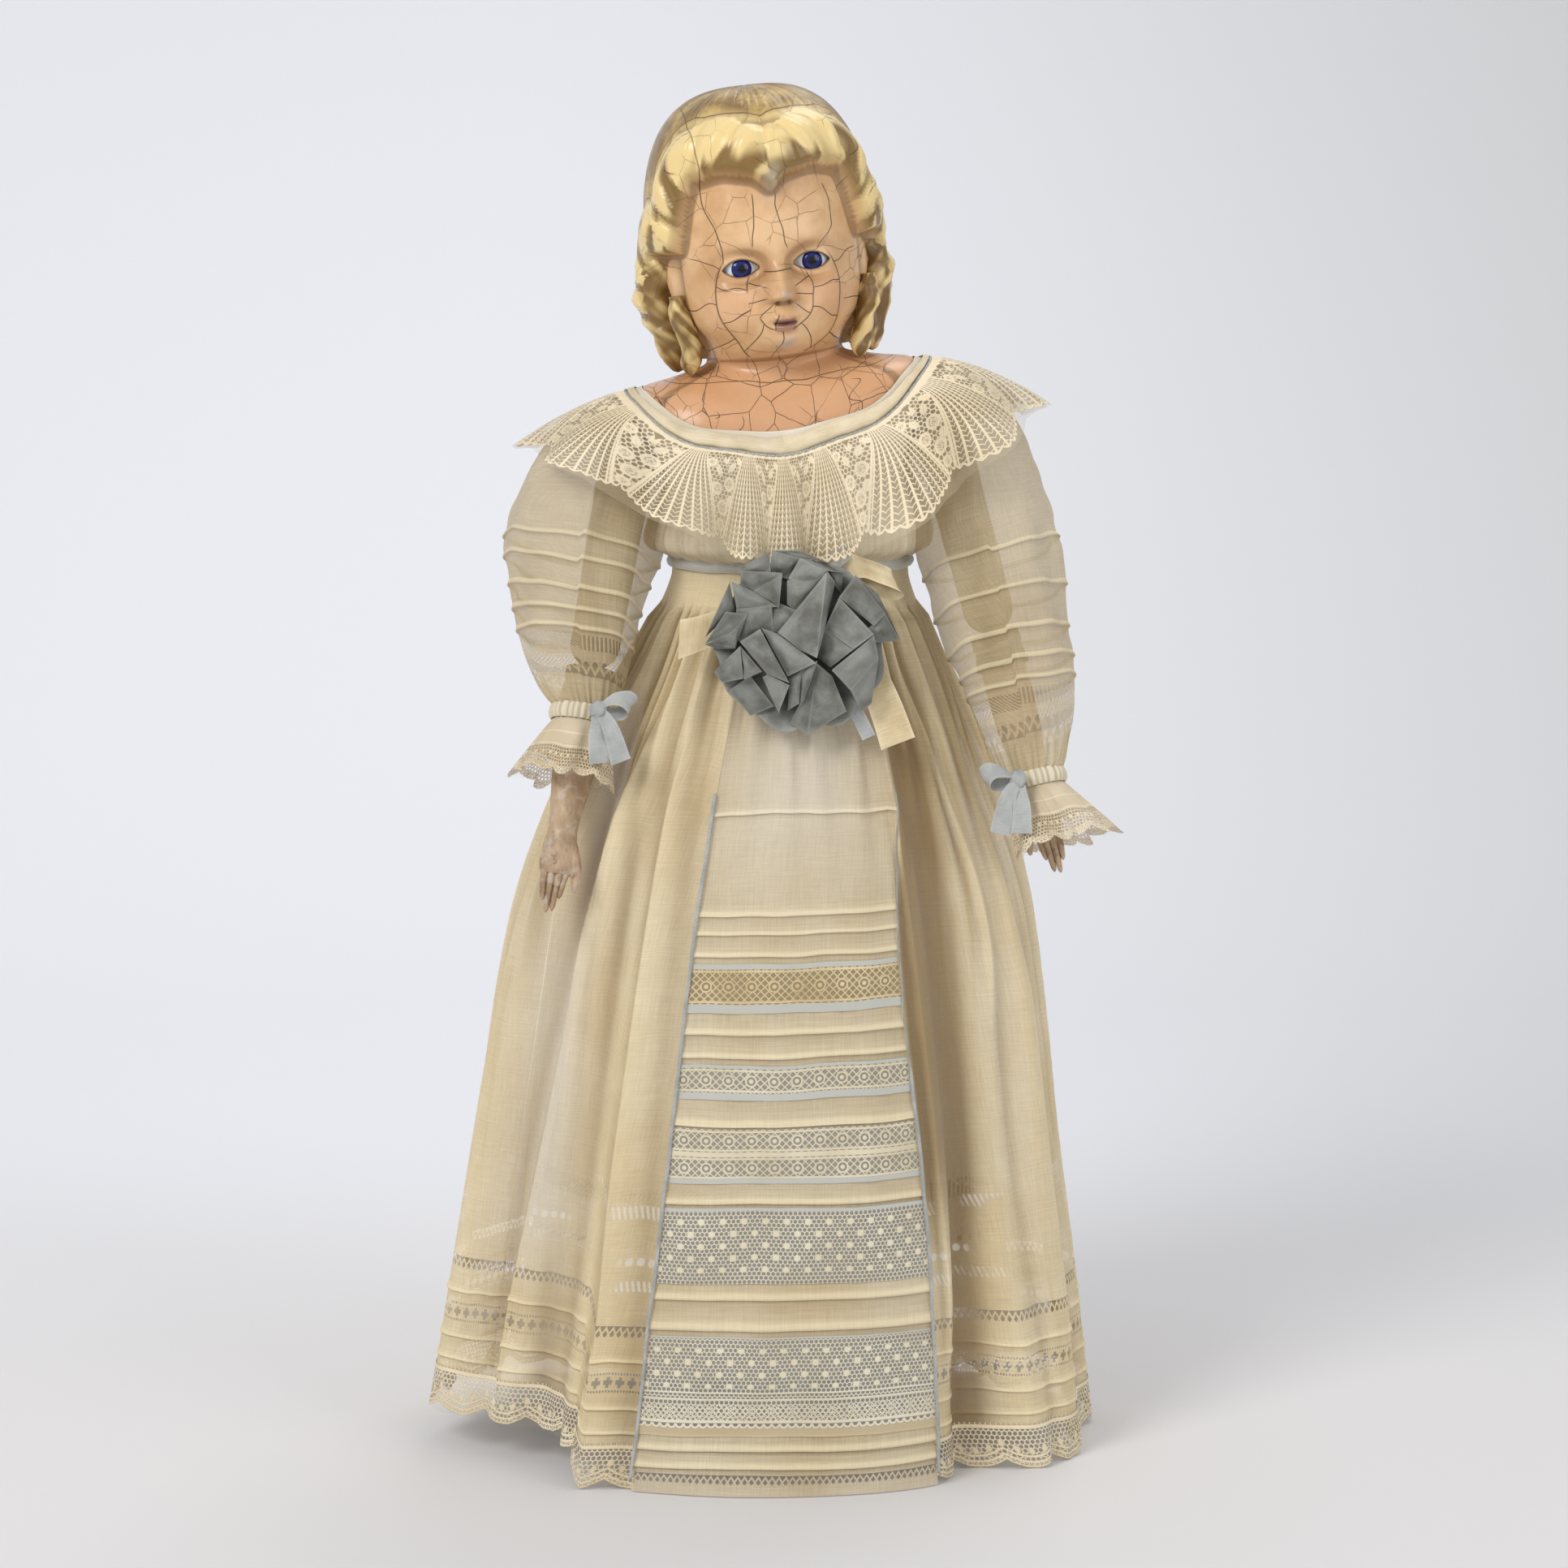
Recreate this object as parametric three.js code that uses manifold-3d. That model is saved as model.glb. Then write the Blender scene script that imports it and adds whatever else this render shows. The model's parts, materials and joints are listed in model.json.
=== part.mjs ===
// A dressed doll: a wax-over-papier-mache shoulder head with moulded hair and glass eyes, a stuffed
// cloth body with carved wooden forearms and boots, and a sheer tucked gown over a petticoat.
// Millimetres, +Z up. The doll faces -Y, and its own left side is +X.
import * as THREE from "three";
import { mergeVertices } from "three/addons/utils/BufferGeometryUtils.js";
import Module from "manifold-3d";

const wasm = await Module();
wasm.setup();

const deg = THREE.MathUtils.degToRad;
const lerp = THREE.MathUtils.lerp;
const bell = (x, spread) => Math.exp(-((x / spread) ** 2));

// An even step from 0 at one value to 1 at the other, in either order.
function smooth(x, from, to) {
  const t = THREE.MathUtils.clamp((x - from) / (to - from), 0, 1);
  return t * t * (3 - 2 * t);
}

// Gaps and stock
const SEAT = 0.4; // gap between two pieces that rest on each other
const CLOTH = 0.8; // gown cloth
const LACE = 0.6; // lace and ribbon
const HEAD_WALL = 3.2; // papier-mache under its wax coat

// Stance: the spine rises from the hips, and leans to the doll's right above the waist
const STANCE_X = -6.3; // places the footprint's centre on the origin
const STANCE_Y = 0.9;
const WAIST_Z = 388;
const WAIST_X = 11;
const SEAT_Z = 262; // underside of the stuffed body
const SEAT_X = 3;
const LEAN = deg(6.5);
const LEAN_RISE = 70; // height above the waist over which the lean builds up

// Shoulder head, measured from the eye line
const EYE_RISE = 135; // eye line above the waist
const HEAD_TURN = deg(8);
const CROWN = 69; // top of the skull under the hair
const CROWN_POWER = 3; // fullness of the crown: 2 is an ellipse, more is squarer
const SKULL_WIDTH = 43; // half width
const SKULL_FRONT = 45.5;
const SKULL_BACK = 48;
const HAIR_THICK = 7.5;
const EYE_APART = 15.3; // each eye from the middle
const EYE_RADIUS = 9.5;
const EYE_OPEN_WIDTH = 16.5;
const EYE_OPEN_HEIGHT = 8.8;
const EYE_FRONT = 39.2; // front of the eyeball, ahead of the head's axis

// Limbs, along their own axes from the pivot
const SHOULDER_OUT = 66;
const SHOULDER_DROP = 68; // below the eye line
const ARM_RADIUS = 12.5;
const UPPER_ARM = 95;
const ELBOW_RADIUS = 11;
const ARM_LENGTH = 215;
const HAND_LENGTH = 37;
const HIP_APART = 25;
const HIP_RADIUS = 20;
const THIGH = 92;
const KNEE_RADIUS = 14;
const SHIN_TOP_RADIUS = 12.5;
const FOREARM_TOP_RADIUS = 9.5;
const GROOVE = 1.6; // depth of the tie groove in a wooden limb
const CASING_HEIGHT = 12;
const TIE_RADIUS = 1.1;

// Skirts, each drawn in at the waist over the one below
const WAIST = { width: 48.6, depth: 36 };
const layer = (count) => ({
  width: WAIST.width + count * (SEAT + CLOTH),
  depth: WAIST.depth + count * (SEAT + CLOTH),
});
const PETTICOAT_TOP = layer(1);
const SKIRT_TOP = layer(2);
const SKIRT_HEM = { width: 138, depth: 108 };
const PETTICOAT_HEM = { width: 116, depth: 87 };
const PETTICOAT_Z = 46; // height of the petticoat's hem
const HEM_LACE = 20; // depth of the lace edging below the cloth
const PANEL_HEM_Z = 0.4;

// Bodice
const RIBBON_WIDTH = 7;
const BAND_TOP = RIBBON_WIDTH + 1; // the gathered skirt's edge, above the waist line

const materials = {
  wax: new THREE.MeshStandardMaterial({ color: 0xe3b48c, roughness: 0.38 }),
  glass: new THREE.MeshStandardMaterial({ color: 0x1c2f9c, roughness: 0.06 }),
  plaster: new THREE.MeshStandardMaterial({ color: 0xe9e4d8, roughness: 0.9 }),
  cotton: new THREE.MeshStandardMaterial({ color: 0xcdbd9f, roughness: 0.92 }),
  wood: new THREE.MeshStandardMaterial({ color: 0xc3a487, roughness: 0.6 }),
  thread: new THREE.MeshStandardMaterial({ color: 0xd9ccb0, roughness: 0.9 }),
  linen: new THREE.MeshStandardMaterial({ color: 0xf0ece2, roughness: 0.92 }),
  muslin: new THREE.MeshStandardMaterial({ color: 0xdcc79a, roughness: 0.9 }),
  lace: new THREE.MeshStandardMaterial({ color: 0xe2d5b5, roughness: 0.92 }),
  silk: new THREE.MeshStandardMaterial({ color: 0x8e989b, roughness: 0.5 }),
  ribbon: new THREE.MeshStandardMaterial({ color: 0xa9b7c4, roughness: 0.55 }),
};

// Builds a closed geometry from points and faces of three or four corners, and turns its faces outwards.
function closedBody(points, faces) {
  const triangles = [];
  for (const f of faces) {
    triangles.push([f[0], f[1], f[2]]);
    if (f.length === 4) triangles.push([f[0], f[2], f[3]]);
  }
  const cross = new THREE.Vector3();
  let volume = 0;
  for (const [a, b, c] of triangles) {
    volume += points[a].dot(cross.crossVectors(points[b], points[c]));
  }
  const index = triangles.flatMap(([a, b, c]) => (volume > 0 ? [a, b, c] : [a, c, b]));
  const geometry = new THREE.BufferGeometry();
  geometry.setFromPoints(points);
  geometry.setIndex(index);
  return geometry;
}

// A solid loft through closed rings of equal count, with a fan over each end.
function loft(rings) {
  const n = rings[0].length;
  const points = rings.flat();
  const faces = [];
  for (let i = 0; i < rings.length - 1; i++) {
    for (let j = 0; j < n; j++) {
      const k = (j + 1) % n;
      faces.push([i * n + j, (i + 1) * n + j, (i + 1) * n + k, i * n + k]);
    }
  }
  for (const [row, flip] of [[0, false], [rings.length - 1, true]]) {
    const middle = points.length;
    points.push(centreOf(rings[row]));
    for (let j = 0; j < n; j++) {
      const a = row * n + j;
      const b = row * n + ((j + 1) % n);
      faces.push(flip ? [b, a, middle] : [a, b, middle]);
    }
  }
  return closedBody(points, faces);
}

function centreOf(ring) {
  const sum = ring.reduce((s, p) => s.add(p), new THREE.Vector3());
  return sum.divideScalar(ring.length);
}

// A wall between an outer and an inner grid of points: closed round like a tube, or a patch with four edges.
function wall(outer, inner, closed) {
  const rows = outer.length;
  const n = outer[0].length;
  const points = [...outer.flat(), ...inner.flat()];
  const o = (i, j) => i * n + (j % n);
  const q = (i, j) => rows * n + i * n + (j % n);
  const faces = [];
  const last = closed ? n : n - 1;
  for (let j = 0; j < last; j++) {
    for (let i = 0; i < rows - 1; i++) {
      faces.push([o(i, j), o(i + 1, j), o(i + 1, j + 1), o(i, j + 1)]);
      faces.push([q(i, j), q(i, j + 1), q(i + 1, j + 1), q(i + 1, j)]);
    }
    const e = rows - 1;
    faces.push([o(0, j), o(0, j + 1), q(0, j + 1), q(0, j)]);
    faces.push([o(e, j + 1), o(e, j), q(e, j), q(e, j + 1)]);
  }
  if (!closed) {
    const e = n - 1;
    for (let i = 0; i < rows - 1; i++) {
      faces.push([o(i + 1, 0), o(i, 0), q(i, 0), q(i + 1, 0)]);
      faces.push([o(i, e), o(i + 1, e), q(i + 1, e), q(i, e)]);
    }
  }
  return closedBody(points, faces);
}

// The grid moved along its own normals, inwards for a tube whose rows run down and columns run front to left.
function inset(grid, depth, closed) {
  const rows = grid.length;
  const n = grid[0].length;
  const column = (j) => (closed ? (j + n) % n : THREE.MathUtils.clamp(j, 0, n - 1));
  const row = (i) => THREE.MathUtils.clamp(i, 0, rows - 1);
  return grid.map((points, i) =>
    points.map((p, j) => {
      const down = grid[row(i + 1)][j].clone().sub(grid[row(i - 1)][j]);
      const along = points[column(j + 1)].clone().sub(points[column(j - 1)]);
      return p.clone().addScaledVector(down.cross(along).normalize(), -depth);
    }),
  );
}

const sheet = (grid, thickness, closed) => wall(grid, inset(grid, thickness, closed), closed);

function toManifold(geometry) {
  const bare = geometry.index ? geometry.toNonIndexed() : geometry.clone();
  bare.deleteAttribute("normal");
  bare.deleteAttribute("uv");
  const merged = mergeVertices(bare, 1e-4);
  return new wasm.Manifold(
    new wasm.Mesh({
      numProp: 3,
      vertProperties: merged.attributes.position.array,
      triVerts: new Uint32Array(merged.index.array),
    }),
  );
}

function fromManifold(solid) {
  const mesh = solid.getMesh();
  const geometry = new THREE.BufferGeometry();
  geometry.setAttribute("position", new THREE.BufferAttribute(new Float32Array(mesh.vertProperties), 3));
  geometry.setIndex(new THREE.BufferAttribute(new Uint32Array(mesh.triVerts), 1));
  return geometry;
}

const join = (...pieces) =>
  fromManifold(pieces.map(toManifold).reduce((a, b) => a.add(b)));

const cut = (piece, ...tools) =>
  fromManifold(tools.map(toManifold).reduce((a, b) => a.subtract(b), toManifold(piece)));

// Angles round a tube, the front first and then the doll's left.
const turns = (count) => Array.from({ length: count }, (_, j) => (j / count) * 2 * Math.PI);
const span = (low, high, count) =>
  Array.from({ length: count + 1 }, (_, i) => low + ((high - low) * i) / count);

// Point of a rounded section at an angle from the front, with its own depth before and behind.
function sectionPoint(angle, width, front, back, power = 2) {
  const s = Math.sin(angle);
  const c = Math.cos(angle);
  const depth = c > 0 ? front : back;
  const size = (Math.abs(s / width) ** power + Math.abs(c / depth) ** power) ** (-1 / power);
  return { x: size * s, y: -size * c };
}

// Values between the stations of a shape, on a Catmull-Rom curve through each field.
function between(stations, at) {
  const last = stations.length - 1;
  const i = Math.min(Math.floor(THREE.MathUtils.clamp(at, 0, last)), last - 1);
  const t = at - i;
  const pick = (k) => stations[THREE.MathUtils.clamp(k, 0, last)];
  const value = (field) => {
    const [a, b, c, d] = [pick(i - 1), pick(i), pick(i + 1), pick(i + 2)].map((s) => s[field]);
    return b + 0.5 * t * (c - a + t * (2 * a - 5 * b + 4 * c - d + t * (3 * (b - c) + d - a)));
  };
  return Object.fromEntries(Object.keys(stations[0]).map((field) => [field, value(field)]));
}

// The spine: a point and a lean at each height above the waist.
const leanAt = (height) => LEAN * smooth(height, 0, LEAN_RISE);

function spinePoint(height) {
  if (height <= 0) {
    const share = height / (SEAT_Z - WAIST_Z);
    return new THREE.Vector3(WAIST_X + (SEAT_X - WAIST_X) * share, 0, WAIST_Z + height);
  }
  const steps = 16;
  const point = new THREE.Vector3(WAIST_X, 0, WAIST_Z);
  for (let i = 0; i < steps; i++) {
    const lean = leanAt((height * (i + 0.5)) / steps);
    point.x -= (Math.sin(lean) * height) / steps;
    point.z += (Math.cos(lean) * height) / steps;
  }
  return point;
}

function bodyPoint(x, y, height) {
  const lean = leanAt(height);
  const c = spinePoint(height);
  return new THREE.Vector3(c.x + x * Math.cos(lean), y, c.z + x * Math.sin(lean));
}

// Shoulder head. The plate's rings are lower in front and behind than over the shoulders.
const PLATE = [
  { front: -40, side: -38.5, width: 29.5, fore: 29, back: 30, power: 2 },
  { front: -44, side: -41.5, width: 32, fore: 26, back: 29, power: 2 },
  { front: -52, side: -45, width: 46, fore: 29, back: 32, power: 2.2 },
  { front: -62, side: -47, width: 57, fore: 35, back: 37, power: 2.4 },
  { front: -76, side: -49.5, width: 61, fore: 40, back: 41, power: 2.5 },
  { front: -95, side: -53, width: 62, fore: 43, back: 43, power: 2.5 },
];
const PLATE_RIM = PLATE.length - 1;
const NECKLINE = 3.55; // station of the gown's neck edge

// A point over the plate at a station, with an offset from the wax, in the head's own frame.
function platePoint(at, angle, offset) {
  const s = between(PLATE, at);
  const { x, y } = sectionPoint(angle, s.width + offset, s.fore + offset, s.back + offset, s.power);
  const share = Math.sin(angle) ** 2;
  return new THREE.Vector3(x, y, s.front + (s.side - s.front) * share);
}

const overPlate = (at, angle, offset) => {
  const p = platePoint(at, angle, offset);
  return bodyPoint(p.x, p.y, EYE_RISE + p.z);
};

// Jaw below the eye line, down to the neck.
const JAW = [
  { z: 0, width: SKULL_WIDTH, fore: SKULL_FRONT, back: SKULL_BACK },
  { z: -12, width: 42, fore: 45.5, back: 45 },
  { z: -22, width: 38.5, fore: 46, back: 40 },
  { z: -30, width: 32, fore: 44.5, back: 34 },
  { z: -35, width: 29.5, fore: 40, back: 31 },
  { z: -38, width: 29, fore: 33, back: 30 },
];

// Moulded features, as heights over the skull: x across and z above the eye line.
function faceRise(x, z) {
  const side = Math.abs(x);
  const bridge = 8.6 * smooth(z, 5, -10.5) * smooth(z, -14.5, -11.5) * bell(x, 3.3 + 1.5 * smooth(z, 3, -11));
  const wings = 2.6 * bell(side - 4.4, 2.4) * bell(z + 11.8, 2.4);
  const cheeks = 2.8 * bell(side - 21, 13) * bell(z + 15, 12);
  const lips = 1.9 * bell(x, 6.4) * (bell(z + 20.6, 2.1) + 1.05 * bell(z + 25.2, 2.3));
  const muzzle = 2.2 * bell(x, 12) * bell(z + 22, 8);
  const chin = 3.4 * bell(x, 9) * bell(z + 33, 5);
  return bridge + wings + cheeks + lips + muzzle + chin + eyeSocket(x, z);
}

const eyeSocket = (x, z) => -3.2 * bell(Math.abs(x) - EYE_APART, 9.5) * bell(z - 0.5, 6.5);

// Height of the hair's edge at an angle from the front: a peak, a brow, the temple, and the nape.
function hairline(angle) {
  const a = Math.abs(THREE.MathUtils.radToDeg(angle));
  return 34 - 6 * bell(a, 9) - 30 * smooth(a, 30, 66) - 46 * smooth(a, 64, 92);
}

const RINGLETS = 7;
const RINGLET_STEP = deg(236 / 7);
const RINGLET_PITCH = 13;

// Thickness of the moulded hair: a rolled front, a smooth crown, and ringlets round the sides and back.
function hairRise(angle, z) {
  const above = z - hairline(angle);
  const cover = smooth(above, -1, 5);
  const roll = 4.5 * bell(above - 9, 8) * (1 - 0.35 * bell(angle, deg(5)));
  const waves = 0.9 * Math.cos(angle * 15) * bell(above - 9, 9);
  const hang = smooth(z, 6, -10) * smooth(Math.abs(angle), deg(54), deg(66));
  const nearest = Math.round((angle - Math.PI) / RINGLET_STEP);
  const within = Math.abs(nearest) <= (RINGLETS - 1) / 2 ? 1 : 0;
  const across = angle - Math.PI - nearest * RINGLET_STEP;
  const twist = 1 + 0.2 * Math.cos((2 * Math.PI * z) / RINGLET_PITCH + 2.4 * nearest);
  const ringlet = (8 * bell(across, deg(11)) * twist - 3) * hang * within;
  return cover * (HAIR_THICK + roll + waves) + hang * cover * 5 + Math.max(ringlet, -4) * cover;
}

const headTurn = (z) => HEAD_TURN * smooth(z, -46, -30);

function headPoint(ring, angle, inward) {
  const { x, y } = sectionPoint(angle, ring.width, ring.fore, ring.back, ring.power ?? 2);
  const reach = Math.hypot(x, y);
  const z = ring.front + (ring.side - ring.front) * Math.sin(angle) ** 2;
  const above = smooth(z, -44, -40);
  const inFace = y < 0 ? smooth(-y / reach, 0.25, 0.6) * above : 0;
  const rise = inward
    ? inFace * eyeSocket(x, z) - inward
    : inFace * faceRise(x, z) + hairRise(angle > Math.PI ? 2 * Math.PI - angle : angle, z) * above;
  const dome = Math.max(z, 0) / CROWN; // over the crown the rise turns upwards
  const size = (reach + rise * Math.sqrt(1 - dome * dome)) / reach;
  const point = new THREE.Vector3(x * size, y * size, z + rise * dome);
  point.applyAxisAngle(new THREE.Vector3(0, 0, 1), headTurn(z));
  return point;
}

function headRings(angles, domeRows, jawRows, plateRows, inward) {
  const rings = [];
  for (let i = 1; i <= domeRows; i++) {
    const tilt = (i / domeRows) * (Math.PI / 2);
    const s = Math.sin(tilt) ** (2 / CROWN_POWER);
    const z = CROWN * Math.cos(tilt) ** (2 / CROWN_POWER);
    const ring = { width: SKULL_WIDTH * s, fore: SKULL_FRONT * s, back: SKULL_BACK * s };
    rings.push(angles.map((a) => headPoint({ ...ring, front: z, side: z }, a, inward)));
  }
  for (let i = 1; i <= jawRows; i++) {
    const s = between(JAW, (i / jawRows) * (JAW.length - 1));
    rings.push(angles.map((a) => headPoint({ ...s, front: s.z, side: s.z }, a, inward)));
  }
  for (let i = 0; i <= plateRows; i++) {
    const s = between(PLATE, (i / plateRows) * PLATE_RIM);
    rings.push(angles.map((a) => headPoint(s, a, inward)));
  }
  return rings;
}

// Columns close together over the face, and wider apart behind.
function faceAngles(front, behind) {
  const edge = deg(62);
  const half = span(-edge, edge, front).map((a) => (a + 2 * Math.PI) % (2 * Math.PI));
  return [...half, ...span(edge, 2 * Math.PI - edge, behind).slice(1, -1)];
}

function hollowRings(gap) {
  const rings = headRings(turns(20), 4, 4, PLATE_RIM, HEAD_WALL + gap);
  const rim = rings[rings.length - 1];
  rings.push(rim.map((p) => new THREE.Vector3(p.x, p.y, p.z - 12)));
  return rings;
}

// An almond between two arcs, cut through the face along Y.
function almond(side) {
  const w = EYE_OPEN_WIDTH / 2;
  const h = EYE_OPEN_HEIGHT / 2;
  const shape = new THREE.Shape();
  shape.moveTo(-w, 0);
  shape.quadraticCurveTo(0, -2 * h, w, 0);
  shape.quadraticCurveTo(0, 2 * h, -w, 0);
  const depth = 30;
  const geometry = new THREE.ExtrudeGeometry(shape, { depth, curveSegments: 6, bevelEnabled: false });
  geometry.rotateX(Math.PI / 2);
  geometry.translate(side * EYE_APART, -EYE_FRONT + depth / 3, 0);
  return geometry.rotateZ(HEAD_TURN);
}

function eyeball(side, extra) {
  const geometry = new THREE.SphereGeometry(EYE_RADIUS + extra, 12, 8);
  geometry.rotateX(Math.PI / 2);
  geometry.translate(side * EYE_APART, EYE_RADIUS - EYE_FRONT, 0);
  return geometry.rotateZ(HEAD_TURN);
}

function shoulderHead() {
  const outer = loft(headRings(faceAngles(20, 28), 7, 10, PLATE_RIM + 1, 0));
  const tools = [1, -1].flatMap((side) => [almond(side), eyeball(side, SEAT)]);
  return cut(outer, loft(hollowRings(0)), ...tools);
}

// The plaster ring that holds an eye behind the face.
function eyeBed(side) {
  const depth = 14;
  const ring = new THREE.CylinderGeometry(EYE_RADIUS + 3.6, EYE_RADIUS + 3.6, depth, 10);
  ring.translate(side * EYE_APART, EYE_RADIUS - EYE_FRONT - 1, 0);
  ring.rotateZ(HEAD_TURN);
  const inside = toManifold(ring).intersect(toManifold(loft(hollowRings(SEAT))));
  return cut(fromManifold(inside), eyeball(side, SEAT));
}

// Stuffed body: from the seat to the hollow of the shoulder plate.
const TORSO = [
  { height: SEAT_Z - WAIST_Z, width: 48, fore: 33, back: 34 },
  { height: -112, width: 51, fore: 38, back: 41 },
  { height: -80, width: 52, fore: 39, back: 42 },
  { height: -40, width: 49, fore: 36, back: 37 },
  { height: 0, width: WAIST.width, fore: WAIST.depth, back: WAIST.depth, power: 2 },
  { height: BAND_TOP, width: WAIST.width, fore: WAIST.depth, back: WAIST.depth, power: 2 },
  { height: 25, side: 40, width: 46.5, fore: 38, back: 37 },
  { height: 35, side: 62, width: SHOULDER_OUT - ARM_RADIUS - SEAT, fore: 38.5, back: 38.5 },
];
const TORSO_TOP = 3; // station of the plate that the stuffing reaches

function torso() {
  const angles = turns(20);
  const ring = (s) =>
    angles.map((a) => {
      const { x, y } = sectionPoint(a, s.width, s.fore, s.back, s.power ?? 2.3);
      return bodyPoint(x, y, lerp(s.height, s.side ?? s.height, Math.sin(a) ** 2));
    });
  const inPlate = (at, shrink) =>
    angles.map((a) => {
      const p = platePoint(at, a, -HEAD_WALL - 2 * SEAT);
      return bodyPoint(p.x * shrink, p.y, EYE_RISE + p.z);
    });
  const slim = (SHOULDER_OUT - ARM_RADIUS - SEAT) / (PLATE[PLATE_RIM].width - HEAD_WALL);
  return loft([...TORSO.map(ring), inPlate(PLATE_RIM, slim), inPlate(PLATE_RIM - 1, 1), inPlate(TORSO_TOP, 1)]);
}

// A limb along -Z from its pivot: a domed head, a taper, and a domed or flat end.
function stuffedLimb(headRadius, endRadius, length, swell) {
  const profile = [new THREE.Vector2(0, -length - endRadius)];
  for (const t of span(-90, 0, 3).slice(1)) {
    profile.push(
      new THREE.Vector2(endRadius * Math.cos(deg(t)), -length + endRadius * Math.sin(deg(t))),
    );
  }
  for (const t of [0.7, 0.4, 0.18]) {
    const radius = headRadius + (endRadius - headRadius) * t + swell * Math.sin(Math.PI * t);
    profile.push(new THREE.Vector2(radius, -length * t));
  }
  for (const t of span(0, 90, 3).slice(0, -1)) {
    profile.push(new THREE.Vector2(headRadius * Math.cos(deg(t)), headRadius * Math.sin(deg(t))));
  }
  profile.push(new THREE.Vector2(0, headRadius));
  return new THREE.LatheGeometry(profile, 12).rotateX(Math.PI / 2);
}

// Cloth that is drawn over the head of a wooden limb and tied into its groove.
function limbCasing(radius) {
  const r = radius + SEAT;
  const profile = [
    [r, 0],
    [r + CLOTH, 0],
    [r + CLOTH + 0.5, -CASING_HEIGHT * 0.3],
    [r + CLOTH - GROOVE, -CASING_HEIGHT * 0.62],
    [r + CLOTH, -CASING_HEIGHT],
    [r, -CASING_HEIGHT],
    [r - GROOVE, -CASING_HEIGHT * 0.62],
    [r, -CASING_HEIGHT * 0.3],
    [r, 0],
  ];
  const points = profile.map(([x, z]) => new THREE.Vector2(x, z)).reverse();
  return new THREE.LatheGeometry(points, 12).rotateX(Math.PI / 2);
}

function limbTie(radius) {
  const ring = radius + SEAT + CLOTH - GROOVE + 2 * SEAT + TIE_RADIUS;
  return new THREE.TorusGeometry(ring, TIE_RADIUS, 4, 12).translate(0, 0, -CASING_HEIGHT * 0.62);
}

// Round rings of a wooden limb, given as distance, half width and half depth.
function limbRings(stations, sides) {
  return stations.map(([down, width, depth, x = 0, y = 0]) =>
    turns(sides).map((a) => new THREE.Vector3(x + width * Math.sin(a), y - depth * Math.cos(a), -down)),
  );
}

const grooved = (radius) => [
  [0, radius - 0.6, radius - 0.6],
  [CASING_HEIGHT * 0.3, radius, radius],
  [CASING_HEIGHT * 0.62, radius - GROOVE, radius - GROOVE],
  [CASING_HEIGHT, radius, radius],
];

// Carved forearm below the elbow: wrist, flat palm, and fingers drawn to a point.
const FOREARM_TOP = UPPER_ARM + ELBOW_RADIUS + SEAT; // along the arm from the shoulder
const FOREARM = ARM_LENGTH - FOREARM_TOP;
const WRIST = FOREARM - HAND_LENGTH;
const FOREARM_STATIONS = [
  ...grooved(FOREARM_TOP_RADIUS),
  [WRIST * 0.55, 9.6, 9],
  [WRIST - 6, 6.8, 6.2],
  [WRIST, 6.4, 5.2],
  [WRIST + HAND_LENGTH * 0.24, 7.6, 4.8],
  [WRIST + HAND_LENGTH * 0.49, 7.4, 4.2],
  [WRIST + HAND_LENGTH * 0.76, 5.4, 3.4],
  [WRIST + HAND_LENGTH * 0.95, 2.6, 2.4],
  [FOREARM, 1.4, 1.4],
];

// Half width of the forearm at a distance from the shoulder.
function forearmRadius(down) {
  const at = down - FOREARM_TOP;
  const next = Math.max(FOREARM_STATIONS.findIndex((s) => s[0] > at), 1);
  const [a, b] = FOREARM_STATIONS.slice(next - 1, next + 1);
  return lerp(a[1], b[1], (at - a[0]) / (b[0] - a[0]));
}

// The forearm with its thumb towards the body.
function forearm(side) {
  const thumb = limbRings(
    [
      [WRIST + HAND_LENGTH * 0.11, 2.4, 2.6, -side * 4.5],
      [WRIST + HAND_LENGTH * 0.35, 2.9, 2.8, -side * 7.6],
      [WRIST + HAND_LENGTH * 0.57, 2.2, 2.2, -side * 9.2, -0.6],
      [WRIST + HAND_LENGTH * 0.7, 1, 1, -side * 9.4, -1],
    ],
    8,
  );
  return join(loft(limbRings(FOREARM_STATIONS, 12)), loft(thumb));
}

// Carved lower leg with a heeled boot in one piece, standing flat on its sole.
const FOOT_LENGTH = 50;
const HEEL_HEIGHT = 7;
const SHIN_TOP_Z = SEAT_Z - SEAT - HIP_RADIUS - THIGH - KNEE_RADIUS - SEAT;
const HEEL_BACK = 9; // behind the leg's axis
const TOE = HEEL_BACK - FOOT_LENGTH;

// Stations of the boot from heel to toe, as place, half width and height.
const BOOT = [
  [HEEL_BACK - FOOT_LENGTH * 0.04, 7.6, 22],
  [HEEL_BACK - FOOT_LENGTH * 0.28, 9.4, 22],
  [HEEL_BACK - FOOT_LENGTH * 0.52, 10.2, 17],
  [HEEL_BACK - FOOT_LENGTH * 0.76, 9.6, 12.5],
  [HEEL_BACK - FOOT_LENGTH * 0.94, 6.6, 9.5],
  [TOE, 3.2, 7.4],
];

// A ring of the boot: its upper is rounded, and its underside is flat from the arch to the toe.
function bootRing([y, half, top]) {
  const arch = HEEL_HEIGHT * smooth(y, -13, -8);
  const wide = arch + (top - arch) * 0.35;
  return turns(14).map((a) => {
    const up = Math.max(-Math.cos(a), 0);
    const z = Math.max(top * up ** 0.8, wide * up) + (1 - up) * arch;
    return new THREE.Vector3(half * Math.sin(a), y, z - SHIN_TOP_Z);
  });
}

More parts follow.
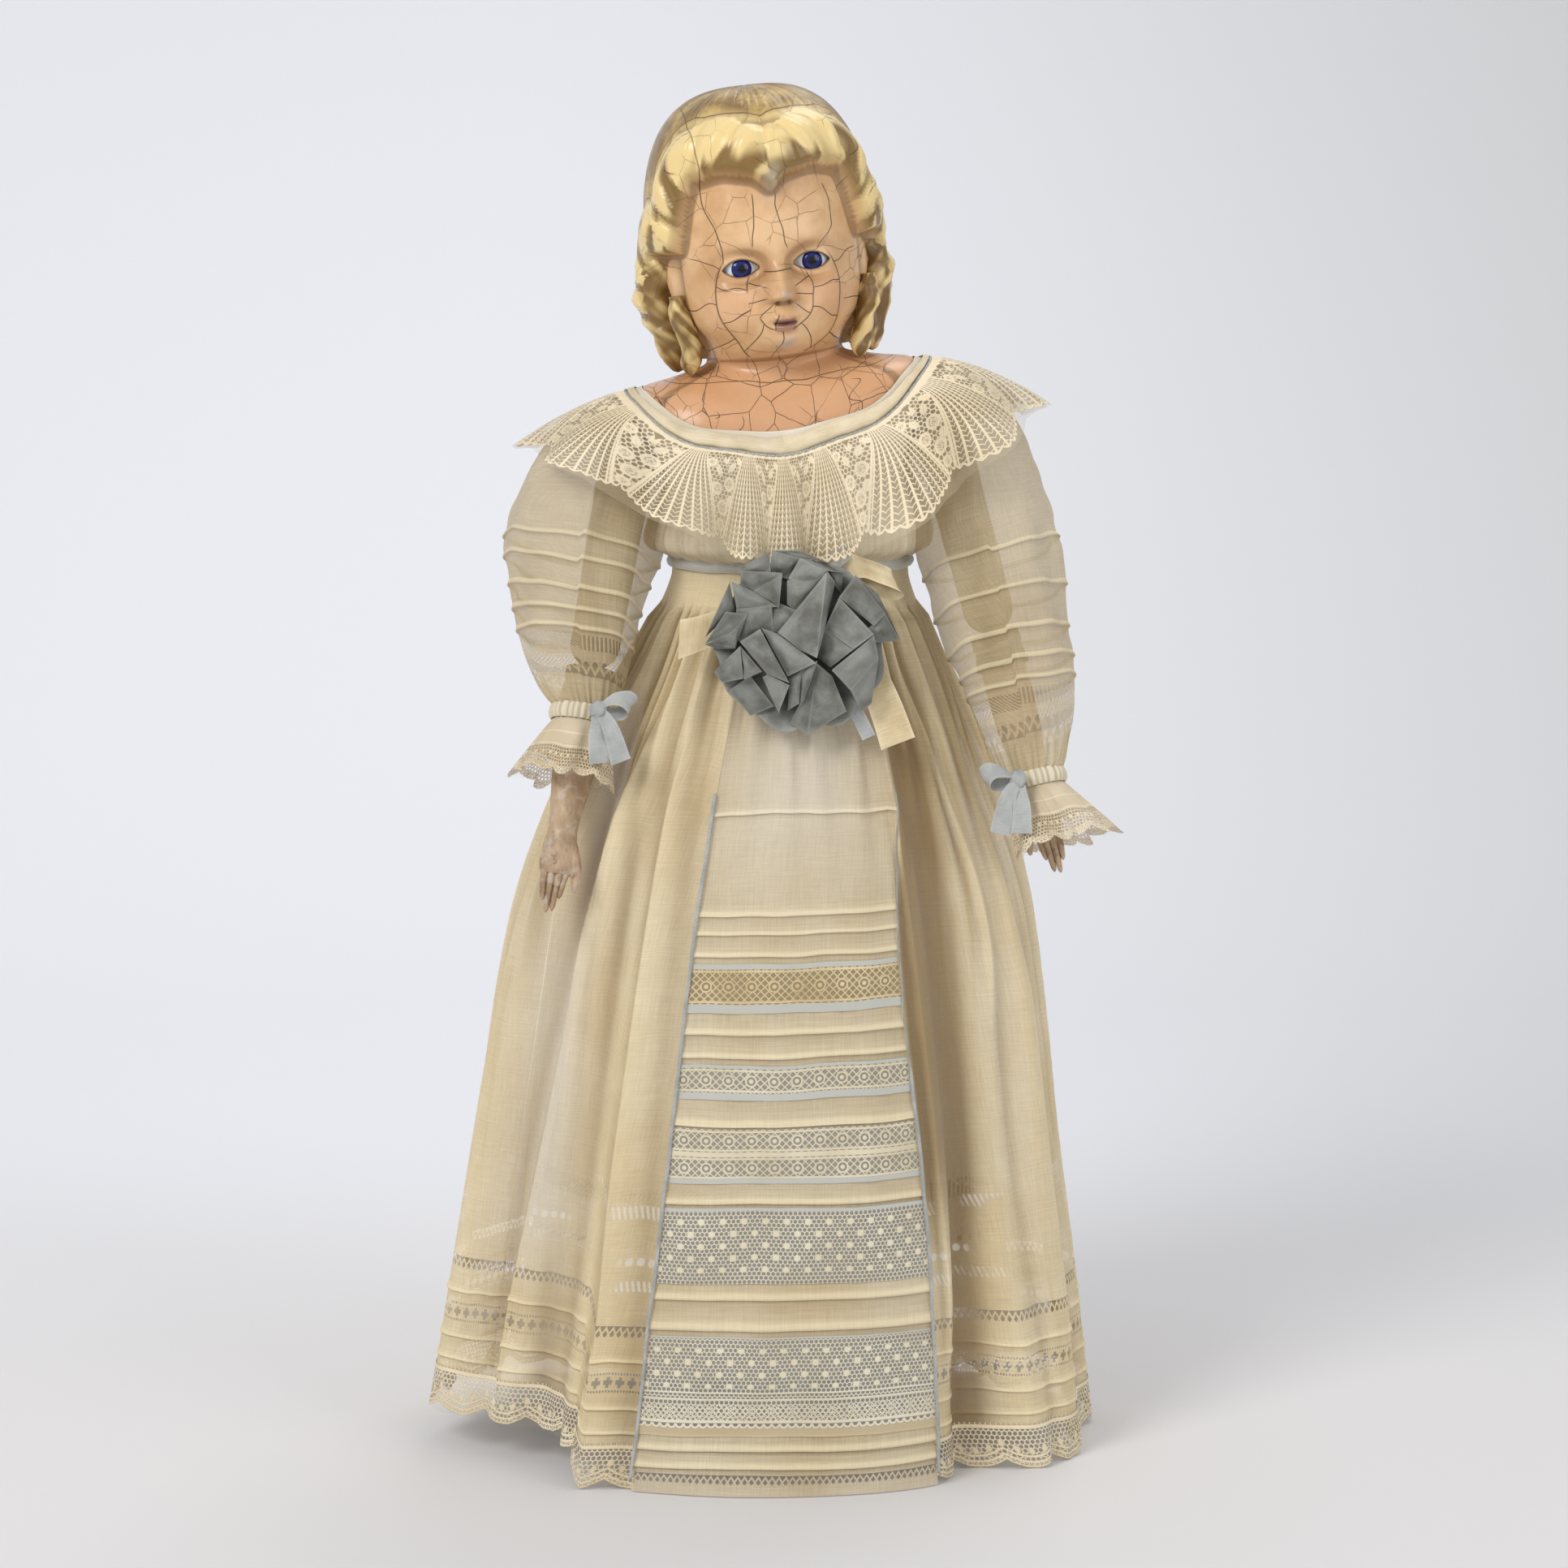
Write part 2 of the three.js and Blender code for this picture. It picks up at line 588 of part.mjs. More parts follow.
function lowerLeg() {
  const ankle = SHIN_TOP_Z - 30;
  const leg = limbRings(
    [
      ...grooved(SHIN_TOP_RADIUS),
      [SHIN_TOP_Z * 0.28, 14.2, 14.4, 0, 0.8],
      [SHIN_TOP_Z * 0.5, 11.6, 11.8],
      [ankle - 12, 9, 9.4],
      [ankle, 9.2, 9.8],
      [ankle + 12, 9.6, 11.6, 0, -1.6],
      [SHIN_TOP_Z - HEEL_HEIGHT, 9.2, 12.4, 0, -0.6],
      [SHIN_TOP_Z, 8.2, 7.2, 0, 5],
    ],
    12,
  );
  return join(loft(leg), loft(BOOT.map(bootRing)));
}

// Share of the drop from the waist to the floor.
const dropOf = (z) => Math.max(WAIST_Z - z, 0) / WAIST_Z;

// The skirt's flare: quick below the gathers, and then steady to the hem.
const flare = (t) => 0.5 * (1 - Math.exp(-((t / 0.2) ** 1.5))) + 0.5 * t;

// Main folds of the skirt, by their angle from the front, spread in degrees and rise in mm at the hem.
const FOLDS = [
  { at: -37, spread: 6, rise: 7 },
  { at: -53, spread: 9, rise: -15 },
  { at: -80, spread: 12, rise: 5 },
  { at: -103, spread: 9, rise: -9 },
  { at: 45, spread: 7, rise: -13 },
  { at: 61, spread: 9, rise: 7 },
  { at: 84, spread: 9, rise: -6 },
  { at: 106, spread: 11, rise: 6 },
  { at: 128, spread: 9, rise: -9 },
  { at: -128, spread: 11, rise: 6 },
  { at: -152, spread: 9, rise: -10 },
  { at: 155, spread: 11, rise: 6 },
  { at: 180, spread: 10, rise: -8 },
];

function foldRise(phi, t) {
  const degrees = THREE.MathUtils.radToDeg(phi);
  const wrapped = (d) => ((((d + 180) % 360) + 360) % 360) - 180;
  const total = FOLDS.reduce((sum, f) => sum + f.rise * bell(wrapped(degrees - f.at), f.spread), 0);
  return total * (0.2 + 0.8 * t) * smooth(t, 0, 0.12);
}

// How far the hem is held off the floor at the doll's right side.
const hemLift = (phi) => 8 * bell(THREE.MathUtils.radToDeg(phi) + 78, 38);

function skirtPoint(phi, z, offset) {
  const t = dropOf(z);
  const f = flare(t);
  const width = SKIRT_TOP.width + (SKIRT_HEM.width - SKIRT_TOP.width) * f;
  const depth = SKIRT_TOP.depth + (SKIRT_HEM.depth - SKIRT_TOP.depth) * f;
  const rise = foldRise(phi, t) + offset;
  const x = WAIST_X * (1 - t) + (width + rise) * Math.sin(phi);
  return new THREE.Vector3(x, -(depth + rise) * Math.cos(phi), z);
}

// Seams of the skirt, as angles from the front at each share of the drop.
const seamRight = (t) => deg(-12 - 8.5 * t);
const seamLeft = () => deg(33);
const seamBackRight = () => deg(-116);
const seamBackLeft = () => deg(118);
const SEAM_GAP = deg(0.25);

// A breadth of the skirt between two seams, from the waist down to a hem height.
function breadth(from, to, columns, rows, hemZ, offset = 0, topZ = () => WAIST_Z) {
  const edge = (t, across) => lerp(from(t) + SEAM_GAP, to(t) - SEAM_GAP, across);
  return span(0, 1, rows).map((down) =>
    span(0, 1, columns).map((across) => {
      const near = edge(down, across);
      const z = lerp(topZ(near), hemZ(near), down ** 1.15);
      return skirtPoint(edge(dropOf(z), across), z, offset);
    }),
  );
}

// A breadth with its gathered edge standing up inside the waist ribbon.
function gathered(from, to, columns, hemZ) {
  const grid = breadth(from, to, columns, SKIRT_ROWS, hemZ);
  const edge = grid[0].map((p) => new THREE.Vector3(p.x, p.y, WAIST_Z + BAND_TOP));
  return sheet([edge, ...grid], CLOTH, false);
}

const clothHem = (phi) => hemLift(phi) + HEM_LACE;
const backTo = (seam) => (t) => seam(t) + 2 * Math.PI;

const SKIRT_ROWS = 6;
const skirtPieces = {
  front_panel: () => gathered(seamRight, seamLeft, 8, () => PANEL_HEM_Z),
  skirt_right: () => gathered(seamBackRight, seamRight, 16, clothHem),
  skirt_left: () => gathered(seamLeft, seamBackLeft, 14, clothHem),
  skirt_back: () => gathered(seamBackLeft, backTo(seamBackRight), 20, clothHem),
};

// Lace edging gathered on below the cloth, down to the hem.
const laceEdge = (from, to, columns) =>
  sheet(
    breadth(from, to, columns, 1, (phi) => hemLift(phi) + 0.3, 0, (phi) => clothHem(phi) - SEAT),
    LACE,
  );

// Lace insertions sewn across the front panel, as the heights of their edges.
const INSERTIONS = [
  { top: 226, bottom: 212 },
  { top: 188, bottom: 175 },
  { top: 158, bottom: 140 },
  { top: 125, bottom: 98 },
  { top: 70, bottom: 34 },
];

const insertion = ({ top, bottom }) =>
  sheet(breadth(seamRight, seamLeft, 8, 1, () => bottom, SEAT + LACE, () => top), LACE);

// Corded piping down a seam of the front panel.
const PIPING_RADIUS = 0.9;
const PIPING_TOP = 300;

function piping(seam) {
  const route = span(PIPING_TOP, 6, 12).map((z) => {
    return skirtPoint(seam(dropOf(z)), z, PIPING_RADIUS + LACE + 2 * SEAT);
  });
  const shape = new THREE.Shape().absarc(0, 0, PIPING_RADIUS, 0, 2 * Math.PI);
  const extrudePath = new THREE.CatmullRomCurve3(route);
  return new THREE.ExtrudeGeometry(shape, { steps: 16, curveSegments: 3, extrudePath });
}

function petticoat() {
  const grid = [WAIST_Z + BAND_TOP, ...span(WAIST_Z, PETTICOAT_Z, 4)].map((z) => {
    const t = dropOf(z);
    const f = flare(t);
    return turns(24).map((phi) => {
      const gather = 2.5 * Math.cos(6 * phi) * t;
      const width = PETTICOAT_TOP.width + (PETTICOAT_HEM.width - PETTICOAT_TOP.width) * f + gather;
      const depth = PETTICOAT_TOP.depth + (PETTICOAT_HEM.depth - PETTICOAT_TOP.depth) * f + gather;
      return new THREE.Vector3(WAIST_X * (1 - t) + width * Math.sin(phi), -depth * Math.cos(phi), z);
    });
  });
  return sheet(grid, CLOTH, true);
}

// Tubes of cloth round the upper body, from the neckline to the waist.
const BODICE = [
  { height: 34, side: 48, width: 51.4, fore: 49.5, back: 49 },
  { height: 25, side: 27, width: 55, fore: 51, back: 48 },
  { height: BAND_TOP + 5, width: 57.5, fore: 50, back: 46 },
  { height: BAND_TOP + SEAT, width: SKIRT_TOP.width, fore: SKIRT_TOP.depth, back: SKIRT_TOP.depth },
];

function bodyTube(stations, columns, plateStations) {
  const angles = turns(columns);
  const top = plateStations.map(([at, offset]) => angles.map((a) => overPlate(at, a, offset)));
  const below = stations.map((s) =>
    angles.map((a) => {
      const { x, y } = sectionPoint(a, s.width, s.fore, s.back, 2.3);
      return bodyPoint(x, y, lerp(s.height, s.side ?? s.height, Math.sin(a) ** 2));
    }),
  );
  return [...top, ...below];
}

const PLATE_EASE = 2; // room between the plate and the cloth over it
const OVER_CHEMISE = PLATE_EASE + CLOTH + PLATE_EASE / 2;
const ARMHOLE_EASE = 5; // room for the arm to swing
const ARMHOLE = ARM_RADIUS + ARMHOLE_EASE;

function shoulderPivot(side) {
  return bodyPoint(side * SHOULDER_OUT, 0, EYE_RISE - SHOULDER_DROP);
}

function armholeTool(side) {
  const tool = new THREE.CylinderGeometry(ARMHOLE, ARMHOLE, 44, 18);
  tool.rotateZ(Math.PI / 2);
  const p = shoulderPivot(side);
  return tool.translate(p.x, p.y, p.z);
}

function bodice() {
  const grid = bodyTube(BODICE, 24, [
    [NECKLINE, OVER_CHEMISE + CLOTH],
    [NECKLINE + 0.8, OVER_CHEMISE + CLOTH],
    [PLATE_RIM, OVER_CHEMISE + CLOTH + 0.6],
  ]);
  return cut(sheet(grid, CLOTH, true), armholeTool(1), armholeTool(-1));
}

const CHEMISE = [
  { height: 33, side: 46, width: 49.5, fore: 46.2, back: 46 },
  { height: BAND_TOP + 4, width: PETTICOAT_TOP.width, fore: 39, back: 38.5 },
];

function chemise() {
  const grid = bodyTube(CHEMISE, 24, [
    [NECKLINE - 0.1, PLATE_EASE + CLOTH],
    [NECKLINE + 0.8, PLATE_EASE + CLOTH],
    [PLATE_RIM, PLATE_EASE + CLOTH],
  ]);
  return cut(sheet(grid, CLOTH, true), armholeTool(1), armholeTool(-1));
}

// Bias binding round the neckline, over the bodice's raw edge.
function neckBinding() {
  const offset = OVER_CHEMISE + CLOTH + 3 * SEAT + LACE;
  const grid = [NECKLINE - 0.12, NECKLINE + 0.22].map((at) => turns(28).map((a) => overPlate(at, a, offset)));
  return sheet(grid, LACE, true);
}

// Deep lace collar, gathered on under the binding and standing out over the sleeves.
const COLLAR_DROP = { front: 47, side: 17, back: 40 };
const COLLAR_FLARE = { front: 13, side: 44, back: 12 };
const COLLAR_RUFFLES = 16;

function laceCollar() {
  const offset = OVER_CHEMISE + CLOTH + 2 * SEAT + LACE;
  const grid = span(0, 1, 3).map((w) =>
    turns(48).map((a) => {
      const p = platePoint(NECKLINE + 0.28, a, offset + 0.8);
      const share = Math.sin(a) ** 2;
      const ends = Math.cos(a) > 0 ? "front" : "back";
      const drop = lerp(COLLAR_DROP[ends], COLLAR_DROP.side, share);
      const out = lerp(COLLAR_FLARE[ends], COLLAR_FLARE.side, share);
      const ruffle = 1.8 * Math.cos(COLLAR_RUFFLES * a) * w;
      const reach = Math.hypot(p.x, p.y);
      const grow = (reach + out * w ** 0.8 + ruffle + 1.5 * w) / reach;
      return bodyPoint(p.x * grow, p.y * grow, EYE_RISE + p.z - drop * w ** 1.35);
    }),
  );
  return sheet(grid, LACE, true);
}

// Ribbon round the waist, over the skirt's gathers.
function waistRibbon() {
  const grid = [RIBBON_WIDTH, 0].map((up) =>
    turns(36).map((a) => {
      const around = SEAT + LACE;
      const { x, y } = sectionPoint(a, SKIRT_TOP.width + around, SKIRT_TOP.depth + around, SKIRT_TOP.depth + around);
      return new THREE.Vector3(WAIST_X + x, y, WAIST_Z + up);
    }),
  );
  return sheet(grid, LACE, true);
}

// Rosette of folded silk: two tiers of pleated petals round a sunk middle.
const ROSETTE = { x: 16, z: 366, radius: 38, petals: 11, thick: 9 };
const ROSETTE_STEM = 12.5; // its gathered stalk, sewn down to the skirt

function rosette() {
  const columns = ROSETTE.petals * 4;
  const rings = [0.16, 0.42, 0.7, 0.9, 1].map((share) =>
    turns(columns).map((a) => {
      const phase = (a * ROSETTE.petals) / (2 * Math.PI) + share * 0.6;
      const saw = phase - Math.floor(phase);
      const crown = ROSETTE.thick * (0.45 + 0.55 * Math.sin(Math.PI * Math.min(share * 0.95, 0.9)));
      const height = crown + 3.2 * (saw - 0.5) * Math.sin(Math.PI * share);
      const r = ROSETTE.radius * share * (1 - 0.05 * (1 - saw) * share);
      return new THREE.Vector3(r * Math.sin(a), -Math.max(height, 1.4), r * Math.cos(a));
    }),
  );
  const back = turns(columns).map(
    (a) => new THREE.Vector3(ROSETTE.radius * 0.8 * Math.sin(a), 0, ROSETTE.radius * 0.8 * Math.cos(a)),
  );
  return loft([...rings, back]);
}

// A flat ribbon along a route, its width held across a given direction.
function ribbon(route, width, across) {
  const curve = new THREE.CatmullRomCurve3(route);
  const grid = curve.getPoints(route.length + 1).map((p) => [
    p.clone().addScaledVector(across, width / 2),
    p.clone().addScaledVector(across, -width / 2),
  ]);
  return sheet(grid, LACE, false);
}

// Cream ribbon behind the rosette: a loop above, and two cut ends below.
function rosetteBow() {
  const p = (x, z, y = 0) => new THREE.Vector3(x, y, z);
  const knot = new THREE.CylinderGeometry(7, 7, ROSETTE_STEM + 4.6, 10).translate(0, ROSETTE_STEM / 2 - 2.3, 0);
  const loop = ribbon(
    [p(2, 2, -1), p(22, 24, -1.4), p(34, 31, -2.6), p(38, 27, -5), p(30, 21, -5.2), p(3, 2, -2.4)],
    13,
    new THREE.Vector3(-0.55, 0, 0.83),
  );
  const tailLeft = ribbon([p(2, -2, -1), p(22, -24, -2), p(33, -46, -4)], 17, new THREE.Vector3(0.9, 0, 0.43));
  const tailRight = ribbon([p(-2, -1, -1), p(-26, -8, -2), p(-46, -15, -4)], 15, new THREE.Vector3(0.3, 0, 0.95));
  return join(knot, loop, tailLeft, tailRight);
}

// Distance from the shoulder to a cuff, given as a share of the forearm.
const cuffAt = (share) => FOREARM_TOP + FOREARM * share;

// The two arms: how they hang, and where along the arm the sleeve is gathered.
const ARMS = [
  { name: "left", side: 1, forward: deg(17), splay: deg(15), cuff: cuffAt(0.586), puff: 13, out: 4, frillOut: 7 },
  { name: "right", side: -1, forward: deg(20), splay: deg(9.8), cuff: cuffAt(0.162), puff: 16, out: 10, frillOut: 5 },
];
const CUFF_BAND = 6; // length of the gathered casing along the arm
const CUFF_RADIUS = 14;
const FRILL = 27;

// The armhole's slanted plane, at the pivot's height and by the rise from it.
const ARMHOLE_OUT = 62.6;
const ARMHOLE_SLANT = 0.38;

function armFrame(arm) {
  const group = new THREE.Group();
  group.position.copy(shoulderPivot(arm.side));
  group.rotation.set(-arm.forward, -arm.side * arm.splay, 0, "YXZ");
  group.updateMatrix();
  return group;
}

// A sleeve ring round the arm's axis, with its centre drawn outwards.
function armRing(arm, down, radius, out, columns, ripple = 0, ripples = 0) {
  return turns(columns).map((a) => {
    const r = radius + ripple * Math.cos(ripples * a);
    return new THREE.Vector3(arm.side * (out + r * Math.sin(a)), -0.9 * r * Math.cos(a), -down);
  });
}

// Puffed sleeve: it starts on the armhole of the bodice and hangs round the arm to the cuff.
function sleeve(arm) {
  const columns = 16;
  const armhole = turns(columns).map((a) => {
    const up = Math.sin(a) * (Math.sin(a) > 0 ? ARMHOLE - 1 : ARMHOLE + 5);
    const out = ARMHOLE_OUT + ARMHOLE_SLANT * up;
    return bodyPoint(arm.side * out, -(ARMHOLE + 1) * Math.cos(a), EYE_RISE - SHOULDER_DROP + up);
  });
  const frame = armFrame(arm).matrix;
  const rings = span(0.14, 1, 6).map((u) => {
    const swell = Math.sin(Math.PI * u ** 0.85) ** 0.8;
    const radius = lerp(ARMHOLE, CUFF_RADIUS - 1, u) + arm.puff * swell;
    const out = lerp(7, 0, u) + arm.out * swell;
    const ring = armRing(arm, (arm.cuff - SEAT) * u, radius, out, columns, u * (1 - u) * 4, 8);
    return ring.map((p) => p.applyMatrix4(frame));
  });
  const crown = armhole.map((p, j) => {
    const over = 6 * Math.max(Math.sin(turns(columns)[j]), 0);
    const middle = p.clone().add(rings[0][j]).multiplyScalar(0.5);
    return middle.add(new THREE.Vector3(arm.side * 0.6 * over, 0, 0.8 * over));
  });
  return sheet([armhole, crown, ...rings], arm.side * CLOTH, true);
}

function cuffBand(arm) {
  const inner = Math.max(forearmRadius(arm.cuff), forearmRadius(arm.cuff + CUFF_BAND)) + SEAT;
  const middle = (inner + CUFF_RADIUS) / 2;
  const half = (CUFF_RADIUS - inner) / 2;
  const points = span(0, 360, 6).map(
    (t) => new THREE.Vector2(middle + half * Math.cos(deg(t)), (CUFF_BAND / 2) * Math.sin(deg(t))),
  );
  const band = new THREE.LatheGeometry(points, 14).rotateX(Math.PI / 2);
  return band.translate(0, 0, -arm.cuff - CUFF_BAND / 2);
}

function cuffFrill(arm) {
  const top = arm.cuff + CUFF_BAND + SEAT;
  const grid = span(0, 1, 2).map((w) =>
    armRing(arm, top + FRILL * w, CUFF_RADIUS - 2 + 9.5 * w, arm.frillOut * w, 28, 2.4 * w, 7),
  );
  return sheet(grid, arm.side * LACE, true);
}

// Ribbon bow tied at the inner front of a cuff: two loops, two ends and a knot.
function cuffBow(arm) {
  const s = -arm.side;
  const p = (x, z, y = 0) => new THREE.Vector3(s * x, y, z);
  const across = new THREE.Vector3(s * 0.25, 0, 0.97);
  const knot = new THREE.SphereGeometry(3.4, 7, 5);
  const loop = ribbon([p(0, 0), p(8, 4, -4), p(14, 4, -2), p(12, 1, 2), p(1, -1, 1)], 7, across);
  const tail = ribbon([p(0, 0), p(7, -8, -3), p(13, -20, -2)], 7.5, new THREE.Vector3(s * 0.86, 0, 0.5));
  const end = ribbon([p(0, 0), p(1, -9, -2), p(4, -22, -1)], 7.5, new THREE.Vector3(0.98, 0, s * 0.2));
  const bow = join(knot, loop, tail, end);
  return bow.translate(s * (CUFF_RADIUS * 0.45), -CUFF_RADIUS * 0.9 - 3.7, -arm.cuff - CUFF_BAND / 2);
}

// The assembly
const doll = new THREE.Group();
doll.position.set(STANCE_X, STANCE_Y, 0);

function place(parent, name, geometry, material) {
  const mesh = new THREE.Mesh(geometry, material);
  mesh.name = name;
  parent.add(mesh);
  return mesh;
}

function addHead() {
  const head = new THREE.Group();
  head.position.copy(spinePoint(EYE_RISE));
  head.rotation.y = -LEAN;
  doll.add(head);
  place(head, "shoulder_head", shoulderHead(), materials.wax);
  for (const [name, side] of [["left", 1], ["right", -1]]) {
    place(head, `eye_${name}`, eyeball(side, 0), materials.glass);
    place(head, `eye_bed_${name}`, eyeBed(side), materials.plaster);
  }
}

function addArm(arm) {
  const group = armFrame(arm);
  doll.add(group);
  place(group, `upper_arm_${arm.name}`, stuffedLimb(ARM_RADIUS, ELBOW_RADIUS, UPPER_ARM, 0), materials.cotton);
  const below = new THREE.Group();
  below.position.z = -FOREARM_TOP;
  group.add(below);
  place(below, `forearm_${arm.name}`, forearm(arm.side), materials.wood);
  place(below, `elbow_casing_${arm.name}`, limbCasing(FOREARM_TOP_RADIUS), materials.cotton);
  place(below, `elbow_tie_${arm.name}`, limbTie(FOREARM_TOP_RADIUS), materials.thread);
  place(doll, `sleeve_${arm.name}`, sleeve(arm), materials.muslin);
  place(group, `cuff_band_${arm.name}`, cuffBand(arm), materials.muslin);
  place(group, `cuff_frill_${arm.name}`, cuffFrill(arm), materials.lace);
  place(group, `cuff_bow_${arm.name}`, cuffBow(arm), materials.ribbon);
}

function addLeg(name, side) {
  const group = new THREE.Group();
  group.position.set(SEAT_X + side * HIP_APART, 0, SEAT_Z - SEAT - HIP_RADIUS);
  doll.add(group);
  place(group, `thigh_${name}`, stuffedLimb(HIP_RADIUS, KNEE_RADIUS, THIGH, 2), materials.cotton);
  const below = new THREE.Group();
  below.position.z = SHIN_TOP_Z - group.position.z;
  group.add(below);
  place(below, `lower_leg_${name}`, lowerLeg(), materials.wood);
  place(below, `knee_casing_${name}`, limbCasing(SHIN_TOP_RADIUS), materials.cotton);
  place(below, `knee_tie_${name}`, limbTie(SHIN_TOP_RADIUS), materials.thread);
}

function addGown() {
  for (const [name, make] of Object.entries(skirtPieces)) {
    place(doll, name, make(), materials.muslin);
  }
  place(doll, "hem_lace_right", laceEdge(seamBackRight, seamRight, 24), materials.lace);
  place(doll, "hem_lace_left", laceEdge(seamLeft, seamBackLeft, 20), materials.lace);
  place(doll, "hem_lace_back", laceEdge(seamBackLeft, backTo(seamBackRight), 26), materials.lace);
  INSERTIONS.forEach((edges, i) => place(doll, `lace_insertion_${i + 1}`, insertion(edges), materials.lace));
  place(doll, "piping_right", piping(seamRight), materials.ribbon);
  place(doll, "piping_left", piping(seamLeft), materials.ribbon);
  place(doll, "bodice", bodice(), materials.muslin);
  place(doll, "neck_binding", neckBinding(), materials.muslin);
  place(doll, "lace_collar", laceCollar(), materials.lace);
  place(doll, "waist_ribbon", waistRibbon(), materials.ribbon);
}

// The rosette and its ribbon hang on the front of the waist.
function addRosette() {
  const group = new THREE.Group();
  const front = skirtPoint(deg(5), ROSETTE.z, 0);
  group.position.set(ROSETTE.x, front.y - ROSETTE_STEM - 4, ROSETTE.z);
  group.rotation.x = deg(-6);
  doll.add(group);
  place(group, "rosette_bow", rosetteBow(), materials.muslin);
  const silk = place(group, "rosette", rosette(), materials.silk);
  silk.position.y = -5.2 - SEAT;
}

addHead();
place(doll, "torso", torso(), materials.cotton);
ARMS.forEach(addArm);
addLeg("left", 1);
addLeg("right", -1);
place(doll, "chemise", chemise(), materials.linen);
place(doll, "petticoat", petticoat(), materials.linen);
addGown();
addRosette();

export default doll;
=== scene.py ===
import json
import math

import bpy
import numpy as np
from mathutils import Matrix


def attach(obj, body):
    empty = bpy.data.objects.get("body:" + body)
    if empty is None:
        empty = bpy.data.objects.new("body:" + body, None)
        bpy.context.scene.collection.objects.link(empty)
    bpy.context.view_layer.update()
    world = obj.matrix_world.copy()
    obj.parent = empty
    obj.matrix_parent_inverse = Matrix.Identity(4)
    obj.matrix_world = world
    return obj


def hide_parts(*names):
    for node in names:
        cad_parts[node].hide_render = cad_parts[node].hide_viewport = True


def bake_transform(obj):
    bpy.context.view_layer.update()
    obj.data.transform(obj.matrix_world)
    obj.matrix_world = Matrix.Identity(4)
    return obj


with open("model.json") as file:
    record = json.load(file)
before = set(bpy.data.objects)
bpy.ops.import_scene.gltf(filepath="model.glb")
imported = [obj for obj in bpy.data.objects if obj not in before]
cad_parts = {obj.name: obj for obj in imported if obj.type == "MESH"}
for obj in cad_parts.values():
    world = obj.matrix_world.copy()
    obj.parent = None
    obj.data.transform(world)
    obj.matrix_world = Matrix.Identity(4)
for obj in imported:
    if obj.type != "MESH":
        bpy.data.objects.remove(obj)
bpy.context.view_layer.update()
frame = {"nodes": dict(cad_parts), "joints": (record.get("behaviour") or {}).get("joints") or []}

bl_info = {
    "name": "Papier-mache doll",
    "version": (1, 0, 0),
    "blender": (4, 5, 0),
    "location": "View3D > Sidebar > Doll",
    "description": "Dresses the doll in wax, cloth, lace and silk",
    "category": "Object",
}

# Sizes of the doll in millimetres, in its own frame
WAIST_Z = 388.0
WAIST_X = 11.0
SEAT_Z = 262.0
SEAT_X = 3.0
LEAN = math.radians(6.5)
LEAN_RISE = 70.0
HEAD_H = 135.0
HEAD_TURN = math.radians(8.0)
CROWN = 69.0
CROWN_POWER = 3.0
EYE_X = 15.3
EYE_Y = -29.7
EYE_RADIUS = 9.5
IRIS_RADIUS = 4.6
PUPIL_RADIUS = 1.9
SHOULDER_X = 66.0
SHOULDER_H = 67.0
ELBOW_DOWN = 95.0
FOREARM_TOP = 106.4
CUFF_BAND = 6.0
FRILL = 27.0
SKIRT_TOP_WIDTH = 51.0
SKIRT_TOP_DEPTH = 38.4
SKIRT_HEM_WIDTH = 138.0
SKIRT_HEM_DEPTH = 108.0
HEM_LACE = 20.0
BAND_TOP = 396.0
NECKLINE = 3.55

# Metres in a millimetre, and a tube closed at both ends
MM = 0.001
BOTH_ENDS = (True, True)

# Numbers that scatter the values of the noise
HASH_ACROSS = 127.1
HASH_DOWN = 311.7
HASH_SEED = 74.7
HASH_SCALE = 43758.5453


# Curves and small noise

def smooth(x, start, end):
    """A soft step from 0 at start to 1 at end: three t squared less two t cubed."""
    t = np.clip((np.asarray(x, float) - start) / (end - start), 0.0, 1.0)
    return t * t * (3.0 - 2.0 * t)


def bell(x, spread):
    """A bell about nought: e to the minus square of x over its spread."""
    return np.exp(-(np.asarray(x, float) / spread) ** 2)


def mix(a, b, t):
    """From a to b by a share t."""
    return a + (b - a) * t


def noise(u, v, seed):
    """Smooth noise from -1 to 1: scattered values at whole numbers, joined by soft steps."""
    u = np.asarray(u, float)
    v = np.asarray(v, float)
    i = np.floor(u)
    j = np.floor(v)
    a = smooth(u - i, 0, 1)
    b = smooth(v - j, 0, 1)

    def corner(di, dj):
        """Scattered value at one corner of the unit square."""
        place = (i + di) * HASH_ACROSS + (j + dj) * HASH_DOWN + seed * HASH_SEED
        wave = np.sin(place) * HASH_SCALE
        return 2.0 * (wave - np.floor(wave)) - 1.0

    return mix(mix(corner(0, 0), corner(1, 0), a), mix(corner(0, 1), corner(1, 1), a), b)


def layered(u, v, seed):
    """Noise in three layers, each about twice as fine and half as strong as the one before."""
    coarse = noise(u, v, seed) * 0.6
    middle = noise(u * 2.1, v * 2.1, seed + 1) * 0.28
    return coarse + middle + noise(u * 4.3, v * 4.3, seed + 2) * 0.12


def along(table, at):
    """Rows of a table read at any place: a cubic through the two rows beside it and their neighbours."""
    table = np.asarray(table, float)
    at = np.clip(np.asarray(at, float), 0, len(table) - 1)
    i = np.minimum(at.astype(int), len(table) - 2)
    t = (at - i)[..., None]
    p0 = table[np.maximum(i - 1, 0)]
    p1 = table[i]
    p2 = table[i + 1]
    p3 = table[np.minimum(i + 2, len(table) - 1)]
    return 0.5 * (2 * p1 + (p2 - p0) * t + (2 * p0 - 5 * p1 + 4 * p2 - p3) * t * t
                  + (3 * p1 - p0 - 3 * p2 + p3) * t ** 3)


